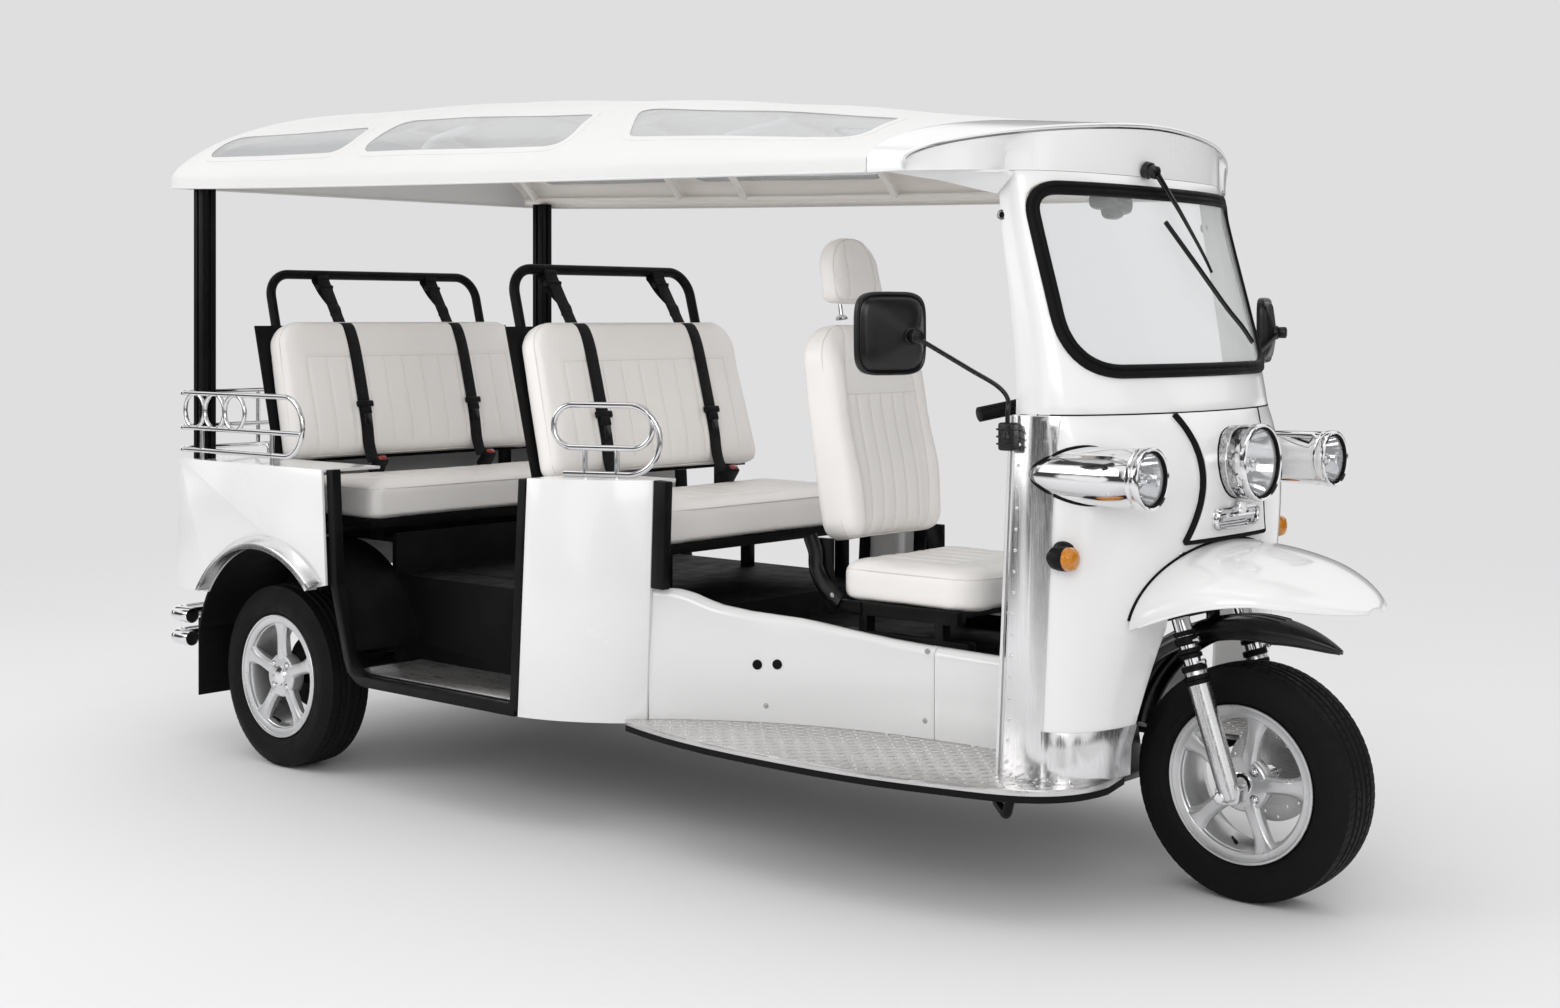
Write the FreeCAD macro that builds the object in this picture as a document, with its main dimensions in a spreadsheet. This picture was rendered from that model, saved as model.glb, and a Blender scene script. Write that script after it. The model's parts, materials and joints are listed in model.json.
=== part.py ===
# Three-wheeled passenger auto rickshaw, in millimetres.
# +X is forward, +Y is the vehicle's left, +Z is up, and the ground is at zero.
import FreeCAD, Part

import math
import os
import re
import sys

import Sketcher

V = FreeCAD.Vector
X_AXIS, Y_AXIS, Z_AXIS = V(1, 0, 0), V(0, 1, 0), V(0, 0, 1)

doc = FreeCAD.newDocument("rickshaw")
dims = doc.addObject("Spreadsheet::Sheet", "dims")

SIZES = {
    # Wheels and their places
    "wheelbase": 2786, "front_axle_x": 1543, "rear_track": 1240,
    "tyre_radius": 266, "tyre_width": 155, "bead_radius": 165, "tread_width": 118,
    "rim_flange_radius": 178, "rim_width": 140, "rim_well_radius": 148, "rim_wall": 7,
    "rim_flange_width": 8, "bead_seat_width": 22, "spoke_count": 5, "spoke_width": 44,
    "spoke_depth": 30, "spoke_setback": 8, "hub_radius": 52, "hub_depth": 46,
    "lug_circle_radius": 34, "lug_hole": 13, "disc_radius": 108, "disc_thickness": 6,
    "disc_offset": 84, "fit": 0.3,
    # Fork and steering
    "leg_spacing": 280, "leg_diameter": 50, "leg_rake": 18.3, "leg_lead": 15, "leg_top_height": 640,
    "slider_diameter": 58, "slider_top_height": 420, "axle_diameter": 20, "crown_height": 662,
    "crown_thickness": 26, "crown_depth": 70, "stem_diameter": 30, "stem_top_height": 1090,
    "bar_diameter": 24, "grip_diameter": 35, "grip_length": 108, "grip_y": 240, "bar_back": 215,
    "bar_sweep": 60, "bar_drop": 22, "bar_rise": 18, "guard_radius": 370, "guard_width": 176,
    "guard_wall": 4, "guard_skirt": 46, "guard_front_angle": 52, "guard_rear_angle": 168,
    "guard_flap": 130, "head_tube_diameter": 54, "head_tube_low": 720, "head_tube_high": 1000,
    # Ladder frame and floor
    "rail_spacing": 420, "rail_width": 50, "rail_height": 60, "rail_rear": 400,
    "rail_front": 470, "cross_width": 50, "mat_pad": 2, "gooseneck_diameter": 60, "floor_top": 565,
    "floor_wall": 10, "well_floor_top": 322, "riser_y": 450, "driver_floor_top": 500,
    "outrigger_height": 24, "outrigger_width": 40,
    "bracket_tube": 22, "bracket_drop": 62,
    # Rear axle
    "axle_tube_diameter": 70, "drum_radius": 105, "drum_width": 46, "motor_length": 300,
    "motor_width": 250, "motor_height": 230, "spring_length": 760, "spring_width": 50,
    "spring_thickness": 21, "spring_spacing": 760,
    # Rear body
    "body_width": 1460, "body_wall": 8, "deck_top": 885, "deck_front": 272, "deck_rear": 449,
    "tail_rear": 468, "tail_bottom": 490, "front_sill_height": 560, "arch_radius": 362,
    "arch_height": 285, "house_lift": 90, "ledge_width": 205, "flare_width": 40, "flare_rise": 34,
    "flare_wall": 3, "flap_width": 190, "flap_rise": 30, "flap_bottom": 170, "flap_wall": 6,
    "tail_lamp_radius": 38, "tail_lamp_depth": 24, "tail_lamp_y": 560, "tail_lamp_height": 700,
    "bumper_tube": 46, "bumper_high": 395, "bumper_low": 325, "bumper_rear": 584,
    "bumper_half": 670, "bumper_return": 110, "bumper_bracket_y": 430,
    # Door frames and the panel between the doors
    "door_tube": 30, "door_y": 700, "sill_height": 305, "sill_start": 386, "door_curve": 90,
    "panel_rear": 1098, "panel_length": 305, "panel_rear_y": 712, "panel_front_y": 552,
    "panel_bottom": 292, "panel_top": 905, "panel_wall": 10, "panel_ledge_y": 470,
    "edge_width": 26, "front_edge_depth": 44, "panel_lean": 12,
    # Plinth under the driver and the running boards
    "plinth_wall": 8, "plinth_rear_top": 632, "plinth_front_top": 512,
    "plinth_front_y": 262, "hole_diameter": 22, "hole_spacing": 38, "board_top": 302,
    "board_thickness": 16,
    "board_half": 665, "board_front": 152, "board_inner_y": 262,
    # Front cowl
    "cowl_half": 470, "cowl_wall": 8, "cowl_knee_height": 620,
    "cowl_chin_height": 830, "cowl_lamp_height": 960, "cowl_top": 1100,
    "cowl_rear_low": 364, "cowl_rear_high": 326, "cowl_side_low": 303, "cowl_side_high": 280,
    "cowl_depth_low": 153, "cowl_depth_knee": 182, "cowl_depth_chin": 222,
    "cowl_depth_lamp": 232, "cowl_depth_top": 194, "cowl_power_low": 4.2,
    "cowl_power_top": 2.0, "opening_low_y": 282, "opening_high_y": 186, "opening_top": 790,
    "nose_step": 12, "nose_waist_y": 129, "nose_flare": 48, "nose_waist_height": 950,
    "nose_flare_height": 140, "nose_chin_height": 817, "seam_width": 9, "seam_rise": 8,
    "strip_width": 104, "strip_rise": 3, "guard_top": 412,
    "toe_guard_rise": 4,
    # Front fender
    "fender_tip": 307, "fender_tip_height": 675, "fender_half": 324, "fender_rear": 128,
    "fender_edge_rear": 628, "fender_edge_mid": 698, "fender_wall": 6,
    # Screen cowl, glass and its rubber
    "screen_top": 1640, "screen_half_top": 444, "screen_rear_top": 392, "screen_side_top": 368,
    "screen_depth_top": 118, "screen_flare_height": 1165, "screen_depth_flare": 172,
    "screen_rear_low": 321, "glass_bottom": 1180, "glass_top": 1617, "glass_low_y": 438,
    "glass_high_y": 437, "glass_corner": 62, "glass_cut": 55, "gasket_width": 28, "gasket_rise": 7,
    "glass_thickness": 5,
    # Roof
    "canopy_rear": 514, "canopy_front": 560, "canopy_half": 735, "canopy_front_half": 705,
    "canopy_wall": 5, "hem_rear": 1712, "hem_front": 1630, "crown_rear": 1986,
    "crown_front": 1793, "valance": 30, "shoulder_power": 1.7, "rear_shoulder": 95,
    "visor_front": 243, "visor_height": 1765, "visor_wall": 10, "visor_sweep": 220,
    "window_edge": 45, "window_rear_y": 530, "window_mid_y": 445, "window_front_y": 340,
    "window_corner": 58,
    "roof_tube": 22, "bow_gap": 8, "pillar_size": 50, "pillar_rear": 381, "pillar_y": 686,
    # Lamps
    "lamp_gap": 10, "headlamp_radius": 88, "headlamp_front": 20, "headlamp_depth": 92,
    "pod_y": 424, "pod_height": 971, "pod_radius": 68, "pod_front": 12, "pod_length": 325,
    "lens_inset": 7, "lamp_wall": 3, "rim_bead": 6, "signal_y": 450, "signal_height": 793,
    "signal_front": 172, "signal_radius": 26, "signal_depth": 44,
    "bar_lift": 31, "bar_trim_length": 120, "bar_trim_width": 40,
    # Mirrors
    "mirror_y": 817, "mirror_x": 400, "mirror_height": 1280, "mirror_width": 172,
    "mirror_tall": 182, "mirror_thickness": 42, "mirror_tube": 11, "mirror_clamp": 34,
    "mirror_foot_height": 1060, "mirror_bend_height": 1150,
    # Chrome rails
    "chrome_tube": 15, "rail_high": 1085, "rail_mid": 980, "rail_low": 913, "tail_rail_front": 168,
    "tail_rail_rear": 494, "side_rail_length": 300,
    # Benches
    "rear_bench_rear": 258, "rear_bench_front": 226, "mid_bench_rear": 834, "mid_bench_front": 1346,
    "rear_bench_half": 520, "mid_bench_half": 440, "cushion_top": 832, "cushion_bottom": 722,
    "back_height": 470, "back_thickness": 95, "back_lean": 15, "back_base": 850,
    "cushion_round": 34, "shell_wall": 4, "hoop_tube": 30, "hoop_top": 1453, "hoop_bend": 75,
    "rear_hoop_half": 418, "mid_hoop_half": 357, "bench_leg": 30,
    "belt_width": 48, "belt_thickness": 3, "belt_spacing": 440,
    # Driver's seat
    "seat_rear": 1085, "seat_front": 600, "seat_half": 245, "seat_top": 706, "seat_bottom": 606,
    "seat_back_width": 450, "seat_back_height": 590, "seat_back_thickness": 105,
    "seat_lean": 9, "headrest_width": 205, "headrest_tall": 185, "headrest_thickness": 85,
    "headrest_gap": 38, "post_diameter": 11,
}

for row, (alias, number) in enumerate(SIZES.items(), start=1):
    dims.set(f"A{row}", alias)
    dims.set(f"B{row}", str(number))
    dims.setAlias(f"B{row}", alias)
doc.recompute()


class Sheet:
    """Reads one size of the spreadsheet as a number."""

    def __getattr__(self, alias):
        return float(dims.get(alias))


d = Sheet()
rear_x = d.front_axle_x - d.wheelbase
front_x = d.front_axle_x
SUBPARTS = []


# General helpers

def keep(obj, label):
    """Names a finished sub-part, and lists it for the export."""
    obj.Label = label
    SUBPARTS.append(obj)
    return obj


def piece(label, shape):
    """A sub-part made from a shape, with a placement of its own."""
    obj = doc.addObject("Part::Feature", label)
    obj.Shape = shape if shape.Placement.isIdentity() else Part.makeCompound([shape])
    obj.Placement = FreeCAD.Placement()
    return keep(obj, label)


def across(shape):
    """The same shape on the other side of the vehicle."""
    return shape.mirror(V(0, 0, 0), Y_AXIS)


def pair(shape):
    return Part.makeCompound([shape, across(shape)])


def joined(shapes):
    shape = shapes[0].multiFuse(shapes[1:]) if len(shapes) > 1 else shapes[0]
    return shape.removeSplitter()


def block(x0, x1, y0, y1, z0, z1):
    return Part.makeBox(x1 - x0, y1 - y0, z1 - z0, V(x0, y0, z0))


def rod(start, end, diameter):
    run = V(*end) - V(*start)
    return Part.makeCylinder(diameter / 2, run.Length, V(*start), run)


def smooth(points):
    """One smooth curve through points."""
    curve = Part.BSplineCurve()
    curve.interpolate(Points=points)
    return curve.toShape()


def bent_path(points, radius):
    """Straight runs joined by arcs of one radius."""
    points = [V(*point) for point in points]
    edges = []
    start = points[0]
    for before, corner, after in zip(points, points[1:], points[2:]):
        into = (corner - before).normalize()
        out = (after - corner).normalize()
        turn = into.getAngle(out)
        if turn < 0.001:
            continue
        back = radius * math.tan(turn / 2)
        first = corner - into * back
        last = corner + out * back
        middle = corner + (out - into).normalize() * (radius / math.cos(turn / 2) - radius)
        if (first - start).Length > 0.01:
            edges.append(Part.LineSegment(start, first).toShape())
        edges.append(Part.Arc(first, middle, last).toShape())
        start = last
    if (points[-1] - start).Length > 0.01:
        edges.append(Part.LineSegment(start, points[-1]).toShape())
    return Part.Wire(edges)


def tube(points, diameter, radius):
    """A round bar bent along straight runs and arcs."""
    path = bent_path(points, radius)
    run = V(*points[1]) - V(*points[0])
    ring = Part.Wire(Part.makeCircle(diameter / 2, path.Edges[0].Vertexes[0].Point, run))
    return path.makePipeShell([ring], True, False)


def flat_bar(points, radius, width, depth, side=Y_AXIS):
    """A rectangular bar bent along a path that lies in a plane square to side."""
    path = bent_path(points, radius)
    start = V(*points[0])
    run = (V(*points[1]) - start).normalize()
    over = run.cross(side).normalize()
    corners = [start + side * (width / 2 * i) + over * (depth / 2 * j)
               for i, j in ((-1, -1), (1, -1), (1, 1), (-1, 1), (-1, -1))]
    return path.makePipeShell([Part.makePolygon(corners)], True, False)


def plate(points, thrust):
    """A flat outline pushed along a vector."""
    points = [V(*point) for point in points]
    return Part.Face(Part.makePolygon(points + points[:1])).extrude(thrust)


def rounded_plate(points, radius, thrust):
    """As plate, with each corner rounded to the same radius."""
    points = [V(*point) for point in points]
    count = len(points)
    edges = []
    ends = []
    for i, corner in enumerate(points):
        into = (corner - points[i - 1]).normalize()
        out = (points[(i + 1) % count] - corner).normalize()
        turn = into.getAngle(out)
        back = radius * math.tan(turn / 2)
        middle = corner + (out - into).normalize() * (radius / math.cos(turn / 2) - radius)
        ends.append((corner - into * back, middle, corner + out * back))
    for i, (first, middle, last) in enumerate(ends):
        edges.append(Part.Arc(first, middle, last).toShape())
        edges.append(Part.LineSegment(last, ends[(i + 1) % count][0]).toShape())
    return Part.Face(Part.Wire(edges)).extrude(thrust)


def turned(points, centre, axis, side):
    """A solid turned about an axis: each point is a distance along it and a radius."""
    outline = [centre + axis * along + side * radius for along, radius in points]
    face = Part.Face(Part.makePolygon(outline + outline[:1]))
    return face.revolve(centre, axis, 360)


def sized(text):
    """The text as an expression on the sheet: each alias gets the sheet's name."""
    return re.sub(r"[a-z_]+", lambda word: "dims." + word[0] if word[0] in SIZES else word[0], text)


def blend(low, high, share):
    return low + (high - low) * share


def origin_plane(body, role):
    return next(item for item in body.Origin.OriginFeatures if item.Role == role)


def outline_sketch(body, name, role, corners):
    """A closed outline on an origin plane, each corner held by two sizes of the sheet."""
    sketch = body.newObject("Sketcher::SketchObject", name)
    sketch.AttachmentSupport = (origin_plane(body, role), [""])
    sketch.MapMode = "FlatFace"
    corners = [[sized(text) for text in corner] for corner in corners]
    values = [[float(dims.evalExpression(text)) for text in corner] for corner in corners]
    count = len(corners)
    for i in range(count):
        start = V(*values[i], 0)
        end = V(*values[(i + 1) % count], 0)
        sketch.addGeometry(Part.LineSegment(start, end))
    for i in range(count):
        sketch.addConstraint(Sketcher.Constraint("Coincident", i, 2, (i + 1) % count, 1))
    for i, (across_text, up_text) in enumerate(corners):
        for kind, number, text in (("DistanceX", values[i][0], across_text),
                                   ("DistanceY", values[i][1], up_text)):
            index = sketch.addConstraint(Sketcher.Constraint(kind, -1, 1, i, 1, number))
            sketch.setExpression(f"Constraints[{index}]", text)
    return sketch


def revolved(body, sketch, name, axis="V_Axis"):
    turned_part = body.newObject("PartDesign::Revolution", name)
    turned_part.Profile = sketch
    turned_part.ReferenceAxis = (sketch, [axis])
    turned_part.Angle = 360
    return turned_part


def place(obj, x="0", y="0", z="0"):
    """Binds the place of an object to the sheet."""
    obj.setExpression("Placement.Base.x", sized(x))
    obj.setExpression("Placement.Base.y", sized(y))
    obj.setExpression("Placement.Base.z", sized(z))


# Wheels: a five-spoke rim and a low tyre, turned about the axle

RIM_OUTLINE = (
    ("rim_flange_radius", "-rim_width / 2"),
    ("rim_flange_radius", "-rim_width / 2 + rim_flange_width"),
    ("bead_radius", "-rim_width / 2 + rim_flange_width + 2"),
    ("bead_radius", "-rim_width / 2 + rim_flange_width + bead_seat_width"),
    ("rim_well_radius", "-rim_width / 2 + rim_flange_width + bead_seat_width + 12"),
    ("rim_well_radius", "rim_width / 2 - rim_flange_width - bead_seat_width - 12"),
    ("bead_radius", "rim_width / 2 - rim_flange_width - bead_seat_width"),
    ("bead_radius", "rim_width / 2 - rim_flange_width - 2"),
    ("rim_flange_radius", "rim_width / 2 - rim_flange_width"),
    ("rim_flange_radius", "rim_width / 2"),
    ("bead_radius - rim_wall", "rim_width / 2"),
    ("bead_radius - rim_wall", "rim_width / 2 - rim_flange_width - bead_seat_width"),
    ("rim_well_radius - rim_wall", "rim_width / 2 - rim_flange_width - bead_seat_width - 12"),
    ("rim_well_radius - rim_wall", "-rim_width / 2 + rim_flange_width + bead_seat_width + 12"),
    ("bead_radius - rim_wall", "-rim_width / 2 + rim_flange_width + bead_seat_width"),
    ("bead_radius - rim_wall", "-rim_width / 2"),
)

TYRE_OUTLINE = (
    ("bead_radius + fit", "-rim_width / 2 + rim_flange_width + 2 + fit"),
    ("rim_flange_radius + fit", "-rim_width / 2 + rim_flange_width + fit"),
    ("rim_flange_radius + 5", "-rim_width / 2 + rim_flange_width / 2"),
    ("tyre_radius - 44", "-tyre_width / 2"),
    ("tyre_radius - 16", "-tyre_width / 2 + 7"),
    ("tyre_radius - 3", "-tread_width / 2"),
    ("tyre_radius", "-tread_width / 4"),
    ("tyre_radius", "tread_width / 4"),
    ("tyre_radius - 3", "tread_width / 2"),
    ("tyre_radius - 16", "tyre_width / 2 - 7"),
    ("tyre_radius - 44", "tyre_width / 2"),
    ("rim_flange_radius + 5", "rim_width / 2 - rim_flange_width / 2"),
    ("rim_flange_radius + fit", "rim_width / 2 - rim_flange_width - fit"),
    ("bead_radius + fit", "rim_width / 2 - rim_flange_width - 2 - fit"),
    ("bead_radius + fit", "rim_width / 2 - rim_flange_width - bead_seat_width + 4"),
    ("tyre_radius - 44", "tyre_width / 2 - 10"),
    ("tyre_radius - 12", "tread_width / 2 - 6"),
    ("tyre_radius - 12", "-tread_width / 2 + 6"),
    ("tyre_radius - 44", "-tyre_width / 2 + 10"),
    ("bead_radius + fit", "-rim_width / 2 + rim_flange_width + bead_seat_width - 4"),
)


def rim(name, x, y):
    """A cast rim whose spokes stand near its right-hand face."""
    body = doc.addObject("PartDesign::Body", name)
    barrel = outline_sketch(body, name + "_barrel_outline", "XY_Plane", RIM_OUTLINE)
    revolved(body, barrel, name + "_barrel")
    barrel.Visibility = False
    hub = outline_sketch(body, name + "_hub_outline", "XY_Plane", (
        ("axle_diameter / 2 + fit", "-rim_width / 2 + spoke_setback"),
        ("hub_radius - 4", "-rim_width / 2 + spoke_setback"),
        ("hub_radius", "-rim_width / 2 + spoke_setback + 4"),
        ("hub_radius", "-rim_width / 2 + spoke_setback + hub_depth"),
        ("axle_diameter / 2 + fit", "-rim_width / 2 + spoke_setback + hub_depth"),
    ))
    spoke = outline_sketch(body, name + "_spoke_outline", "XZ_Plane", (
        ("hub_radius - 12", "-spoke_width * 0.42"),
        ("rim_flange_radius * 0.62", "-spoke_width * 0.36"),
        ("bead_radius - rim_wall + 3", "-spoke_width * 0.62"),
        ("bead_radius - rim_wall + 3", "spoke_width * 0.62"),
        ("rim_flange_radius * 0.62", "spoke_width * 0.36"),
        ("hub_radius - 12", "spoke_width * 0.42"),
    ))
    lift = sized("rim_width / 2 - spoke_setback - spoke_depth - 4")
    spoke.setExpression("AttachmentOffset.Base.z", lift)
    pad = body.newObject("PartDesign::Pad", name + "_spoke")
    pad.Profile = spoke
    pad.setExpression("Length", sized("spoke_depth"))
    doc.recompute()
    ring = body.newObject("PartDesign::PolarPattern", name + "_spokes")
    ring.Originals = [pad]
    ring.Axis = (body.Origin.OriginFeatures[1], [""])
    ring.Angle = 360
    ring.setExpression("Occurrences", sized("spoke_count"))
    body.Tip = ring
    doc.recompute()
    revolved(body, hub, name + "_hub")
    doc.recompute()
    lugs = outline_sketch(body, name + "_lug_outline", "XZ_Plane", (
        ("lug_circle_radius - lug_hole / 2", "-lug_hole / 2"),
        ("lug_circle_radius + lug_hole / 2", "-lug_hole / 2"),
        ("lug_circle_radius + lug_hole / 2", "lug_hole / 2"),
        ("lug_circle_radius - lug_hole / 2", "lug_hole / 2"),
    ))
    lugs.setExpression("AttachmentOffset.Base.z", sized("rim_width / 2 - spoke_setback - 8"))
    pocket = body.newObject("PartDesign::Pocket", name + "_lug_recess")
    pocket.Profile = lugs
    pocket.Length = 20
    pocket.Reversed = True
    doc.recompute()
    recesses = body.newObject("PartDesign::PolarPattern", name + "_lug_recesses")
    recesses.Originals = [pocket]
    recesses.Axis = (body.Origin.OriginFeatures[1], [""])
    recesses.Angle = 360
    recesses.Occurrences = 4
    body.Tip = recesses
    place(body, x, y, "tyre_radius")
    return keep(body, name)


def tyre(name, x, y):
    body = doc.addObject("PartDesign::Body", name)
    outline = outline_sketch(body, name + "_outline", "XY_Plane", TYRE_OUTLINE)
    revolved(body, outline, name + "_casing")
    place(body, x, y, "tyre_radius")
    return keep(body, name)


rim("front_rim", "front_axle_x", "0")
tyre("front_tyre", "front_axle_x", "0")
rear_wheel_x = "front_axle_x - wheelbase"
for side, sign in (("right", "-"), ("left", "")):
    wheel = rim(f"rear_{side}_rim", rear_wheel_x, f"{sign}rear_track / 2")
    tyre(f"rear_{side}_tyre", rear_wheel_x, f"{sign}rear_track / 2")
    if side == "left":
        wheel.Placement = FreeCAD.Placement(wheel.Placement.Base, FreeCAD.Rotation(Z_AXIS, 180))

disc = doc.addObject("PartDesign::Body", "front_brake_disc")
revolved(disc, outline_sketch(disc, "disc_outline", "XY_Plane", (
    ("axle_diameter / 2 + fit", "-rim_width / 2 + spoke_setback + hub_depth + fit"),
    ("hub_radius - 8", "-rim_width / 2 + spoke_setback + hub_depth + fit"),
    ("hub_radius - 8", "disc_offset - disc_thickness"),
    ("disc_radius", "disc_offset - disc_thickness"),
    ("disc_radius", "disc_offset"),
    ("axle_diameter / 2 + fit", "disc_offset"),
)), "disc_plate")
place(disc, "front_axle_x", "0", "tyre_radius")
keep(disc, "front_brake_disc")


# Steering: telescopic fork, handlebar and the mudguard that the fork carries

rake = math.radians(d.leg_rake)
leg_foot_x = front_x + d.leg_lead


def leg_x(height):
    """Where the leaning fork leg, and the steering axis beside it, is at a height."""
    return leg_foot_x - (height - d.tyre_radius) * math.tan(rake)


def fork():
    half = d.leg_spacing / 2
    shapes = []
    for y in (-half, half):
        foot = V(leg_x(d.tyre_radius - 6), y, d.tyre_radius - 6)
        top = V(leg_x(d.leg_top_height), y, d.leg_top_height)
        split = V(leg_x(d.slider_top_height), y, d.slider_top_height)
        shapes.append(rod(foot, top, d.leg_diameter - 8))
        shapes.append(rod(foot, split, d.slider_diameter - 8))
        lug_x = leg_foot_x - 12
        shapes.append(rod(V(lug_x, y - 22, d.tyre_radius), V(lug_x, y + 22, d.tyre_radius),
                          d.slider_diameter - 8))
    centre = V(leg_x(d.crown_height), 0, d.crown_height)
    crown = Part.makeBox(d.crown_depth, d.leg_spacing + d.slider_diameter, d.crown_thickness,
                         V(-d.crown_depth / 2, -(d.leg_spacing + d.slider_diameter) / 2, 0))
    crown.rotate(V(0, 0, 0), Y_AXIS, -d.leg_rake)
    crown.translate(centre + V(0, 0, -d.crown_thickness))
    stem_top = V(leg_x(d.stem_top_height), 0, d.stem_top_height)
    shapes += [crown, rod(centre, stem_top, d.stem_diameter)]
    reach = half + 14
    shapes.append(rod(V(front_x, -reach, d.tyre_radius), V(front_x, reach, d.tyre_radius), d.axle_diameter))
    return joined(shapes)


def handlebar():
    centre = V(leg_x(d.stem_top_height), 0, d.stem_top_height + d.bar_rise)
    inner = centre + V(-d.bar_back, d.grip_y, 0)
    along = V(-d.bar_sweep, d.grip_length, -d.bar_drop).normalize()
    outer = inner + along * d.grip_length
    bar = tube([centre - V(0, 1, 0), centre + V(0, d.grip_y * 0.45, 0), inner, outer], d.bar_diameter, 30)
    grip = rod(inner, outer, d.grip_diameter)
    flange = rod(inner - along * 34, inner, d.grip_diameter + 12)
    half = joined([bar, grip, flange])
    clamp = block(centre.x - 24, centre.x + 24, -42, 42, centre.z - d.bar_rise + 0.2, centre.z + 15)
    return joined([half, across(half), clamp])


def guard_strip(wall, first_angle, last_angle, radius, width):
    """A curved strip about the front axle, with rolled skirts."""
    low = radius - wall
    skirt = radius - d.guard_skirt
    half = width / 2
    outline = [(radius, -half), (radius, half), (skirt, half + 4), (skirt, half + 4 - wall),
               (low, half - wall), (low, -half + wall), (skirt, -half - 4 + wall), (skirt, -half - 4)]
    outline = [V(r, y, 0) for r, y in outline]
    face = Part.Face(Part.makePolygon(outline + outline[:1]))
    strip = face.revolve(V(0, 0, 0), Y_AXIS, -(last_angle - first_angle))
    strip.rotate(V(0, 0, 0), Y_AXIS, -first_angle)
    strip.translate(V(front_x, 0, d.tyre_radius))
    return strip


def fork_mudguard():
    strip = guard_strip(d.guard_wall, d.guard_front_angle, d.guard_rear_angle, d.guard_radius, d.guard_width)
    angle = math.radians(d.guard_rear_angle)
    top = V(front_x + (d.guard_radius - d.guard_wall) * math.cos(angle), 0,
            d.tyre_radius + (d.guard_radius - d.guard_wall) * math.sin(angle))
    flap = block(top.x - 1, top.x + 4, -d.guard_width / 2, d.guard_width / 2, top.z - d.guard_flap, top.z + 6)
    flap.rotate(top, Y_AXIS, -10)
    mount = Part.makeCylinder(16, 60, V(leg_x(d.crown_height - d.crown_thickness) + 4, 0,
                                        d.crown_height - d.crown_thickness - 60))
    inner = Part.makeCylinder(d.guard_radius - 1, 200, V(front_x, -100, d.tyre_radius), Y_AXIS)
    return joined([strip, flap, mount.cut(inner)])


fork_shape = fork()
piece("fork", fork_shape)
piece("handlebar", handlebar().cut(fork_shape))
piece("fork_mudguard", fork_mudguard().cut(fork_shape))


# Stations along the vehicle that several pieces share

deck_front_x = rear_x + d.deck_front
deck_rear_x = rear_x - d.deck_rear
tail_x = rear_x - d.tail_rear
sill_start_x = rear_x + d.sill_start
panel_rear_x = rear_x + d.panel_rear
panel_front_x = panel_rear_x + d.panel_length
cowl_rear_x = front_x - d.cowl_rear_low
body_half = d.body_width / 2
board_seat = d.board_top + d.fit
rail_top = d.driver_floor_top - d.floor_wall - d.fit
rail_bottom = rail_top - d.rail_height


def plinth_y(x):
    """Half-width of the driver's plinth: a hollow curve from the side panel to the cowl."""
    share = min(max((x - panel_front_x) / (cowl_rear_x - panel_front_x), 0), 1)
    fall = (1 - share) ** 3
    return d.plinth_front_y + (d.panel_front_y - 12 - d.plinth_front_y) * fall


def board_y(x):
    """Outer half-width of the running board, a flat arc that closes in at both ends."""
    start, end = board_ends
    share = (x - start) / (end - start)
    return d.board_half - (d.board_half - 560) * abs(2 * share - 1) ** 2.4


board_ends = (panel_front_x - 130, front_x - d.board_front - 95)


# Ladder frame, outriggers, gooseneck and head tube

def gooseneck(gap):
    """The bent tube from the frame up to the head tube, grown by a gap where it cuts a hole."""
    low = V(front_x - d.rail_front - d.cross_width / 2, 0, (rail_bottom + rail_top) / 2)
    return tube([low, low + V(40, 0, 330), V(leg_x(860), 0, 900)], d.gooseneck_diameter + 2 * gap, 90)


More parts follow.
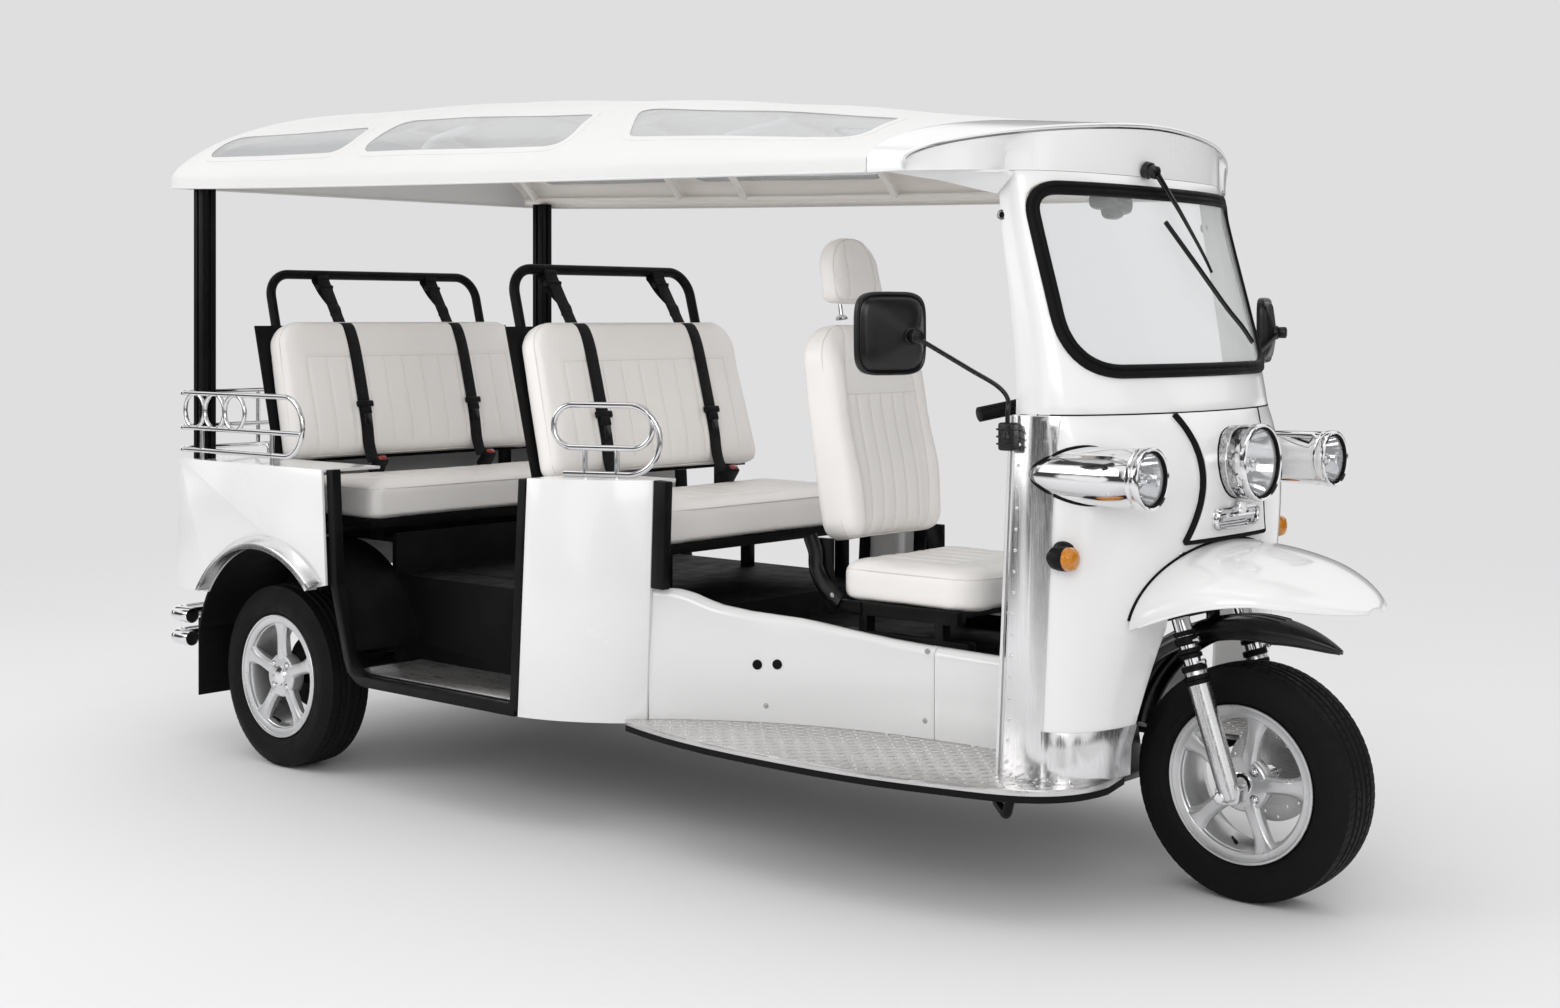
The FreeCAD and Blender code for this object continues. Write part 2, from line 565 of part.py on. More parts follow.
def chassis_frame():
    half = d.rail_spacing / 2
    rail_rear_x = rear_x - d.rail_rear
    rail_front_x = front_x - d.rail_front
    shapes = []
    for y in (-half, half):
        shapes.append(block(rail_rear_x, rail_front_x, y - d.rail_width / 2, y + d.rail_width / 2,
                            rail_bottom, rail_top))
    beams = (rail_rear_x, rear_x + d.deck_front, panel_rear_x, (panel_front_x + rail_front_x) / 2,
             rail_front_x - d.cross_width)
    for x in beams:
        shapes.append(block(x, x + d.cross_width, -half, half, rail_bottom, rail_top))
    for x in beams[1:3]:
        for y in (-half, half):
            shapes.append(block(x, x + d.cross_width, y - d.rail_width / 2, y + d.rail_width / 2,
                                rail_top, d.floor_top - d.floor_wall - d.fit))
    low = d.board_top - d.board_thickness - d.outrigger_height
    for x in (panel_front_x + 60, (panel_front_x + rail_front_x) / 2, rail_front_x - d.cross_width):
        reach = board_y(x) - 60
        shapes.append(block(x, x + d.outrigger_width, -reach, reach, low, low + d.outrigger_height))
        for y in (-half, half):
            shapes.append(block(x, x + d.outrigger_width, y - d.rail_width / 2, y + d.rail_width / 2,
                                low, rail_bottom + 5))
    for x in (sill_start_x + 20, panel_rear_x - 60):
        reach = d.door_y - d.door_tube / 2 - d.fit
        shapes.append(block(x, x + d.outrigger_width, -reach, reach,
                            d.sill_height - d.door_tube / 2, d.well_floor_top - d.floor_wall - d.fit))
        for y in (-half, half):
            shapes.append(block(x, x + d.outrigger_width, y - d.rail_width / 2, y + d.rail_width / 2,
                                d.sill_height - d.door_tube / 2, rail_bottom + 5))
    low_end = V(leg_x(d.head_tube_low), 0, d.head_tube_low)
    high_end = V(leg_x(d.head_tube_high), 0, d.head_tube_high)
    head = rod(low_end, high_end, d.head_tube_diameter)
    shapes += [gooseneck(0), head]
    frame = joined(shapes)
    long_bore = rod((leg_x(d.head_tube_low - 60), 0, d.head_tube_low - 60),
                    (leg_x(d.head_tube_high + 60), 0, d.head_tube_high + 60), d.stem_diameter + 2)
    return frame.cut(long_bore)


def step_bracket():
    """A bent bar under each running board, which props the board's outer edge."""
    low = d.board_top - d.board_thickness
    x = front_x - d.rail_front + 30
    drop = low - d.bracket_drop
    bar = tube([(x, -380, low - d.fit), (x + 20, -410, drop), (x + 110, -500, drop),
                (x + 140, -520, low - d.fit)], d.bracket_tube, 26)
    bar = bar.cut(block(x - 100, x + 300, -900, 0, low - d.fit, low + 100))
    return bar


def floor_tub():
    """The black inner floor: two levels, the risers of the door wells and the wheel houses."""
    top, wall = d.floor_top, d.floor_wall
    shapes = [block(deck_front_x - 30, panel_front_x + 20, -d.riser_y, d.riser_y, top - wall, top)]
    for y in (-1, 1):
        y0, y1 = sorted((y * d.riser_y, y * (d.riser_y - wall)))
        shapes.append(block(deck_front_x - 30, panel_front_x, y0, y1, d.well_floor_top - wall, top))
        y0, y1 = sorted((y * d.riser_y, y * (d.door_y - d.door_tube / 2 - 1)))
        shapes.append(block(sill_start_x - 60, panel_rear_x - 2, y0, y1,
                            d.well_floor_top - wall, d.well_floor_top))
    shapes.append(block(deck_front_x - 30, deck_front_x - 30 + wall, -d.riser_y, d.riser_y,
                        top, d.cushion_bottom - 40))
    shapes.append(block(tail_x + 40, deck_front_x - 30, -d.riser_y, d.riser_y, top - wall + 100, top + 100))
    shapes.append(block(deck_front_x - 40, deck_front_x - 30, -d.riser_y, d.riser_y, top - wall, top + 100))
    for y in (-1, 1):
        inner = d.riser_y - wall
        outer = body_half - d.body_wall - d.fit
        house = Part.makeCylinder(d.arch_radius + wall, outer - inner,
                                  V(rear_x, inner, d.arch_height), Y_AXIS)
        house = house.cut(Part.makeCylinder(d.arch_radius, outer - inner - wall,
                                            V(rear_x, inner + wall, d.arch_height), Y_AXIS))
        low, inside = d.arch_height + d.house_lift, d.door_y - d.door_tube / 2 - d.fit
        house = house.common(joined([block(rear_x - 600, deck_front_x - 16, 0, 900, low, 900),
                                     block(deck_front_x - 17, rear_x + 600, 0, inside, low, 900)]))
        shapes.append(house if y > 0 else across(house))
    driver = []
    steps = 8
    x0, x1 = panel_front_x + 20, cowl_rear_x + 40
    for i in range(steps + 1):
        x = x0 + (x1 - x0) * i / steps
        driver.append((x, -plinth_y(x) + d.plinth_wall + 7, d.driver_floor_top - wall))
    driver += [(x, -y, z) for x, y, z in reversed(driver)]
    shapes.append(plate(driver, V(0, 0, wall)).cut(gooseneck(4)))
    shapes.append(block(panel_front_x + 10, panel_front_x + 20, -d.riser_y, d.riser_y,
                        d.driver_floor_top - wall, top))
    x0, x1 = (rear_x + blend(d.rear_bench_front, d.mid_bench_rear, share) for share in (0.16, 0.62))
    shapes.append(block(x0, x1, -d.riser_y * 0.7, d.riser_y * 0.7, top - 1, top + d.mat_pad))
    y0, y1 = d.plinth_front_y * 0.25, d.plinth_front_y * 0.9
    shapes.append(block(cowl_rear_x - 213, cowl_rear_x - 105, y0, y1, d.driver_floor_top - 1,
                        d.driver_floor_top + d.mat_pad))
    return joined(shapes)


def drive_unit():
    """Live rear axle with its drums, the motor in one block and the two leaf springs."""
    height = d.tyre_radius
    reach = d.rear_track / 2 + d.rim_width / 2 - d.spoke_setback - d.hub_depth
    shapes = [rod((rear_x, -reach, height), (rear_x, reach, height), d.axle_tube_diameter)]
    drum_in = d.rear_track / 2 - d.rim_width / 2 - 6
    stub = d.rear_track / 2 + d.rim_width / 2 - d.spoke_setback
    shapes.append(rod((rear_x, -stub, height), (rear_x, stub, height), d.axle_diameter))
    for sign in (-1, 1):
        shapes.append(rod((rear_x, sign * (drum_in - d.drum_width + 30), height),
                          (rear_x, sign * (drum_in + 30), height), 2 * d.drum_radius))
    motor = block(rear_x - 60, rear_x - 60 + d.motor_length, -d.motor_width / 2, d.motor_width / 2,
                  height - d.motor_height / 2, height + d.motor_height / 2)
    shapes.append(motor)
    for sign in (-1, 1):
        y = sign * d.spring_spacing / 2
        start = V(rear_x - d.spring_length / 2, y, rail_bottom + 6)
        middle = V(rear_x, y, height + d.axle_tube_diameter / 2 + d.spring_thickness / 2)
        end = V(rear_x + d.spring_length / 2, y, rail_bottom + 6)
        arc = Part.Wire([Part.Arc(start, middle, end).toShape()])
        run = arc.Edges[0].tangentAt(arc.Edges[0].FirstParameter)
        over = run.cross(Y_AXIS)
        corners = [start + Y_AXIS * (d.spring_width / 2 * i) + over * (d.spring_thickness / 2 * j)
                   for i, j in ((-1, -1), (1, -1), (1, 1), (-1, 1), (-1, -1))]
        shapes.append(arc.makePipeShell([Part.makePolygon(corners)], True, False))
        for x in (start.x, end.x):
            rail_side = sign * (d.rail_spacing / 2 + d.rail_width / 2 + d.fit)
            inner, outer = sorted((rail_side, y + sign * d.spring_width / 2))
            shapes.append(block(x - 25, x + 25, inner, outer, rail_bottom - 12, rail_bottom + 34))
        inner, outer = y - d.spring_width / 2 - 8, y + d.spring_width / 2 + 8
        shapes.append(block(rear_x - 55, rear_x + 55, inner, outer, height + 20,
                            height + d.axle_tube_diameter / 2 + 6))
    return joined(shapes)


piece("chassis_frame", joined([chassis_frame()]))
piece("step_brackets", pair(step_bracket()))
piece("floor_tub", floor_tub())
piece("drive_unit", drive_unit())


# Rear body: one moulded tub with side walls, deck ledges and tail

def rear_body():
    wall = d.body_wall
    outline = [(tail_x, d.tail_bottom), (deck_rear_x, d.deck_top), (deck_front_x, d.deck_top),
               (deck_front_x + 20, d.front_sill_height), (rear_x, d.front_sill_height - 60),
               (rear_x - 300, d.tail_bottom)]
    side = plate([(x, -body_half, z) for x, z in outline], V(0, wall, 0))
    ledge = block(deck_rear_x, deck_front_x, -body_half, -body_half + d.ledge_width,
                  d.deck_top - wall, d.deck_top)
    arch = Part.makeCylinder(d.arch_radius, 400, V(rear_x, -body_half - 20, d.arch_height), Y_AXIS)
    half = joined([side, ledge]).cut(arch)
    tail = plate([(tail_x, -body_half, d.tail_bottom), (deck_rear_x, -body_half, d.deck_top),
                  (deck_rear_x + wall, -body_half, d.deck_top), (tail_x + wall, -body_half, d.tail_bottom)],
                 V(0, d.body_width, 0))
    back_ledge = block(deck_rear_x, rear_x - d.rear_bench_rear - 60, -body_half, body_half,
                       d.deck_top - wall, d.deck_top)
    return joined([half, across(half), tail, back_ledge])


def arch_flares():
    """Polished lips round the rear wheel arches, rolled outward like a mudguard."""
    inner = d.arch_radius - 1
    face_y = -body_half - d.fit
    lip_y = face_y - d.flare_width
    outer = inner + d.flare_rise
    outline = [(inner, face_y), (inner - 1, lip_y), (inner + d.flare_rise * 0.45, lip_y + 4),
               (outer, face_y - 10), (outer, face_y), (outer - d.flare_wall, face_y),
               (outer - d.flare_wall, face_y - 8), (inner + d.flare_rise * 0.4, lip_y + 8),
               (inner + 3, lip_y + 4), (inner + 3, face_y)]
    face = Part.Face(Part.makePolygon([V(r, y, 0) for r, y in outline + outline[:1]]))
    lip = face.revolve(V(0, 0, 0), Y_AXIS, -128)
    lip.rotate(V(0, 0, 0), Y_AXIS, -46)
    lip.translate(V(rear_x, 0, d.arch_height))
    lip = lip.common(block(rear_x - 600, rear_x + 600, -900, 0, d.tail_bottom + 8, 900))
    return pair(lip)


def tail_lamps():
    shapes = []
    lean = (d.tail_rear - d.deck_rear) / (d.deck_top - d.tail_bottom)
    for offset in (-46, 46):
        z = d.tail_lamp_height + offset
        x = tail_x + lean * (z - d.tail_bottom) - d.fit
        axis = V(-1, 0, lean).normalize()
        shapes.append(turned([(0, 0), (0, d.tail_lamp_radius), (d.tail_lamp_depth * 0.6, d.tail_lamp_radius),
                              (d.tail_lamp_depth, d.tail_lamp_radius * 0.7), (d.tail_lamp_depth, 0)],
                             V(x, -d.tail_lamp_y, z), axis, Y_AXIS))
    return pair(Part.makeCompound(shapes))


def mud_flaps():
    y0 = body_half - d.body_wall - d.flap_width - 4
    house_rear = rear_x - math.sqrt((d.arch_radius + d.floor_wall) ** 2 - d.house_lift ** 2)
    flap = block(house_rear - d.fit - d.flap_wall, house_rear - d.fit, y0, y0 + d.flap_width,
                 d.flap_bottom, d.arch_height + d.house_lift + d.flap_rise)
    return pair(flap)


def rear_bumper():
    x = rear_x - d.bumper_rear
    shapes = []
    for z in (d.bumper_low, d.bumper_high):
        half = [(x + d.bumper_return, -d.bumper_half, z), (x, -d.bumper_half, z), (x, 0, z)]
        points = half + [(px, -py, pz) for px, py, pz in reversed(half[:2])]
        shapes.append(tube(points, d.bumper_tube, 45))
    for sign in (-1, 1):
        y = sign * d.bumper_bracket_y
        y0, y1 = y - 20, y + 20
        shapes.append(block(x - 30, x + 12, y0, y1, d.bumper_low - 40, d.bumper_high + 40))
        y = sign * d.rail_spacing / 2
        shapes.append(block(x - 6, rear_x - d.rail_rear - d.fit, y - 20, y + 20,
                            d.bumper_high - 12, d.bumper_high + 12))
        shapes.append(block(rear_x - d.rail_rear - 12, rear_x - d.rail_rear - d.fit, y - 20, y + 20,
                            d.bumper_high - 12, rail_bottom + 40))
    return joined(shapes)


piece("rear_body", rear_body())
piece("arch_flares", arch_flares())
piece("tail_lamps", tail_lamps())
piece("mud_flaps", mud_flaps())
piece("rear_bumper", rear_bumper())


# Door openings, the white panel between them, and the driver's plinth

def panel_edge(height):
    """Places of the rear and front edges of the side panel, which leans forward as it rises."""
    share = (height - d.panel_bottom) / (d.panel_top - d.panel_bottom)
    return panel_rear_x + blend(-d.panel_lean, d.panel_lean * 2, share), panel_front_x + blend(
        -d.panel_lean, d.panel_lean, share)


def door_frames():
    """The rear door's bent frame and the upright edges of the panel between the doors."""
    y = -d.door_y
    frame = flat_bar([(deck_front_x + d.door_tube / 2 + 1, y, d.deck_top),
                      (deck_front_x + d.door_tube / 2 + 21, y, d.front_sill_height),
                      (sill_start_x, y, d.sill_height),
                      (panel_edge(d.sill_height)[0] - 12, y, d.sill_height)],
                     d.door_curve, d.door_tube, d.door_tube)
    low, high = d.panel_bottom + 14, d.deck_top + 16
    gap = d.fit + d.door_tube / 2 + 1
    rear_edge = flat_bar([(panel_edge(low)[0] - gap, y, low), (panel_edge(high)[0] - gap, y, high)],
                         10, d.door_tube, d.door_tube)
    low, high = d.plinth_rear_top + d.fit, d.panel_top - 1
    gap = d.fit + d.front_edge_depth / 2 + 1
    y = -d.panel_front_y + d.edge_width / 2
    front_edge = flat_bar([(panel_edge(low)[1] + gap, y, low), (panel_edge(high)[1] + gap, y, high)],
                          10, d.edge_width, d.front_edge_depth)
    half = Part.makeCompound([joined([frame, rear_edge]), front_edge])
    return pair(half)


def panel_curve(inset, height, grow=0):
    """Plan curve of the panel between the doors at one height."""
    rear_edge, front_edge = panel_edge(height)
    rear = V(rear_edge - grow, -d.panel_rear_y + inset - grow, height)
    front = V(front_edge + grow, -d.panel_front_y + inset - grow, height)
    middle = V((rear.x + front.x) / 2, (rear.y * 0.7 + front.y * 0.3), height)
    return rear, middle, front


def mid_side_panels():
    rings = []
    for height in (d.panel_bottom, d.panel_top):
        rear, middle, front = panel_curve(0, height)
        rear_in, middle_in, front_in = panel_curve(d.panel_wall, height)
        rings.append(Part.Wire([Part.Arc(rear, middle, front).toShape(),
                                Part.LineSegment(front, front_in).toShape(),
                                Part.Arc(front_in, middle_in, rear_in).toShape(),
                                Part.LineSegment(rear_in, rear).toShape()]))
    wall = Part.makeLoft(rings, True, True)
    rear, middle, front = panel_curve(d.panel_wall / 2, d.panel_top - d.panel_wall)
    outline = Part.Wire([Part.Arc(rear, middle, front).toShape(),
                         Part.LineSegment(front, V(front.x, -d.panel_ledge_y, front.z)).toShape(),
                         Part.LineSegment(V(front.x, -d.panel_ledge_y, front.z),
                                          V(rear.x, -d.panel_ledge_y, rear.z)).toShape(),
                         Part.LineSegment(V(rear.x, -d.panel_ledge_y, rear.z), rear).toShape()])
    ledge = Part.Face(outline).extrude(V(0, 0, d.panel_wall))
    return joined([wall, ledge])


def step_plates():
    y0 = -d.door_y + d.door_tube / 2 + 2
    return pair(block(sill_start_x - 20, panel_rear_x - 12, y0, -d.riser_y,
                      d.well_floor_top, d.well_floor_top + 4))


def plinth_top(x):
    """Height of the plinth's upper edge, high at the rear and low under the seat."""
    share = min(max((x - panel_front_x) / (cowl_rear_x - panel_front_x), 0), 1)
    ease = share * share * (3 - 2 * share) if share < 1 else 1
    return d.plinth_rear_top + (d.plinth_front_top - d.plinth_rear_top) * min(1, ease * 1.35)


def driver_plinth():
    """White side skins that sweep in from the side panel to the cowl, with a lip along the top."""
    start, end = panel_front_x - 8, cowl_rear_x + 60
    outer, inner = [], []
    steps = 9
    for i in range(steps + 1):
        x = start + (end - start) * i / steps
        outer.append(V(x, -plinth_y(x), board_seat))
        inner.append(V(x, -plinth_y(x) + d.plinth_wall, board_seat))
    ring = Part.Wire([smooth(outer), Part.LineSegment(outer[-1], inner[-1]).toShape(),
                      smooth(inner[::-1]), Part.LineSegment(inner[0], outer[0]).toShape()])
    wall = Part.Face(ring).extrude(V(0, 0, d.plinth_rear_top - board_seat))
    tops = [V(start + (end - start) * i / steps, 0, 0) for i in range(steps + 1)]
    tops = [V(p.x, -700, plinth_top(p.x)) for p in tops]
    curve = smooth(tops)
    cap = [curve, Part.makePolygon([tops[-1], V(end + 5, -700, tops[-1].z), V(end + 5, -700, 900),
                                    V(start - 5, -700, 900), V(start - 5, -700, tops[0].z), tops[0]])]
    cutter = Part.Face(Part.Wire([cap[0]] + cap[1].Edges)).extrude(V(0, 700, 0))
    wall = wall.cut(cutter)
    x = (panel_front_x + cowl_rear_x) / 2 - 180
    for offset in (0, d.hole_spacing):
        hole = Part.makeCylinder(d.hole_diameter / 2, 700, V(x + offset, -700, 430), Y_AXIS)
        wall = wall.cut(hole)
    return pair(wall)


def running_boards():
    start, end = board_ends
    outer = []
    steps = 8
    for i in range(steps + 1):
        x = start + (end - start) * i / steps
        outer.append(V(x, -board_y(x), d.board_top - d.board_thickness))
    tip = V(front_x - d.board_front, -370, outer[0].z)
    nose = V(tip.x - 26, -d.board_inner_y, outer[0].z)
    rear_in = V(start + 20, -d.panel_front_y + 60, outer[0].z)
    edges = [smooth(outer + [tip]), Part.LineSegment(tip, nose).toShape()]
    inner = [nose]
    for i in range(steps, -1, -1):
        x = start + 60 + (cowl_rear_x - start) * i / steps
        inner.append(V(x, -plinth_y(x) + d.plinth_wall, outer[0].z))
    inner = [point for point in inner if point.x <= nose.x]
    edges.append(smooth(inner[:1] + inner[1:]))
    edges.append(Part.LineSegment(inner[-1], outer[0]).toShape())
    board = Part.Face(Part.Wire(edges)).extrude(V(0, 0, d.board_thickness))
    rear, middle, front = panel_curve(0, d.board_top - d.board_thickness - 1, d.fit + 1)
    inside = V(0, rear.y * -1, 0)
    footprint = Part.Wire([Part.Arc(rear, middle, front).toShape(),
                           Part.makeLine(front, front + inside), Part.makeLine(front + inside, rear + inside),
                           Part.makeLine(rear + inside, rear)])
    return pair(board.cut(Part.Face(footprint).extrude(V(0, 0, d.board_thickness + 2))))


piece("door_frames", door_frames())
piece("mid_side_panels", pair(mid_side_panels()))
piece("step_plates", step_plates())
piece("driver_plinth", driver_plinth())
piece("running_boards", running_boards())


# Front cowl: plan curves at several heights, lofted, with the wheel opening cut in front

def half_plan(station, grow, steps=9):
    """A plan of the cowl: a straight right side and a rounded front, closed just past the middle."""
    rear, side, depth, half, power, height = station
    half += grow
    depth += grow
    points = []
    for i in range(steps + 1):
        angle = math.pi / 2 * i / steps
        points.append(V(side + depth * math.sin(angle) ** (2 / power),
                        -half * abs(math.cos(angle)) ** (2 / power), height))
    points[-1].y = 0
    ends = [V(points[-1].x, 20, height), V(rear, 20, height), V(rear, -half, height), points[0]]
    return Part.makePolygon(points + ends)


def half_fill(stations, grow):
    """The right half of all that the cowl encloses."""
    whole = Part.makeLoft([half_plan(station, grow) for station in stations], True)
    return whole.common(block(-3000, 3000, -900, 0, 0, 3000))


def cowl_stations():
    """Rear edge, start of the curve, depth, half-width, squareness and height, from low to high."""
    heights = (board_seat, d.cowl_knee_height, d.cowl_chin_height, d.cowl_lamp_height, d.cowl_top)
    depths = (d.cowl_depth_low, d.cowl_depth_knee, d.cowl_depth_chin, d.cowl_depth_lamp, d.cowl_depth_top)
    stations = []
    for height, depth in zip(heights, depths):
        share = (height - board_seat) / (d.cowl_top - board_seat)
        stations.append((front_x - blend(d.cowl_rear_low, d.cowl_rear_high, share),
                         front_x - blend(d.cowl_side_low, d.cowl_side_high, share), depth, d.cowl_half,
                         blend(d.cowl_power_low, d.cowl_power_top, share ** 0.6), height))
    return stations


def screen_stations():
    low = cowl_stations()[-1]
    flare = (front_x - blend(d.cowl_rear_high, d.screen_rear_low + 14, 0.3), low[1] + 1, d.screen_depth_flare,
             d.cowl_half - 5, 2.05, d.screen_flare_height)
    low = (*low[:5], d.cowl_top + d.fit)
    share = (d.glass_top - 190 - d.screen_flare_height) / (d.screen_top - d.screen_flare_height)
    top = (front_x - d.screen_rear_top, front_x - d.screen_side_top, d.screen_depth_top,
           d.screen_half_top, 2.2, d.screen_top)
    middle = tuple(blend(a, b, share) for a, b in zip(flare, top))
    return [low, flare, middle, top]


def front_prism(corners, radius=0.0):
    """A front-view outline pushed along the vehicle through the whole front."""
    x = cowl_rear_x + 14
    points = [(x, y, z) for y, z in corners]
    thrust = V(700, 0, 0)
    return rounded_plate(points, radius, thrust) if radius else plate(points, thrust)


def nose_outline(grow=0.0):
    """The nose panel from the front: waisted sides that flare to the top and to the chin."""
    low, high = d.nose_chin_height - grow, d.cowl_top + 20
    steps = 8
    side = []
    for i in range(steps + 1):
        z = low + (high - low) * i / steps
        flare = d.nose_flare * ((z - d.nose_waist_height) / d.nose_flare_height) ** 2
        side.append((d.nose_waist_y + flare + grow, z))
    return [(-y, z) for y, z in side] + list(reversed(side))


def half_wall(wall, grow, stations, zone=None):
    """The right half of a wall along the stations, within a zone and open at the rear."""
    outside = half_fill(stations, grow)
    if zone:
        outside = outside.common(zone)
    return outside.cut(half_fill([(rear - 60, *rest) for rear, *rest in stations], -wall))


def cowl_wall(wall, grow, stations, zone=None):
    half = half_wall(wall, grow, stations, zone)
    return joined([half, across(half)])


def opening_prism():
    low = board_seat - 20
    knee = board_seat + 66
    right = [(-d.opening_low_y, low), (-d.opening_low_y, knee), (-d.opening_high_y, d.cowl_knee_height),
             (-d.opening_high_y, d.opening_top)]
    return front_prism(right + [(-y, z) for y, z in reversed(right)])


def front_cowl():
    half = half_wall(d.cowl_wall, 0, cowl_stations()).cut(opening_prism()).cut(front_prism(nose_outline()))
    return joined([half, across(half)])


def nose_panel():
    return cowl_wall(d.cowl_wall, d.nose_step, cowl_stations(), front_prism(nose_outline(-d.fit)))


def rubber_trim():
    """The thick rubber seam round the nose panel."""
    ring = front_prism(nose_outline(d.seam_width)).cut(front_prism(nose_outline()))
    ring = ring.common(block(-3000, 3000, -900, 900, 0, d.cowl_top - 1))
    return cowl_wall(-d.fit, d.seam_rise + d.nose_step, cowl_stations(), ring)


def chrome_trim():
    """Edge strips on the cowl's rear edge and toe guards on its lower corners."""
    stations = cowl_stations()
    x0, x1 = front_x - d.cowl_rear_low - 10, front_x - d.cowl_rear_low + d.strip_width
    zone = plate([(x0, -900, board_seat), (x1, -900, board_seat),
                  (x1 + d.cowl_rear_low - d.cowl_rear_high, -900, d.cowl_top - 2),
                  (x0, -900, d.cowl_top - 2)], V(0, 900, 0))
    strip = half_wall(-d.fit, d.strip_rise, stations, zone)
    zone = block(x1 + 0.5, 3000, -900, 0, 0, d.guard_top).cut(opening_prism())
    return strip, half_wall(-d.fit, d.toe_guard_rise, stations, zone)


strip_shape, toe_shape = chrome_trim()
piece("front_cowl", front_cowl())
piece("nose_panel", nose_panel())
piece("rubber_trim", rubber_trim())
piece("cowl_strips", pair(Part.makeCompound([strip_shape, toe_shape])))


# Front fender: a beak over the wheel, fixed to the cowl

def arch_section(x, half, crest, edge, power, inset, steps=7):
    """A cross-section of a roof-like shell, from the right edge over the crest to the left edge."""
    half -= inset
    crest -= inset
    points = []
    for i in range(2 * steps + 1):
        angle = math.pi * i / (2 * steps)
        y = -half * math.copysign(abs(math.cos(angle)) ** (2 / power), math.cos(angle))
        points.append(V(x, y, edge + (crest - edge) * math.sin(angle) ** (2 / power)))
    return points


fender_crest = d.nose_chin_height - d.seam_width - d.fit


def fender_stations():
    rear = front_x - d.fender_rear
    tip = front_x + d.fender_tip
    shares = (0.0, 0.2, 0.4, 0.58, 0.76, 0.9, 0.975)
    stations = []
    for share in shares:
        x = rear + (tip - rear) * share
        crest = fender_crest - (fender_crest - d.fender_tip_height - 6) * share ** 2.35
        half = d.fender_half * (1 - share ** 2.2) ** 0.62 + 8 * share
        lift = math.sin(min(share / 0.62, 1) * math.pi / 2)
        edge = blend(d.fender_edge_rear, d.fender_edge_mid, lift)
        if share > 0.62:
            edge = blend(d.fender_edge_mid, d.fender_tip_height - 2, (share - 0.62) / 0.38)
        stations.append((x, half, crest, min(edge, crest - 8), 2.05))
    return stations


def closed_arch(points):
    return Part.makePolygon(points + points[:1])


def front_fender():
    outer = Part.makeLoft([closed_arch(arch_section(*s, 0)) for s in fender_stations()], True)
    inner_stations = [(x, half, crest, edge - 30, power)
                      for x, half, crest, edge, power in fender_stations()[:-1]]
    inner = Part.makeLoft([closed_arch(arch_section(*s, d.fender_wall)) for s in inner_stations], True)
    shell = outer.cut(inner)
    shell = shell.common(block(0, 3000, -900, 0, 0, 1500)).cut(half_fill(cowl_stations(), d.fit))
    half = max(shell.Solids, key=lambda solid: solid.Volume)
    return joined([half, across(half)])


piece("front_fender", front_fender())


# Screen cowl, windscreen and gasket

def glass_outline(grow):
    """The windscreen from the front: its lower corners are cut before they are rounded."""
    side = 0.65 * grow
    right = [(-d.glass_low_y + d.glass_cut - side, d.glass_bottom - grow),
             (-d.glass_low_y - side, d.glass_bottom + d.glass_cut - grow),
             (-d.glass_high_y - side, d.glass_top + grow)]
    return right + [(-y, z) for y, z in reversed(right)]


def screen_cowl():
    half = half_wall(d.cowl_wall, 0, screen_stations()).cut(front_prism(glass_outline(0), d.glass_corner))
    return joined([half, across(half)])


def screen_gasket():
    ring = front_prism(glass_outline(0), d.glass_corner).cut(
        front_prism(glass_outline(-d.gasket_width), d.glass_corner - d.gasket_width))
    return cowl_wall(d.cowl_wall + 2, d.gasket_rise, screen_stations(), ring)


def windscreen():
    zone = front_prism(glass_outline(-d.gasket_width), d.glass_corner - d.gasket_width)
    return cowl_wall(d.glass_thickness, 0, screen_stations(), zone)


piece("screen_cowl", screen_cowl())
piece("screen_gasket", screen_gasket())
piece("windscreen", windscreen())


# Roof: fabric canopy, its clear windows, bows, rear pillars and the hard visor in front

canopy_rear_x = rear_x - d.canopy_rear
canopy_front_x = front_x - d.canopy_front


def roof_share(x):
    return (x - canopy_rear_x) / (canopy_front_x - canopy_rear_x)


def roof_station(x):
    """Half-width, crown, hem height and start of the arch of the roof at one place."""
    share = roof_share(x)
    crown = blend(d.crown_rear, d.crown_front, max(share, 0) ** 2.2)
    rise = min((x - canopy_rear_x) / d.rear_shoulder, 1)
    round_off = 1 - math.sqrt(max(1 - (1 - rise) ** 2, 0))
    crown -= d.rear_shoulder * 0.9 * round_off
    half = blend(d.canopy_half, d.canopy_front_half, max(share, 0)) - 20 * round_off
    hem = blend(d.hem_rear, d.hem_front, min(max(share, 0), 1) ** 0.8)
    return half, crown, hem


def roof_ring(x, inset, low=0.0):
    half, crown, hem = roof_station(x)
    points = arch_section(x, half, crown, hem + d.valance, d.shoulder_power, inset)
    base = hem - low
    right, left = V(x, points[0].y, base), V(x, points[-1].y, base)
    return Part.makePolygon([right] + points + [left, right])


def roof_places(first, last):
    shoulder = [canopy_rear_x + d.rear_shoulder * share for share in (0, 0.12, 0.4, 1)]
    rest = [blend(shoulder[-1], last, share) for share in (0.2, 0.4, 0.6, 0.8, 1)]
    return [x for x in shoulder + rest if x >= first]


def roof_shell(outset, inset, first, last):
    """A skin of the roof between two depths under its outer face."""
    places = roof_places(first, last)
    outer = Part.makeLoft([roof_ring(x, outset) for x in places], True, True)
    inner = [x for x in places if x > canopy_rear_x + 1]
    start = canopy_rear_x + inset
    room = Part.makeLoft([roof_ring(x, inset, 20) for x in [start] + inner[:-1] + [last + 30]], True, True)
    return outer.cut(room)


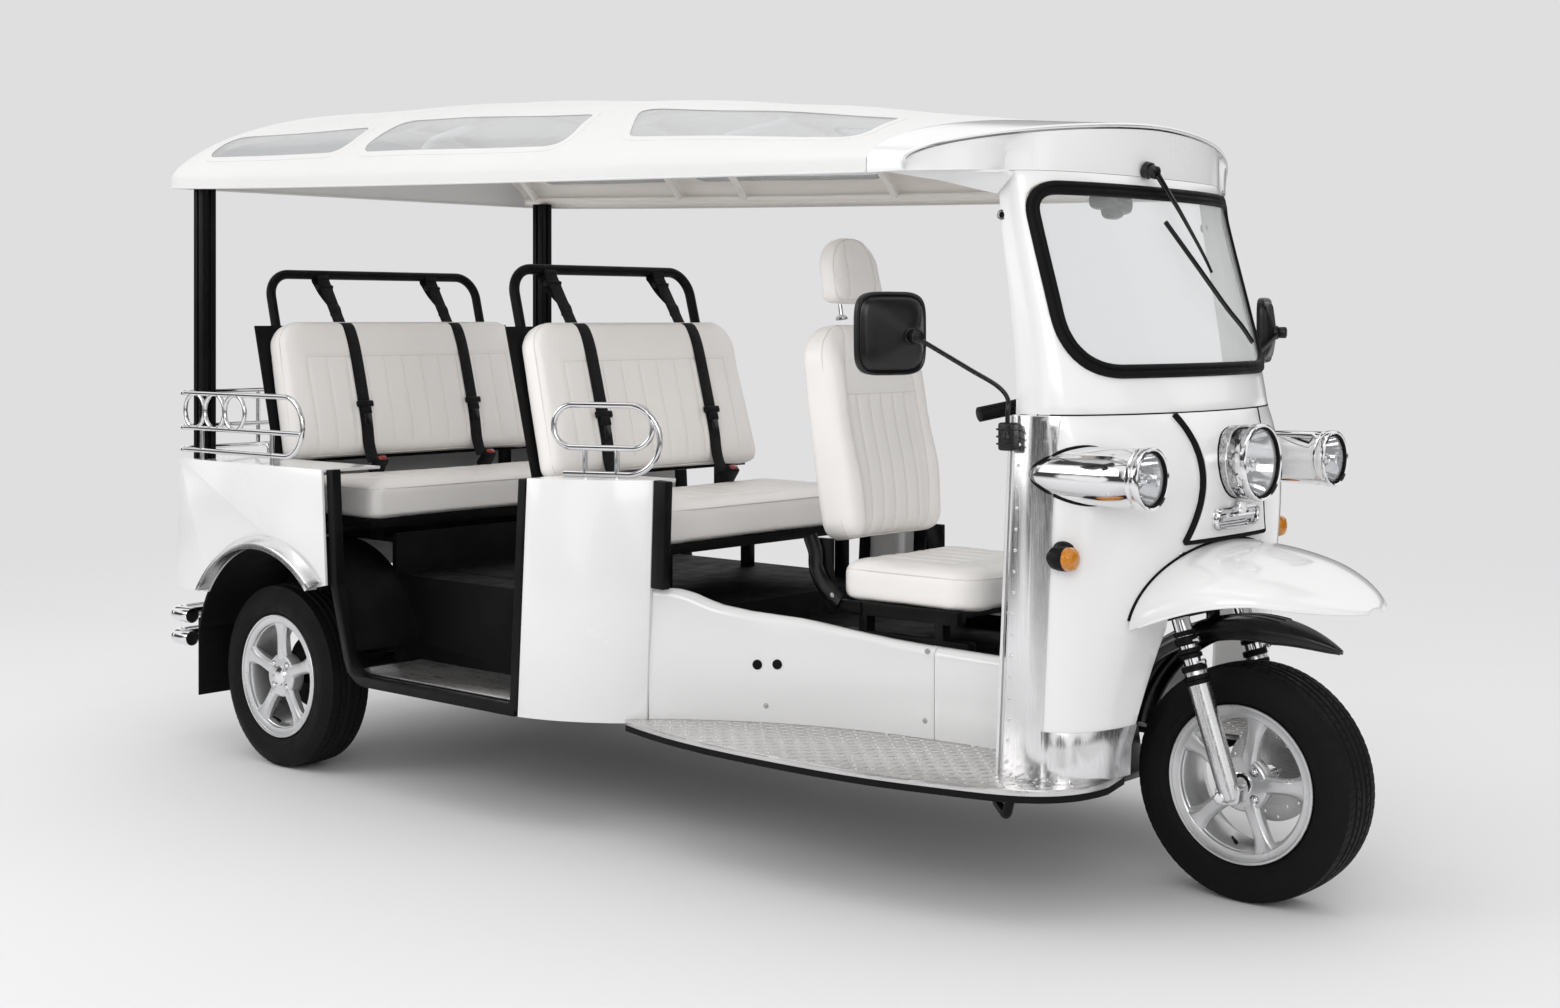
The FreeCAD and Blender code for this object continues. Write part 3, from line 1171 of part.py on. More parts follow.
def window_prisms(grow):
    """Plan outlines of the roof windows, three on each side."""
    spans = ((0.043, 0.284, d.window_rear_y), (0.309, 0.612, d.window_mid_y),
             (0.652, 0.965, d.window_front_y))
    shapes = []
    for first, last, high in spans:
        x0 = blend(canopy_rear_x, canopy_front_x, first)
        x1 = blend(canopy_rear_x, canopy_front_x, last)
        low0, low1 = (roof_station(x)[0] - d.window_edge for x in (x0, x1))
        corners = [(x0 - grow, -low0 - grow, 1600), (x1 + grow, -low1 - grow, 1600),
                   (x1 + grow, -high + grow, 1600), (x0 - grow, -high - 30 + grow, 1600)]
        prism = rounded_plate(corners, d.window_corner + grow, V(0, 0, 500))
        shapes += [prism, across(prism)]
    return Part.makeCompound(shapes)


def canopy():
    return roof_shell(0, d.canopy_wall, canopy_rear_x, canopy_front_x).cut(window_prisms(0))


def canopy_windows():
    return roof_shell(1, d.canopy_wall - 1, canopy_rear_x, canopy_front_x).common(window_prisms(-d.fit))


RAIL_STOPS = (0.012, 0.5, 1.0)


def rail_height(x):
    """Height of the middle of the rail along the hem: straight between its stops."""
    share = roof_share(x)
    first, last = RAIL_STOPS[:2] if share < RAIL_STOPS[1] else RAIL_STOPS[1:]
    hems = [roof_station(blend(canopy_rear_x, canopy_front_x, stop))[2] for stop in (first, last)]
    return blend(*hems, (share - first) / (last - first)) + 24


def roof_frame():
    """Bows across the roof and a rail along each hem, just under the fabric."""
    depth = d.canopy_wall + d.roof_tube / 2 + d.bow_gap
    shapes = []
    for share in (0.03, 0.296, 0.404, 0.632, 0.805, 0.985):
        x = blend(canopy_rear_x, canopy_front_x, share)
        half, crown, hem = roof_station(x)
        points = arch_section(x, half, crown, hem + d.valance, d.shoulder_power, depth, 3)
        points = [V(x, points[0].y, hem + 24)] + points[1:-1] + [V(x, points[-1].y, hem + 24)]
        shapes.append(tube([tuple(point) for point in points], d.roof_tube, 90))
    for sign in (-1, 1):
        route = []
        for share in RAIL_STOPS:
            x = blend(canopy_rear_x, canopy_front_x, share)
            half, _, hem = roof_station(x)
            route.append((x, sign * (half - depth), hem + 24))
        shapes.append(tube(route, d.roof_tube, 400))
    return joined(shapes)


def rear_pillars():
    x = rear_x - d.pillar_rear - d.pillar_size / 2
    y = d.pillar_y - d.pillar_size / 2
    top = rail_height(x + d.pillar_size) - d.roof_tube / 2 - d.fit
    post = block(x, x + d.pillar_size, y, y + d.pillar_size, d.deck_top + d.fit, top)
    post = post.makeFillet(5, [edge for edge in post.Edges if abs(edge.tangentAt(0).z) > 0.9])
    slot = d.pillar_size / 5
    for x0, y0 in ((x - 1, y + 2 * slot), (x + d.pillar_size - 7, y + 2 * slot)):
        post = post.cut(block(x0, x0 + 8, y0, y0 + slot, d.deck_top - 1, top + 1))
    for x0, y0 in ((x + 2 * slot, y - 1), (x + 2 * slot, y + d.pillar_size - 7)):
        post = post.cut(block(x0, x0 + slot, y0, y0 + 8, d.deck_top - 1, top + 1))
    return pair(post)


def visor_lip(y):
    """Front edge of the hard roof in plan, swept back to each side."""
    return front_x - d.visor_front - d.visor_sweep * (abs(y) / d.canopy_front_half) ** 2.2


def cap_section(x):
    """Crown and start of the arch of the hard roof at one place."""
    start, end = canopy_front_x + d.fit, front_x - d.visor_front
    share = (x - start) / (end - start)
    _, crown, hem = roof_station(canopy_front_x)
    return blend(crown, d.visor_height, share), hem + 4 + d.valance * (1 - share), hem


def cap_ring(x, inset, low):
    half = d.canopy_front_half
    crown, spring, hem = cap_section(x)
    points = arch_section(x, half, crown, spring, d.shoulder_power, inset)
    base = hem - low
    right, left = V(x, points[0].y, base), V(x, points[-1].y, base)
    return Part.makePolygon([right] + points + [left, right])


def cap_height(x, y, inset):
    """Height of the hard roof, or of its inner face, over one point of the plan."""
    crown, spring, _ = cap_section(x)
    share = min(abs(y) / (d.canopy_front_half - inset), 1)
    return spring + (crown - inset - spring) * (1 - share ** d.shoulder_power) ** (1 / d.shoulder_power)


def roof_visor():
    """Hard front roof: a cap that carries on the canopy's form and ends in a swept lip."""
    x0, x1 = canopy_front_x + d.fit, front_x - d.visor_front
    places = [blend(x0, x1, share) for share in (0, 0.35, 0.7, 1)]
    outer = Part.makeLoft([cap_ring(x, 0, 0) for x in places], True, True)
    inner = [x0 - 20] + places[1:-1] + [x1 + 20]
    room = Part.makeLoft([cap_ring(x, d.visor_wall, 20) for x in inner], True, True)
    cap = outer.cut(room)
    edge = []
    for i in range(13):
        y = d.canopy_front_half * 1.02 * (i / 6 - 1)
        edge.append(V(visor_lip(y), y, 1500))
    back = [V(x0 - 50, edge[-1].y, 1500), V(x0 - 50, edge[0].y, 1500)]
    plan = Part.Wire([smooth(edge)] + Part.makePolygon([edge[-1]] + back + [edge[0]]).Edges)
    return cap.common(Part.Face(plan).extrude(V(0, 0, 500)))


def screen_brow():
    """The brow: a hollow cove from the top of the screen cowl up and out to the lip of the hard roof."""
    rings = []
    top = screen_stations()[-1]
    wall = d.visor_wall
    half = d.canopy_front_half - wall - 3
    for i in range(17):
        y = half * math.sin(math.pi / 2 * (i / 8 - 1))
        lip_x = visor_lip(y) - 3
        lip_z = cap_height(lip_x, y, wall) - 4
        share = min(abs(y) / top[3], 1)
        outside = max(abs(y) - top[3], 0) / (half - top[3])
        low_x = blend(top[1] + top[2] * (1 - share ** top[4]) ** (1 / top[4]), lip_x - 20, outside)
        low_z = blend(d.screen_top + 1, d.hem_front + 2, outside)
        front, back = [], []
        for step in range(5):
            angle = math.pi / 8 * step
            x = low_x + (lip_x - low_x) * (1 - math.cos(angle))
            z = low_z + (lip_z - low_z) * math.sin(angle)
            front.append(V(x, y, z))
            back.append(V(x - wall * math.cos(angle / 2), y, min(z + wall * 0.5 * math.sin(angle), lip_z)))
        rings.append(Part.makePolygon(front + list(reversed(back)) + front[:1]))
    return Part.makeLoft(rings, True, True)


piece("canopy", canopy())
piece("canopy_windows", canopy_windows())
piece("roof_frame", roof_frame())
piece("rear_pillars", rear_pillars())
piece("roof_visor", roof_visor())
piece("screen_brow", screen_brow())


# Lamps: chrome shells turned about their own axes, with clear lenses

def lamp_shell(front, radius, depth, tail_radius):
    """A bullet lamp: bead round the lens, straight barrel, rounded tail; open in front."""
    wall, bead = d.lamp_wall, d.rim_bead
    waist = (radius + tail_radius) * 0.42
    outline = [(0, radius - bead), (0, radius), (-14, radius), (-15, radius - 3),
               (-depth * 0.45, radius - 4), (-depth * 0.72, radius * 0.86), (-depth * 0.93, waist),
               (-depth, tail_radius * 0.6), (-depth, 0),
               (-depth + wall, 0), (-depth * 0.9, waist - wall - 3), (-depth * 0.7, radius * 0.86 - wall - 2),
               (-depth * 0.42, radius - 4 - wall), (-8, radius - 4 - wall), (-8, radius - bead)]
    return turned(outline, V(*front), X_AXIS, Z_AXIS)


def lamp_lens(front, radius):
    inner = radius - d.lamp_wall - 4 - d.fit
    edge = inner * 0.93
    back = -d.lens_inset
    outline = [(-3, 0), (-4, inner * 0.5), (back, edge), (back - 2, edge), (back - 2, inner),
               (back - 5, inner), (back - 4, inner * 0.5), (back - 3, 0)]
    return turned(outline, V(*front), X_AXIS, Z_AXIS)


bar_height = d.nose_chin_height + d.bar_lift + d.bar_trim_width / 2
headlamp_height = bar_height + d.bar_trim_width / 2 + d.lamp_gap + d.headlamp_radius
headlamp_front = (front_x + d.headlamp_front, 0, headlamp_height)
pod_front = (front_x - d.pod_front, -d.pod_y, d.pod_height)
filled_cowl = half_fill(cowl_stations(), d.strip_rise + d.fit)
filled_nose = half_fill(cowl_stations(), d.nose_step + d.fit)
filled_nose = joined([filled_nose, across(filled_nose)])


def front_lamps():
    head = lamp_shell(headlamp_front, d.headlamp_radius, d.headlamp_depth, 30)
    tail_x = headlamp_front[0] - d.headlamp_depth
    head = joined([head, rod((tail_x - 60, 0, headlamp_height), (tail_x + 2, 0, headlamp_height), 44)])
    head = head.cut(filled_nose)
    head = max(head.Solids, key=lambda solid: solid.Volume)
    pod = lamp_shell(pod_front, d.pod_radius, d.pod_length, 24).cut(filled_cowl)
    pod = max(pod.Solids, key=lambda solid: solid.Volume)
    return Part.makeCompound([head, pod, across(pod)])


def lamp_lenses():
    pod = lamp_lens(pod_front, d.pod_radius)
    return Part.makeCompound([lamp_lens(headlamp_front, d.headlamp_radius), pod, across(pod)])


def turn_signals():
    centre = V(front_x - d.signal_front, -d.signal_y - 18, d.signal_height)
    radius, depth = d.signal_radius, d.signal_depth
    outline = [(0, 0), (0, radius * 0.6), (-4, radius), (-depth * 0.55, radius), (-depth, radius * 0.7),
               (-depth, 0)]
    lamp = turned(outline, centre, X_AXIS, Z_AXIS)
    stalk = rod((centre.x - 28, centre.y, centre.z), (centre.x - 28, -d.cowl_half + 40, centre.z), 18)
    lamp = joined([lamp, stalk]).cut(half_fill(cowl_stations(), d.fit))
    return pair(max(lamp.Solids, key=lambda solid: solid.Volume))


def nose_bar():
    """The long chrome bar with round ends under the headlamp."""
    half = (d.bar_trim_length - d.bar_trim_width) / 2
    radius = d.bar_trim_width / 2
    z = bar_height
    x = front_x - d.cowl_side_low
    rings = [(-half, z), (half, z)]
    solid = block(x, front_x + 20, -half, half, z - radius, z + radius)
    solid = joined([solid] + [rod((x, y, zz), (front_x + 20, y, zz), 2 * radius) for y, zz in rings])
    return cowl_wall(-d.nose_step - d.fit, d.nose_step + 16, cowl_stations(), solid)


piece("front_lamps", front_lamps())
piece("lamp_lenses", lamp_lenses())
piece("turn_signals", turn_signals())
piece("nose_bar", nose_bar())


# Mirrors on bent arms, clamped to the cowl's upper corners

def mirrors():
    foot = V(cowl_rear_x + 30, -d.cowl_half - d.mirror_clamp / 2 - d.strip_rise - d.fit, d.mirror_foot_height)
    bend = V(foot.x + 10, foot.y - 8, d.mirror_bend_height)
    head = V(front_x - d.mirror_x, -d.mirror_y, d.mirror_height)
    joint = head + V(d.mirror_thickness * 0.5 + 14, 36, -8)
    arm = tube([foot, bend, joint], d.mirror_tube, 30)
    clamp = Part.makeCylinder(d.mirror_clamp / 2, 60, foot - V(0, 0, 34))
    knob = rod(tuple(joint + V(12, 0, 0)), tuple(joint - V(30, 0, 0)), 34)
    w, t, h = d.mirror_width / 2, d.mirror_thickness, d.mirror_tall / 2
    rings = []
    for x, scale in ((-t / 2, 0.97), (-t / 2 + 8, 1.0), (t * 0.05, 0.96), (t * 0.4, 0.62), (t * 0.5, 0.34)):
        corners = [V(x, sy * w * scale, sz * h * scale) for sy, sz in ((-1, -1), (1, -1), (1, 1), (-1, 1))]
        rings.append(rounded_ring(corners, 34 * scale))
    shell = Part.makeLoft(rings, True, True)
    shell.rotate(V(0, 0, 0), Z_AXIS, -6)
    shell.translate(head)
    return pair(joined([shell, arm, clamp, knob]))


def rounded_ring(points, radius):
    """A closed wire through corners that are all rounded alike."""
    solid = rounded_plate([tuple(point) for point in points], radius, X_AXIS)
    x = points[0].x
    flat = [face for face in solid.Faces if face.BoundBox.XLength < 0.01]
    return min(flat, key=lambda face: abs(face.BoundBox.XMin - x)).OuterWire


piece("mirrors", mirrors())


# Chrome rails: one round the rear deck with rings at its sides, one on each panel between the doors

def oval(x0, x1, y, z0, z1, diameter):
    """A loop with half-round ends, in a plane along the vehicle."""
    radius = (z1 - z0) / 2
    middle = (z0 + z1) / 2
    low0, low1 = V(x0 + radius, y, z0), V(x1 - radius, y, z0)
    high0, high1 = V(x0 + radius, y, z1), V(x1 - radius, y, z1)
    path = Part.Wire([Part.LineSegment(low0, low1).toShape(),
                      Part.Arc(low1, V(x1, y, middle), high1).toShape(),
                      Part.LineSegment(high1, high0).toShape(),
                      Part.Arc(high0, V(x0, y, middle), low0).toShape()])
    ring = Part.Wire(Part.makeCircle(diameter / 2, low0, X_AXIS))
    return path.makePipeShell([ring], True, False)


def tail_rail():
    """Three bars round the back of the deck, whose outer pair meets in a half circle at each front end."""
    front = rear_x + d.tail_rail_front
    rear = rear_x - d.tail_rail_rear
    y = d.pillar_y + d.pillar_size / 2 + d.chrome_tube / 2 + d.fit
    radius = (d.rail_high - d.rail_low) / 2
    shapes = []
    for z in (d.rail_high, d.rail_mid, d.rail_low):
        nose = front - radius if z != d.rail_mid else front - 8
        points = [(nose, -y, z), (rear, -y, z), (rear, 0, z)]
        points += [(px, -py, pz) for px, py, pz in reversed(points[:2])]
        shapes.append(tube(points, d.chrome_tube, 60))
    for sign in (-1, 1):
        ends = [V(front - radius, sign * y, z) for z in (d.rail_high, d.rail_low)]
        tip = V(front, sign * y, (d.rail_high + d.rail_low) / 2)
        bow = Part.Wire([Part.Arc(ends[0], tip, ends[1]).toShape()])
        ring = Part.Wire(Part.makeCircle(d.chrome_tube / 2, ends[0], X_AXIS))
        shapes.append(bow.makePipeShell([ring], True, False))
        start = rear + 110
        span = (d.rail_high - d.rail_mid) / 2 - 1
        for i in range(3):
            centre = V(start + i * (2 * span + d.chrome_tube * 0.2), sign * y, (d.rail_high + d.rail_mid) / 2)
            shapes.append(Part.makeTorus(span, d.chrome_tube / 2 - 1, centre, Y_AXIS))
        for x in (rear + 150, front - 150):
            foot = (x, sign * y, d.deck_top + d.fit)
            shapes.append(rod(foot, (x, sign * y, d.rail_mid), d.chrome_tube - 2))
    for y in (-420, 0, 420):
        shapes.append(rod((rear, y, d.rail_low), (rear, y, d.rail_high), d.chrome_tube - 2))
        foot = (rear + 60, y, d.deck_top + d.fit)
        shapes.append(tube([(rear, y, d.rail_low), (rear + 60, y, d.rail_low), foot], d.chrome_tube - 2, 12))
    return joined(shapes)


def side_rail():
    start = panel_rear_x + 20
    y = -d.panel_rear_y + 95
    low = d.panel_top + d.fit + d.chrome_tube / 2
    middle = d.panel_top + 75
    high = d.panel_top + 185
    end = start + d.side_rail_length
    shapes = [oval(start, end - 20, y, middle, high, d.chrome_tube)]
    radius = (high - low) / 2
    turn_low, tip, turn_high = V(end - radius, y, low), V(end, y, (low + high) / 2), V(end - radius, y, high)
    bow = Part.Wire([Part.LineSegment(V(start + 30, y, low), turn_low).toShape(),
                     Part.Arc(turn_low, tip, turn_high).toShape()])
    ring = Part.Wire(Part.makeCircle(d.chrome_tube / 2, V(start + 30, y, low), X_AXIS))
    shapes.append(bow.makePipeShell([ring], True, False))
    for x in (start + 90, start + 180):
        shapes.append(rod((x, y, low - d.chrome_tube / 2), (x, y, middle), d.chrome_tube - 2))
    rail = joined(shapes)
    run = V(d.panel_length, d.panel_rear_y - d.panel_front_y, 0)
    turn = math.degrees(math.atan2(run.y, run.x))
    rail.rotate(V(start, y, 0), Z_AXIS, turn * 0.75)
    return rail


piece("tail_rail", tail_rail())
piece("side_rails", pair(side_rail()))


# Benches: frames with hoops, cushions, backs, belts

BENCHES = (
    ("rear", rear_x - d.rear_bench_rear, rear_x + d.rear_bench_front, d.rear_bench_half, d.rear_hoop_half),
    ("mid", rear_x + d.mid_bench_rear, rear_x + d.mid_bench_front, d.mid_bench_half, d.mid_hoop_half),
)
back_tilt = math.tan(math.radians(d.back_lean))


def pad(length, width, height, radius):
    """A block with every edge rounded, centred across and standing on its own base."""
    solid = Part.makeBox(length, width, height, V(0, -width / 2, 0))
    return solid.makeFillet(radius, solid.Edges)


def bench_frames():
    """Black trays, legs and back shells, and the hoop tube behind each back."""
    shapes = []
    for name, rear, front, half, hoop_half in BENCHES:
        low = d.cushion_bottom - d.fit
        base = d.floor_top + (100 if name == "rear" else 0)
        seat_rear = rear + 12
        tray = [block(seat_rear, front - 30, -half + 20, half - 20, low - 26, low)]
        for x in (front - 90, seat_rear + 40):
            for sign in (-1, 1):
                y0, y1 = sorted((sign * (half - 60), sign * (half - 60 - d.bench_leg)))
                tray.append(block(x, x + d.bench_leg, y0, y1, base, low - 10))
        shell = Part.makeBox(d.shell_wall, 2 * half - 16, d.back_height - 30,
                             V(-d.shell_wall - d.fit, -half + 8, 15))
        shell.rotate(V(0, 0, 0), Y_AXIS, -d.back_lean)
        shell.translate(V(rear, 0, d.back_base))
        bracket = []
        for sign in (-1, 1):
            y0, y1 = sign * (half - 90) - 20, sign * (half - 90) + 20
            bracket.append(block(rear - 40, seat_rear + 10, y0, y1, low - 26, low))
            bracket.append(block(rear - 40, rear - 18, y0, y1, low - 26, d.back_base + 60))
        foot_x, top_x = hoop_x(rear, d.back_base), hoop_x(rear, d.hoop_top)
        points = [(foot_x, -hoop_half, low - 20), (foot_x, -hoop_half, d.back_base),
                  (top_x, -hoop_half, d.hoop_top)]
        points += [(px, -py, pz) for px, py, pz in reversed(points)]
        hoop = tube(points, d.hoop_tube, d.hoop_bend)
        shapes.append(joined(tray + bracket + [hoop, shell]))
    return Part.makeCompound(shapes)


def bench_cushion(rear, front, half):
    cushion = pad(front - rear - 8, 2 * half, d.cushion_top - d.cushion_bottom, d.cushion_round)
    cushion.translate(V(rear + 8 + d.back_thickness * 0.55, 0, d.cushion_bottom))
    return cushion


def bench_back(rear, half):
    back = pad(d.back_thickness, 2 * half - 10, d.back_height, d.cushion_round)
    back.rotate(V(0, 0, 0), Y_AXIS, -d.back_lean)
    back.translate(V(rear, 0, d.back_base))
    return back


def on_back(rear, along, up):
    """Place of a point given by its distance from the rear face and its height up a leaning back."""
    lean = math.radians(d.back_lean)
    return (rear + along * math.cos(lean) - up * math.sin(lean),
            d.back_base + along * math.sin(lean) + up * math.cos(lean))


def hoop_x(rear, height):
    return rear - 24 - (height - d.back_base) * back_tilt


def seat_belts():
    """Flat webbing from the hoop over the front of each back, down towards the cushion."""
    shapes = []
    for name, rear, front, half, hoop_half in BENCHES:
        face = d.back_thickness + d.belt_thickness / 2 + d.fit
        low_x, low_z = on_back(rear, face, 24)
        high_x, high_z = on_back(rear, face, d.back_height - 14)
        top_z = d.hoop_top - d.hoop_tube / 2 - 4
        for sign in (-1, 1):
            y = sign * min(hoop_half - 100, d.belt_spacing / 2)
            route = [(low_x, y, low_z), (high_x, y, high_z), (hoop_x(rear, top_z), y, top_z)]
            shapes.append(flat_bar(route, 40, d.belt_width, d.belt_thickness))
    return Part.makeCompound(shapes)


piece("bench_frames", bench_frames())
for name, rear, front, half, hoop_half in BENCHES:
    piece(f"{name}_bench_cushion", bench_cushion(rear, front - d.back_thickness * 0.55, half))
    piece(f"{name}_bench_back", bench_back(rear, half))
piece("seat_belts", seat_belts())


# Driver's seat

seat_rear_x = front_x - d.seat_rear
seat_front_x = front_x - d.seat_front


def driver_seat_frame():
    half = d.seat_half
    base = d.driver_floor_top
    shapes = []
    for sign in (-1, 1):
        y0, y1 = sorted((sign * (half - 12), sign * (half - 46)))
        shapes.append(block(seat_rear_x + 70, seat_front_x - 30, y0, y1, base, base + 34))
        shapes.append(block(seat_rear_x + 90, seat_front_x - 60, y0, y1,
                            d.seat_bottom - 34, d.seat_bottom - d.fit))
        for x in (seat_rear_x + 120, seat_front_x - 130):
            shapes.append(block(x, x + 26, y0, y1, base, d.seat_bottom - 20))
        beside = d.seat_back_width / 2 + d.fit
        y0, y1 = sorted((sign * beside, sign * (beside + 14)))
        x, low = seat_rear_x, d.seat_bottom - d.fit
        outline = [(x - 10, y0, low + 150), (x + 36, y0, low + 150), (x + 36, y0, low), (x + 130, y0, low),
                   (x + 130, y0, low - 30), (x + 10, y0, low - 30), (x - 10, y0, low + 40)]
        shapes.append(plate(outline, V(0, y1 - y0, 0)))
    for x in (seat_rear_x + 120, seat_front_x - 130):
        shapes.append(block(x, x + 26, -half + 20, half - 20, d.seat_bottom - 30, d.seat_bottom - 6))
    return joined(shapes)


def driver_cushion():
    length, height = seat_front_x - seat_rear_x - 40, d.seat_top - d.seat_bottom
    cushion = pad(length, 2 * d.seat_half, height, d.cushion_round)
    cushion.translate(V(seat_rear_x + 40, 0, d.seat_bottom))
    return cushion


def seat_back_frame(shape):
    shape.rotate(V(0, 0, 0), Y_AXIS, -d.seat_lean)
    shape.translate(V(seat_rear_x - d.seat_back_thickness * 0.35, 0, d.seat_top + 14))
    return shape


def driver_backrest():
    return seat_back_frame(pad(d.seat_back_thickness, d.seat_back_width, d.seat_back_height, d.cushion_round))


def driver_headrest():
    rest = pad(d.headrest_thickness, d.headrest_width, d.headrest_tall, d.cushion_round)
    rest.translate(V((d.seat_back_thickness - d.headrest_thickness) / 2, 0,
                     d.seat_back_height + d.headrest_gap))
    return seat_back_frame(rest)


def headrest_posts():
    x = d.seat_back_thickness / 2
    shapes = []
    for sign in (-1, 1):
        y = sign * d.headrest_width * 0.3
        post = rod((x, y, d.seat_back_height + d.fit), (x, y, d.seat_back_height + d.headrest_gap - d.fit),
                   d.post_diameter)
        shapes.append(post)
    return seat_back_frame(Part.makeCompound(shapes))


piece("driver_seat_frame", driver_seat_frame())
piece("driver_cushion", driver_cushion())
piece("driver_backrest", driver_backrest())
piece("driver_headrest", driver_headrest())
piece("headrest_posts", headrest_posts())


# Every object must have been worked out before anything is written
doc.recompute()
faults = [obj.Name for obj in doc.Objects if "Invalid" in obj.State or "Error" in obj.State]
faults += [obj.Label for obj in SUBPARTS if obj.Shape.isNull() or not obj.Shape.isValid()]
if faults:
    sys.exit("not well formed: " + ", ".join(faults))
os.makedirs("parts", exist_ok=True)
for obj in SUBPARTS:
    obj.Shape.exportStep(os.path.join("parts", obj.Label + ".step"))
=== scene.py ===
import json
import math
from contextlib import contextmanager

import bmesh
import bpy
import numpy as np
from mathutils import Matrix, Vector
from mathutils.bvhtree import BVHTree

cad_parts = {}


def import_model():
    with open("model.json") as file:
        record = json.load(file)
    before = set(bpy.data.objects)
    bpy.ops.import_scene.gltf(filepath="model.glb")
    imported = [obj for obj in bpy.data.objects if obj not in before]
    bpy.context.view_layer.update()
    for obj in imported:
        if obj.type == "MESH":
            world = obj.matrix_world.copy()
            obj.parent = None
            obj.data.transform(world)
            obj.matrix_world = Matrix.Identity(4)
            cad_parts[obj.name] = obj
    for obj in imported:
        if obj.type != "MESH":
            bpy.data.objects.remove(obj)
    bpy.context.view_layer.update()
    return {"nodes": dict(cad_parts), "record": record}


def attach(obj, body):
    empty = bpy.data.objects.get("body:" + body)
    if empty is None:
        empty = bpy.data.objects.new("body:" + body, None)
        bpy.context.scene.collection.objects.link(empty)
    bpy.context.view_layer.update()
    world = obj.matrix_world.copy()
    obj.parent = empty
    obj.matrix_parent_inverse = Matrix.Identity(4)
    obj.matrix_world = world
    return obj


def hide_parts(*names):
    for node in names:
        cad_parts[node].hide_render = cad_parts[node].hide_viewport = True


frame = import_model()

# Driving sizes in metres, as in the part's source

FRONT_AXLE_X = 1.543
REAR_AXLE_X = -1.243
REAR_WHEEL_Y = 0.62
TYRE_RADIUS = 0.266
TYRE_WIDTH = 0.155
BEAD_RADIUS = 0.165
RIM_RADIUS = 0.178
RIM_WIDTH = 0.140
BOARD_TOP = 0.302

BODIES = frame["record"]["behaviour"]["bodies"]
BODY_OF = {node: body for body, nodes in BODIES.items() for node in nodes}
SLOT_OF = {part["node"]: part["material_slot"] for part in frame["record"]["subparts"]}


# Materials: each function returns a procedural material

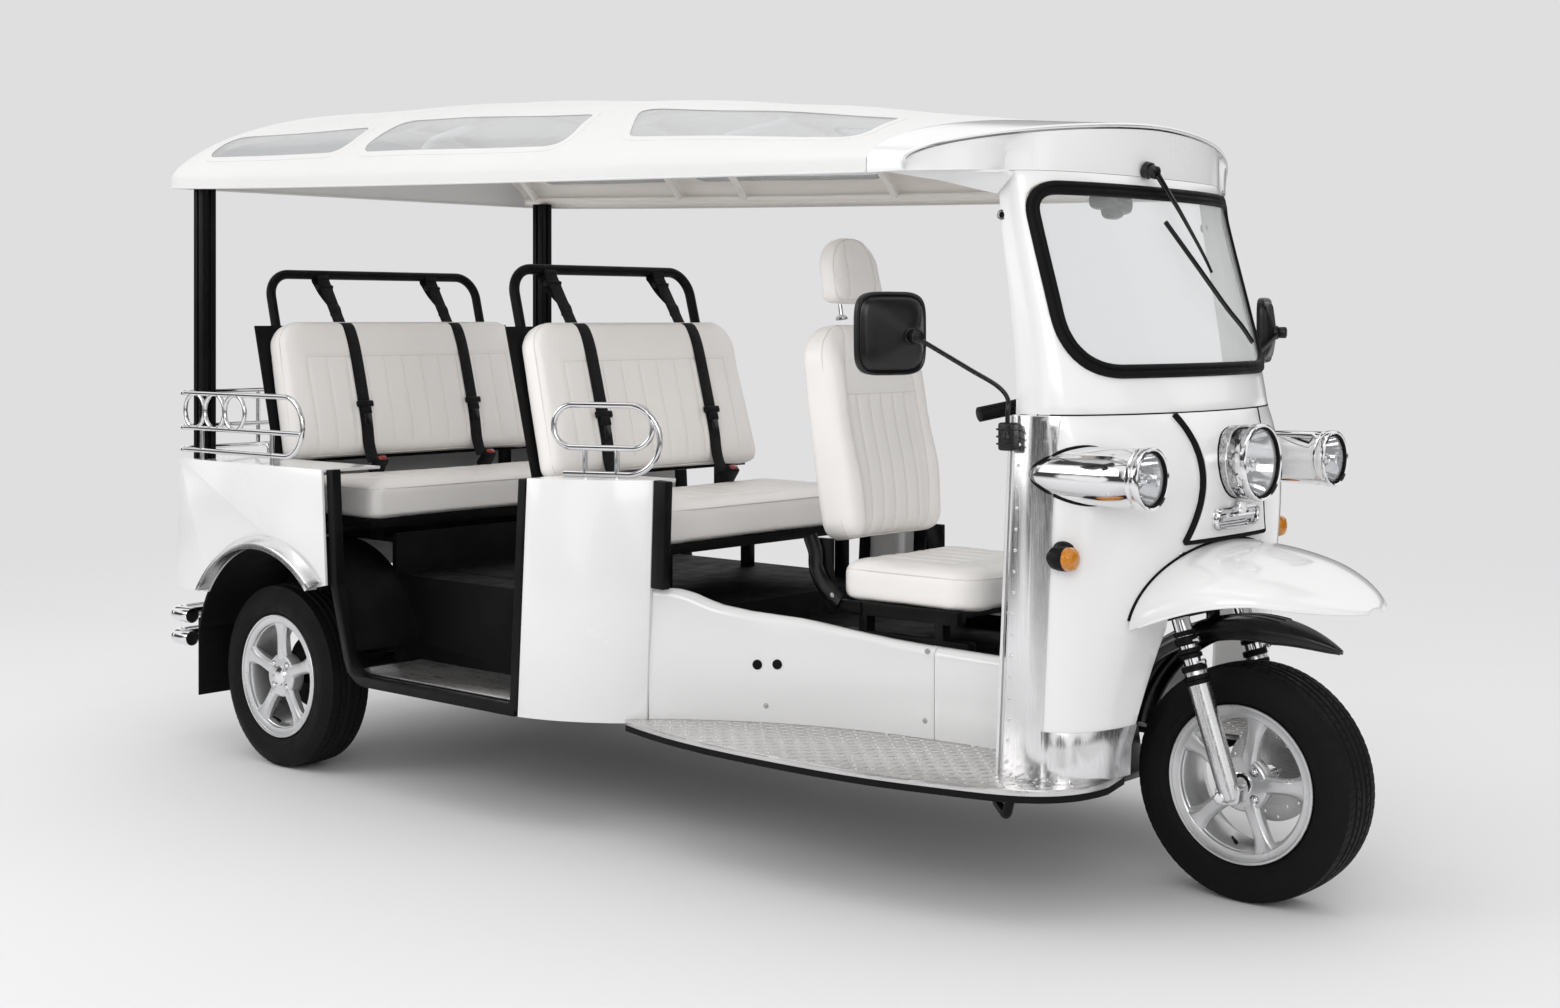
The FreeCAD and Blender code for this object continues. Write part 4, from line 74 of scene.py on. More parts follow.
class Shader:
    """A small builder round one Principled shader."""

    def __init__(self, name, colour, roughness, metallic=0.0, **sockets):
        self.material = bpy.data.materials.new(name)
        self.material.use_nodes = True
        self.nodes = self.material.node_tree.nodes
        self.links = self.material.node_tree.links
        self.bsdf = self.nodes["Principled BSDF"]
        self.colour = (*colour, 1.0)
        self.set("Base Color", self.colour)
        self.set("Roughness", roughness)
        self.set("Metallic", metallic)
        for socket, value in sockets.items():
            self.set(socket.replace("_", " "), value)
        self.roughness = roughness
        self.place = self.nodes.new("ShaderNodeTexCoord").outputs["Object"]
        self.height = None

    def set(self, socket, value):
        self.bsdf.inputs[socket].default_value = value

    def node(self, kind, **inputs):
        node = self.nodes.new("ShaderNode" + kind)
        for key, value in inputs.items():
            socket = node.inputs[key.replace("_", " ")]
            if hasattr(value, "is_output"):
                self.links.new(value, socket)
            else:
                socket.default_value = value
        return node

    def noise(self, scale, detail=3.0, roughness=0.5, stretch=None):
        place = self.place
        if stretch:
            mapping = self.node("Mapping", Vector=place)
            mapping.inputs["Scale"].default_value = stretch
            place = mapping.outputs["Vector"]
        node = self.node("TexNoise", Vector=place, Scale=scale, Detail=detail, Roughness=roughness)
        return node.outputs["Fac"]

    def cells(self, scale):
        return self.node("TexVoronoi", Vector=self.place, Scale=scale).outputs["Distance"]

    def waves(self, scale, direction):
        node = self.node("TexWave", Vector=self.place, Scale=scale, Distortion=0.0)
        node.bands_direction = direction
        return node.outputs["Fac"]

    def mapped(self, value, low, high, to_low, to_high):
        node = self.node("MapRange", Value=value)
        for key, number in (("From Min", low), ("From Max", high), ("To Min", to_low), ("To Max", to_high)):
            node.inputs[key].default_value = number
        return node.outputs["Result"]

    def math(self, operation, first, second=0.0):
        node = self.nodes.new("ShaderNodeMath")
        node.operation = operation
        for i, value in enumerate((first, second)):
            if hasattr(value, "is_output"):
                self.links.new(value, node.inputs[i])
            else:
                node.inputs[i].default_value = value
        return node.outputs[0]

    def vary_colour(self, factor, other, amount=1.0):
        """Mixes the base colour towards another one by a factor between 0 and 1."""
        node = self.nodes.new("ShaderNodeMix")
        node.data_type = "RGBA"
        scaled = self.math("MULTIPLY", factor, amount)
        self.links.new(scaled, node.inputs[0])
        before = self.bsdf.inputs["Base Color"]
        if before.is_linked:
            self.links.new(before.links[0].from_socket, node.inputs[6])
        else:
            node.inputs[6].default_value = self.colour
        node.inputs[7].default_value = (*other, 1.0)
        self.links.new(node.outputs[2], self.bsdf.inputs["Base Color"])

    def vary_roughness(self, factor, low, high):
        self.links.new(self.mapped(factor, 0.3, 0.7, low, high), self.bsdf.inputs["Roughness"])

    def bump(self, height, distance, strength=1.0):
        """Adds fine relief; distance is its depth in metres."""
        node = self.node("Bump", Height=height, Distance=distance, Strength=strength)
        if self.height:
            self.links.new(self.height, node.inputs["Normal"])
        self.height = node.outputs["Normal"]
        self.links.new(self.height, self.bsdf.inputs["Normal"])

    def wear(self, scale, detail, low, high, colour, amount=1.0):
        """Patches in which the base colour moves towards another one."""
        self.vary_colour(self.mapped(self.noise(scale, detail), low, high, 0.0, 1.0), colour, amount)

    def mixed_with(self, share, other, flip=False):
        """Shows this shader and another one mixed by a share."""
        blend = self.nodes.new("ShaderNodeMixShader")
        self.links.new(share, blend.inputs[0])
        self.links.new(self.bsdf.outputs[0], blend.inputs[2 if flip else 1])
        self.links.new(other.outputs[0], blend.inputs[1 if flip else 2])
        self.links.new(blend.outputs[0], self.nodes["Material Output"].inputs["Surface"])


def times(colour, factor):
    return tuple(c * factor for c in colour)


def paint(name, colour, roughness=0.22):
    """Gloss paint on moulded panels: clear coat, faint orange peel and dust."""
    s = Shader(name, colour, roughness, Coat_Weight=0.6, Coat_Roughness=0.06)
    s.bump(s.noise(220, 2), 0.00006)
    s.vary_roughness(s.noise(3.2, 4), roughness - 0.04, roughness + 0.06)
    s.wear(1.1, 3, 0.4, 0.75, times(colour, 0.975))
    return s.material


def vinyl(name, colour):
    """Smooth seat vinyl: soft pebble grain, slight sheen, and painted shade in the hollows of the grain."""
    s = Shader(name, colour, 0.42, Coat_Weight=0.08, Coat_Roughness=0.35)
    grain = s.cells(620)
    s.bump(grain, 0.00022, 0.6)
    s.bump(s.noise(60, 3), 0.0004, 0.35)
    s.bump(s.noise(14, 3), 0.0022, 0.4)
    s.vary_roughness(s.noise(22, 4), 0.36, 0.5)
    s.wear(2.6, 4, 0.42, 0.7, times(colour, 0.95))
    # Painted shade: the hollows of the grain are darkened towards a deeper cream.
    s.vary_colour(s.mapped(grain, 0.0, 0.3, 1.0, 0.0), times(colour, 0.9), 0.35)
    return s.material


def coated_fabric(name, colour):
    """Coated canopy cloth with a fine plain weave under the coating."""
    s = Shader(name, colour, 0.5, Sheen_Weight=0.06)
    weave = s.math("MULTIPLY", s.waves(340, "X"), s.waves(340, "Y"))
    s.bump(weave, 0.00012, 0.5)
    s.bump(s.noise(5, 3), 0.004, 0.25)
    s.vary_roughness(s.noise(9, 3), 0.44, 0.58)
    s.wear(1.6, 4, 0.4, 0.7, times(colour, 0.96))
    return s.material


def satin_black(name, colour=(0.004, 0.004, 0.0045), roughness=0.35, specular=0.12):
    """Powder-coated steel, with dust in its grain."""
    s = Shader(name, colour, roughness, Coat_Weight=0.02, Coat_Roughness=0.3, Specular_IOR_Level=specular)
    s.bump(s.noise(900, 2), 0.00005, 0.7)
    s.vary_roughness(s.noise(18, 4), roughness - 0.06, roughness + 0.12)
    s.wear(7, 5, 0.5, 0.8, (0.010, 0.010, 0.011), 0.6)
    return s.material


def grained_plastic(name, colour=(0.005, 0.005, 0.0055)):
    s = Shader(name, colour, 0.42, Specular_IOR_Level=0.16)
    s.bump(s.cells(1100), 0.00012, 0.6)
    s.vary_roughness(s.noise(30, 3), 0.36, 0.52)
    s.wear(9, 4, 0.5, 0.8, (0.012, 0.012, 0.0125), 0.5)
    return s.material


def rubber(name, colour=(0.005, 0.005, 0.0052), roughness=0.55):
    s = Shader(name, colour, roughness, Specular_IOR_Level=0.12)
    s.bump(s.noise(500, 3), 0.00008, 0.7)
    s.vary_roughness(s.noise(24, 4), roughness - 0.08, roughness + 0.12)
    s.wear(12, 5, 0.52, 0.8, (0.011, 0.011, 0.011), 0.5)
    return s.material


def chrome(name, colour=(0.86, 0.86, 0.87), roughness=0.06):
    s = Shader(name, colour, roughness, 1.0)
    s.vary_roughness(s.noise(14, 4), roughness - 0.015, roughness + 0.04)
    s.bump(s.noise(9, 2), 0.0003, 0.25)
    s.wear(5, 4, 0.45, 0.8, times(colour, 0.93))
    return s.material


def brushed(name, colour=(0.78, 0.78, 0.79), roughness=0.22, direction=(1, 60, 60)):
    s = Shader(name, colour, roughness, 1.0)
    streaks = s.noise(14, 4, 0.6, direction)
    s.vary_roughness(streaks, roughness - 0.06, roughness + 0.1)
    s.bump(streaks, 0.00005, 0.5)
    s.wear(6, 4, 0.4, 0.8, times(colour, 0.88))
    return s.material


def cast_alloy(name, colour=(0.66, 0.665, 0.67)):
    """Silver lacquer over a cast wheel: metal flake, clear coat, brake dust in the hollows."""
    s = Shader(name, colour, 0.3, 0.75, Coat_Weight=0.5, Coat_Roughness=0.12)
    s.bump(s.cells(1800), 0.00003, 0.5)
    s.vary_roughness(s.noise(16, 4), 0.25, 0.38)
    s.wear(8, 4, 0.45, 0.8, times(colour, 0.85))
    return s.material


def clear(name, colour=(0.95, 0.96, 0.96), roughness=0.0, thin=0.14, ripple=0.0):
    """A clear sheet: mostly transparent, with gloss that grows towards grazing angles."""
    s = Shader(name, colour, roughness, Transmission_Weight=0.0)
    if ripple:
        s.bump(s.noise(7, 2), ripple, 0.8)
    glass = s.node("BsdfTransparent")
    glass.inputs["Color"].default_value = (*colour, 1.0)
    fresnel = s.node("LayerWeight", Blend=0.12)
    s.mixed_with(s.mapped(fresnel.outputs["Facing"], 0.0, 1.0, thin, 0.6), glass, True)
    s.vary_roughness(s.noise(4, 3), roughness, roughness + 0.03)
    return s.material


def lens(name, colour, roughness=0.08):
    """Moulded lamp plastic with a fine pattern inside."""
    s = Shader(name, colour, roughness, Coat_Weight=0.8, Coat_Roughness=0.04, Transmission_Weight=0.25)
    s.bump(s.cells(260), 0.0006, 0.6)
    s.vary_roughness(s.noise(20, 3), roughness, roughness + 0.06)
    s.vary_colour(s.mapped(s.cells(260), 0.0, 0.5, 0.0, 1.0), times(colour, 0.6), 0.6)
    return s.material


def webbing(name, colour=(0.005, 0.005, 0.0055)):
    s = Shader(name, colour, 0.75, Sheen_Weight=0.05, Specular_IOR_Level=0.2)
    weave = s.math("MULTIPLY", s.waves(420, "Y"), s.waves(300, "Z"))
    s.bump(weave, 0.0004, 0.8)
    s.vary_colour(weave, (0.012, 0.012, 0.0125), 0.5)
    s.vary_roughness(s.noise(40, 3), 0.68, 0.85)
    return s.material


WHITE = (0.765, 0.762, 0.76)
CREAM = (0.90, 0.875, 0.85)
MATERIALS = {
    "alloy_rim": cast_alloy("cast_alloy"),
    "tyre": rubber("tyre_rubber", (0.0055, 0.0055, 0.0058), 0.6),
    "disc_steel": brushed("disc_steel", (0.5, 0.5, 0.5), 0.25, (40, 1, 40)),
    "fork_chrome": brushed("satin_fork", (0.74, 0.745, 0.75), 0.24, (30, 30, 1)),
    "black_plastic": grained_plastic("black_plastic"),
    "mirror_black": satin_black("mirror_black", (0.003, 0.003, 0.0033), 0.30, 0.45),
    "gloss_black": satin_black("gloss_black", (0.003, 0.003, 0.0033), 0.18, 0.45),
    "black_frame": satin_black("black_frame"),
    "black_floor": satin_black("black_floor", (0.002, 0.002, 0.0022), 0.55),
    "axle_black": satin_black("axle_black", (0.005, 0.005, 0.005), 0.55),
    "white_body": paint("white_paint", WHITE),
    "polished_trim": brushed("polished_trim", (0.84, 0.84, 0.845), 0.2, (60, 60, 1)),
    "red_lens": lens("red_lens", (0.45, 0.01, 0.012)),
    "black_rubber": rubber("black_rubber"),
    "chrome": chrome("bright_chrome"),
    "tread_plate": brushed("tread_plate", (0.74, 0.73, 0.72), 0.30, (1, 12, 12)),
    "clear_glass": clear("clear_glass", thin=0.05),
    "lamp_glass": clear("lamp_glass", (0.97, 0.975, 0.98), 0.0, 0.08),
    "roof_window": clear("roof_window", (0.86, 0.87, 0.88), 0.04, 0.18, 0.004),
    # The underside's fabric is a lighter, warmer copy of the canopy fabric: painted light on the shaded underside.
    "painted_light_underside": coated_fabric("painted_light_underside", (0.88, 0.845, 0.80)),
    "canopy_fabric": coated_fabric("canopy_fabric", (0.70, 0.695, 0.69)),
    "pale_frame": paint("pale_frame", (0.86, 0.83, 0.79), 0.4),
    "amber_lens": lens("amber_lens", (0.85, 0.30, 0.01)),
    "cream_vinyl": vinyl("cream_vinyl", CREAM),
    "belt_webbing": webbing("belt_webbing"),
}


# Mesh helpers

UP, LEFT = Vector((0, 0, 1)), Vector((0, 1, 0))


def link(name, mesh):
    obj = bpy.data.objects.new(name, mesh)
    bpy.context.scene.collection.objects.link(obj)
    return obj


def from_data(name, vertices, faces):
    mesh = bpy.data.meshes.new(name)
    mesh.from_pydata([tuple(v) for v in vertices], [], [tuple(f) for f in faces])
    mesh.update()
    return link(name, mesh)


def activate(obj):
    bpy.ops.object.select_all(action="DESELECT")
    obj.select_set(True)
    bpy.context.view_layer.objects.active = obj


def baked(obj):
    """Applies all modifiers of a piece."""
    activate(obj)
    for modifier in list(obj.modifiers):
        bpy.ops.object.modifier_apply(modifier=modifier.name)
    return obj


@contextmanager
def edited(obj):
    """The mesh of a piece, open for edits and written back afterwards."""
    grown = bmesh.new()
    grown.from_mesh(obj.data)
    yield grown
    grown.to_mesh(obj.data)
    grown.free()


def shade(obj, angle):
    """Smooth shading up to an angle, with the sharp edges marked in the mesh."""
    obj.data.shade_smooth()
    limit = math.radians(angle)
    with edited(obj) as grown:
        for edge in grown.edges:
            edge.smooth = not (len(edge.link_faces) == 2 and edge.calc_face_angle(0.0) > limit)


def bevelled(obj, width, segments=2, angle=32):
    modifier = obj.modifiers.new("edge", "BEVEL")
    modifier.width = width
    modifier.segments = segments
    modifier.limit_method = "ANGLE"
    modifier.angle_limit = math.radians(angle)
    modifier.harden_normals = False
    return baked(obj)


def join(name, objects):
    activate(objects[0])
    for obj in objects:
        obj.select_set(True)
    bpy.ops.object.join()
    joined = bpy.context.view_layer.objects.active
    joined.name = name
    return joined


def piece(obj, slot, body="chassis", replaces=(), material=None, angle=32):
    """Finishes a piece of the scene: its material, its slot and the body it rides on."""
    obj.data.materials.clear()
    obj.data.materials.append(material or MATERIALS[slot])
    shade(obj, angle)
    if replaces:
        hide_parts(*replaces)
    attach(obj, body)
    return obj


def standing_for(node, obj, **looks):
    """A piece in place of a CAD node, on the node's own body and in its own slot."""
    return piece(obj, SLOT_OF[node], BODY_OF[node], (node,), **looks)


def dressed(node, bevel):
    """A rounded, smoothly shaded piece in place of a CAD node, from the node's own mesh."""
    obj = link(node + "_finish", frame["nodes"][node].data.copy())
    with edited(obj) as grown:
        bmesh.ops.remove_doubles(grown, verts=grown.verts, dist=0.00002)
        bmesh.ops.dissolve_limit(grown, angle_limit=math.radians(0.6), verts=grown.verts, edges=grown.edges)
    if bevel:
        bevelled(obj, bevel)
    standing_for(node, obj)


def lathe(name, profile, segments, centre, axis="Y"):
    """A closed ring of a profile of (radius, along) points turned about an axis."""
    vertices, faces = [], []
    count = len(profile)
    for i in range(segments):
        angle = 2 * math.pi * i / segments
        for radius, along in profile:
            u, v = radius * math.cos(angle), radius * math.sin(angle)
            vertices.append(Vector(centre) + (Vector((u, along, v)) if axis == "Y" else Vector((along, u, v))))
    for i in range(segments):
        for j in range(count):
            a, b = i * count + j, i * count + (j + 1) % count
            c, e = (i + 1) % segments * count + (j + 1) % count, (i + 1) % segments * count + j
            faces.append((a, b, c, e))
    return outward(from_data(name, vertices, faces))


def outward(obj):
    """Turns all faces of a closed piece to its outside."""
    with edited(obj) as grown:
        bmesh.ops.recalc_face_normals(grown, faces=grown.faces)
    return obj


def skins(name, outer, inner, closed):
    """A double skin between two grids of points, closed round its rows or capped at its ends."""
    rows, count = len(outer), len(outer[0])
    vertices = [p for row in outer for p in row] + [p for row in inner for p in row]
    offset = rows * count
    faces = []
    for i in range(rows if closed else rows - 1):
        k = (i + 1) % rows
        for j in range(count - 1):
            a, b = i * count + j, k * count + j
            faces.append((a, b, b + 1, a + 1))
            faces.append((offset + a, offset + a + 1, offset + b + 1, offset + b))
        for j in (0, count - 1):
            a, b = i * count + j, k * count + j
            faces.append((a, b, offset + b, offset + a))
    if not closed:
        last = offset - count
        faces += [(last + j, last + j + 1, offset + last + j + 1, offset + last + j) for j in range(count - 1)]
        faces += [tuple(range(count)), tuple(offset + j for j in reversed(range(count))),
                  (0, offset, offset + count - 1, count - 1)]
    return outward(from_data(name, vertices, faces))


def loft(name, rings, caps=True):
    """A skin through rings of equally many points, closed round and capped at the ends."""
    count = len(rings[0])
    vertices = [point for ring in rings for point in ring]
    faces = []
    for i in range(len(rings) - 1):
        for j in range(count):
            k = (j + 1) % count
            faces.append((i * count + j, i * count + k, (i + 1) * count + k, (i + 1) * count + j))
    if caps:
        faces.append(tuple(range(count))[::-1])
        faces.append(tuple((len(rings) - 1) * count + j for j in range(count)))
    return outward(from_data(name, vertices, faces))


def boolean(obj, other, operation="DIFFERENCE"):
    """Cuts one piece by another one, which is used up."""
    modifier = obj.modifiers.new("cut", "BOOLEAN")
    modifier.operation = operation
    modifier.object = other
    modifier.solver = "EXACT"
    baked(obj)
    bpy.data.objects.remove(other)
    return obj


def catmull(points, steps):
    """Points along a smooth curve through the given ones."""
    points = [Vector(p) for p in points]
    result = []
    for i, (p1, p2) in enumerate(zip(points, points[1:])):
        p0 = points[i - 1] if i else p1 * 2 - p2
        p3 = points[i + 2] if i + 2 < len(points) else p2 * 2 - p1
        for j in range(steps):
            t = j / steps
            result.append(((p1 * 2) + (p2 - p0) * t + (p0 * 2 - p1 * 5 + p2 * 4 - p3) * t * t
                           + (p1 * 3 - p0 - p2 * 3 + p3) * t ** 3) / 2)
    return result + points[-1:]


def heading(path, i, closed=False):
    """The direction of a path at one of its points."""
    before = path[i - 1] if closed or i > 0 else path[i]
    after = path[(i + 1) % len(path)] if closed or i + 1 < len(path) else path[i]
    return (after - before).normalized()


def ring_at(point, side, over, outline):
    """An outline of (across, up) points set up at a place."""
    return [point + side * a + over * b for a, b in outline]


def sweep(name, path, outline, closed=False):
    """A solid of an outline of (across, up) points carried along a path."""
    path = [Vector(p) for p in path]
    rings = []
    side = None
    for i, point in enumerate(path):
        run = heading(path, i, closed)
        if side is None:
            side = run.cross(UP)
            if side.length < 0.01:
                side = run.cross(LEFT)
        side = (side - run * side.dot(run)).normalized()
        rings.append(ring_at(point, side, side.cross(run), outline))
    if closed:
        return outward(merged(loft(name, rings + rings[:1], False)))
    return loft(name, rings)


def merged(obj, distance=0.00001):
    with edited(obj) as grown:
        bmesh.ops.remove_doubles(grown, verts=grown.verts, dist=distance)
    return obj


def circle(radius, count=12):
    return [(radius * math.cos(2 * math.pi * i / count), radius * math.sin(2 * math.pi * i / count))
            for i in range(count)]


def mirrored(obj, name=None):
    """A copy of a piece on the other side of the vehicle, in the same mesh."""
    copy = obj.copy()
    copy.data = obj.data.copy()
    bpy.context.scene.collection.objects.link(copy)
    copy.data.transform(Matrix.Scale(-1, 4, LEFT))
    copy.data.flip_normals()
    return join(name or obj.name, [obj, copy])


# Wheels

TREAD_GROOVES = (-0.034, -0.0115, 0.0115, 0.034)
GROOVE_HALF = 0.0032
GROOVE_DEPTH = 0.0055
TREAD_HALF = 0.062
TREAD_START = 0.2565
TREAD_PITCHES = 78
SEGMENTS_PER_PITCH = 5


def tyre_profile():
    """Section of the tyre from bead to bead, as (radius, along) points."""
    half = TYRE_WIDTH / 2
    bead = RIM_WIDTH / 2 - 0.010
    side = [(BEAD_RADIUS + 0.001, -bead), (RIM_RADIUS + 0.001, -bead), (RIM_RADIUS + 0.003, -bead - 0.005),
            (0.188, -half + 0.006), (0.196, -half + 0.0035), (0.1985, -half + 0.0022), (0.201, -half + 0.0030),
            (0.212, -half + 0.0002), (0.222, -half), (0.232, -half + 0.0008), (0.236, -half + 0.0030),
            (0.239, -half + 0.0034), (0.248, -half + 0.0075), (0.2555, -half + 0.0125)]
    steps = 42
    places = [-TREAD_HALF + 2 * TREAD_HALF * i / steps for i in range(steps + 1)]
    tread = [(TYRE_RADIUS - 0.0032 * abs(y / 0.059) ** 2.4, y) for y in places]
    return side + tread + [(r, -y) for r, y in reversed(side)]


def tread_depth(y, angle):
    """How deep the road pattern is cut at one place of the tread."""
    depth = 0.0
    for groove in TREAD_GROOVES:
        depth = max(depth, 1 - max(0.0, abs(y - groove) - GROOVE_HALF * 0.55) / (GROOVE_HALF * 0.6))
    pitch = 2 * math.pi / TREAD_PITCHES
    sign = 1 if y > 0 else -1
    if abs(y) > 0.038:
        sipe = abs(((angle + y * 1.6 * sign) / pitch) % 1 - 0.5)
        depth = max(depth, min(1.0, (0.10 - sipe) / 0.06) * 0.30)
    elif 0.0155 < abs(y) and (abs(y) - 0.0155) / 0.014 < 0.75:
        sipe = abs(((angle - y * 2.4 * sign) / pitch) % 1 - 0.5)
        depth = max(depth, min(1.0, (0.07 - sipe) / 0.05) * 0.6)
    return max(0.0, min(1.0, depth)) * GROOVE_DEPTH


def tyre(name, node, x, y):
    """A tyre with its road tread cut into the outline."""
    profile = tyre_profile()
    segments = TREAD_PITCHES * SEGMENTS_PER_PITCH
    vertices, faces = [], []
    count = len(profile)
    for i in range(segments):
        angle = 2 * math.pi * i / segments
        for radius, along in profile:
            if radius > TREAD_START:
                radius -= tread_depth(along, angle)
            vertices.append((x + radius * math.cos(angle), y + along, TYRE_RADIUS + radius * math.sin(angle)))
    for i in range(segments):
        k = (i + 1) % segments
        for j in range(count - 1):
            faces.append((i * count + j, i * count + j + 1, k * count + j + 1, k * count + j))
        faces.append((i * count + count - 1, i * count, k * count, k * count + count - 1))
    standing_for(node, outward(from_data(name, vertices, faces)), angle=24)


# Front surfaces: the cowl and the screen as plan curves that change with height

def mix(low, high, share):
    return low + (high - low) * share


def bowed(value, power):
    """A sine or cosine drawn out towards a square, its sign kept."""
    return math.copysign(abs(value) ** (2 / power), value)


COWL_LEVELS = (0.302, 0.620, 0.830, 0.960, 1.100)
COWL_DEPTHS = (0.153, 0.182, 0.222, 0.232, 0.194)
COWL_CURVE = np.polyfit(COWL_LEVELS, COWL_DEPTHS, 4)
COWL_HALF = 0.470
SCREEN_LEVELS = (1.1003, 1.165, 1.427, 1.640)
SCREEN_CURVES = {
    "rear": np.polyfit(SCREEN_LEVELS, (1.217, 1.2143, 1.179, 1.151), 3),
    "side": np.polyfit(SCREEN_LEVELS, (1.263, 1.264, 1.215, 1.175), 3),
    "depth": np.polyfit(SCREEN_LEVELS, (0.194, 0.172, 0.142, 0.118), 3),
    "half": np.polyfit(SCREEN_LEVELS, (0.470, 0.465, 0.4534, 0.444), 3),
    "power": np.polyfit(SCREEN_LEVELS, (2.0, 2.05, 2.133, 2.2), 3),
}


def cowl_level(z):
    """Rear edge, start of the curve, its depth, half-width and squareness of the cowl at a height."""
    share = (z - COWL_LEVELS[0]) / (COWL_LEVELS[-1] - COWL_LEVELS[0])
    power = mix(4.2, 2.0, max(share, 0.0) ** 0.6)
    return (FRONT_AXLE_X - mix(0.364, 0.326, share), FRONT_AXLE_X - mix(0.303, 0.280, share),
            float(np.polyval(COWL_CURVE, z)), COWL_HALF, power)


def screen_level(z):
    return tuple(float(np.polyval(SCREEN_CURVES[key], z)) for key in ("rear", "side", "depth", "half", "power"))


def face_x(level, y, z, grow):
    """How far forward a front surface lies at one place of the front view."""
    _, side, depth, half, power = level(z)
    share = min(abs(y) / (half + grow), 1.0)
    return side + (depth + grow) * (1 - share ** power) ** (1 / power)


def on_face(level, y, z):
    return Vector((face_x(level, y, z, 0.0), y, z))


def face_normal(level, y, z):
    step = 0.002
    across = on_face(level, y + step, z) - on_face(level, y - step, z)
    rise = on_face(level, y, z + step) - on_face(level, y, z - step)
    return across.cross(rise).normalized()


def plan_ring(level, z, grow, rear_out=0.0, steps=26):
    """A closed plan outline of the front at one height."""
    rear, side, depth, half, power = level(z)
    half += grow
    depth += grow
    points = [(rear - rear_out, -half)] + [(mix(rear, side, k / 3), -half) for k in (1, 2)]
    for i in range(2 * steps + 1):
        angle = math.pi * i / (2 * steps)
        points.append((side + depth * bowed(math.sin(angle), power), -half * bowed(math.cos(angle), power)))
    points += [(x, -y) for x, y in reversed(points[:3])]
    return [Vector((x, y, z)) for x, y in points]


def front_shell(name, level, low, high, grow, wall, rows=24):
    """A wall of even thickness that follows the front between two heights."""
    heights = [mix(low, high, i / rows) for i in range(rows + 1)]
    shell = loft(name, [plan_ring(level, z, grow) for z in heights])
    room = [plan_ring(level, z, grow - wall, 0.03) for z in heights]
    past = UP * 0.01
    return boolean(shell, loft("room", [[v - past for v in room[0]]] + room + [[v + past for v in room[-1]]]))


def rounded(corners, radius, steps=8):
    """A closed outline of 2-D corners with each corner rounded; radius is one number or one per corner."""
    radii = radius if hasattr(radius, "__len__") else [radius] * len(corners)
    points = []
    for i, corner in enumerate(corners):
        corner = Vector(corner)
        into = (corner - Vector(corners[i - 1])).normalized()
        out = (Vector(corners[(i + 1) % len(corners)]) - corner).normalized()
        turn = into.angle(out)
        back = radii[i] * math.tan(turn / 2)
        first, last = corner - into * back, corner + out * back
        for k in range(steps + 1):
            t = k / steps
            points.append(first * (1 - t) ** 2 + corner * 2 * t * (1 - t) + last * t * t)
    return points


def front_prism(name, outline):
    """A closed front-view outline of (y, z) points pushed along the vehicle."""
    return loft(name, [[Vector((x, y, z)) for y, z in outline] for x in (1.193, 1.95)])


NOSE_CHIN = 0.817


def nose_side(z, grow=0.0):
    return 0.129 + 0.048 * ((z - 0.950) / 0.140) ** 2 + grow


def nose_outline(grow=0.0, high=1.12):
    low = NOSE_CHIN - grow
    side = [(nose_side(z, grow), z) for z in np.linspace(low, high, 20)]
    return [(-y, z) for y, z in side] + side[::-1]


def opening_outline():
    right = [(-0.282, 0.28), (-0.282, 0.368), (-0.186, 0.62), (-0.186, 0.79)]
    return right + [(-y, z) for y, z in reversed(right)]


def glass_outline(grow, corner=0.062):
    side = 0.65 * grow
    right = [(-0.438 - side, 1.180 - grow), (-0.437 - side, 1.617 + grow)]
    return rounded(right + [(-y, z) for y, z in reversed(right)], [2 * corner, corner, corner, 2 * corner], 12)


def front_body():
    """Cowl, nose panel, screen surround and windscreen, with smooth skins."""
    cowl = front_shell("cowl_skin", cowl_level, 0.3023, 1.100, 0.0, 0.008)
    boolean(cowl, front_prism("opening", opening_outline()))
    boolean(cowl, front_prism("nose_hole", nose_outline()))
    piece(bevelled(cowl, 0.0015, 2, 40), "white_body", replaces=("front_cowl",))
    nose = front_shell("nose_skin", cowl_level, 0.3023, 1.100, 0.012, 0.008)
    boolean(nose, front_prism("nose_zone", nose_outline(-0.0003)), "INTERSECT")
    piece(bevelled(nose, 0.003, 3, 40), "white_body", replaces=("nose_panel",))
    screen = front_shell("screen_skin", screen_level, 1.1015, 1.640, 0.0, 0.008)
    boolean(screen, front_prism("glass_hole", glass_outline(0)))
    piece(bevelled(screen, 0.0015, 2, 40), "white_body", replaces=("screen_cowl",))
    glass = front_shell("glass_pane", screen_level, 1.1015, 1.640, -0.001, 0.005)
    boolean(glass, front_prism("glass_zone", glass_outline(-0.014)), "INTERSECT")
    piece(glass, "clear_glass", replaces=("windscreen",))


def laid_on(name, points, normals, outline, closed=True, gap=0.0001):
    """A bar of an outline of (across, out) points that follows a line on a curved face."""
    rings = []
    for i, point in enumerate(points):
        side = normals[i].cross(heading(points, i, closed)).normalized()
        rings.append(ring_at(point, side, normals[i], outline))
    if closed:
        return outward(merged(loft(name, rings + rings[:1], False), gap))
    return loft(name, rings)


def strip_on_face(name, level, places, outline, closed=False):
    """A bar laid on a front surface along (y, z) places."""
    return laid_on(name, [on_face(level, y, z) for y, z in places], [face_normal(level, y, z) for y, z in places],
                   outline, closed)


def mirrored_line(points):
    """A symmetric outline from its right half."""
    return points + [(-across, out) for across, out in reversed(points)]


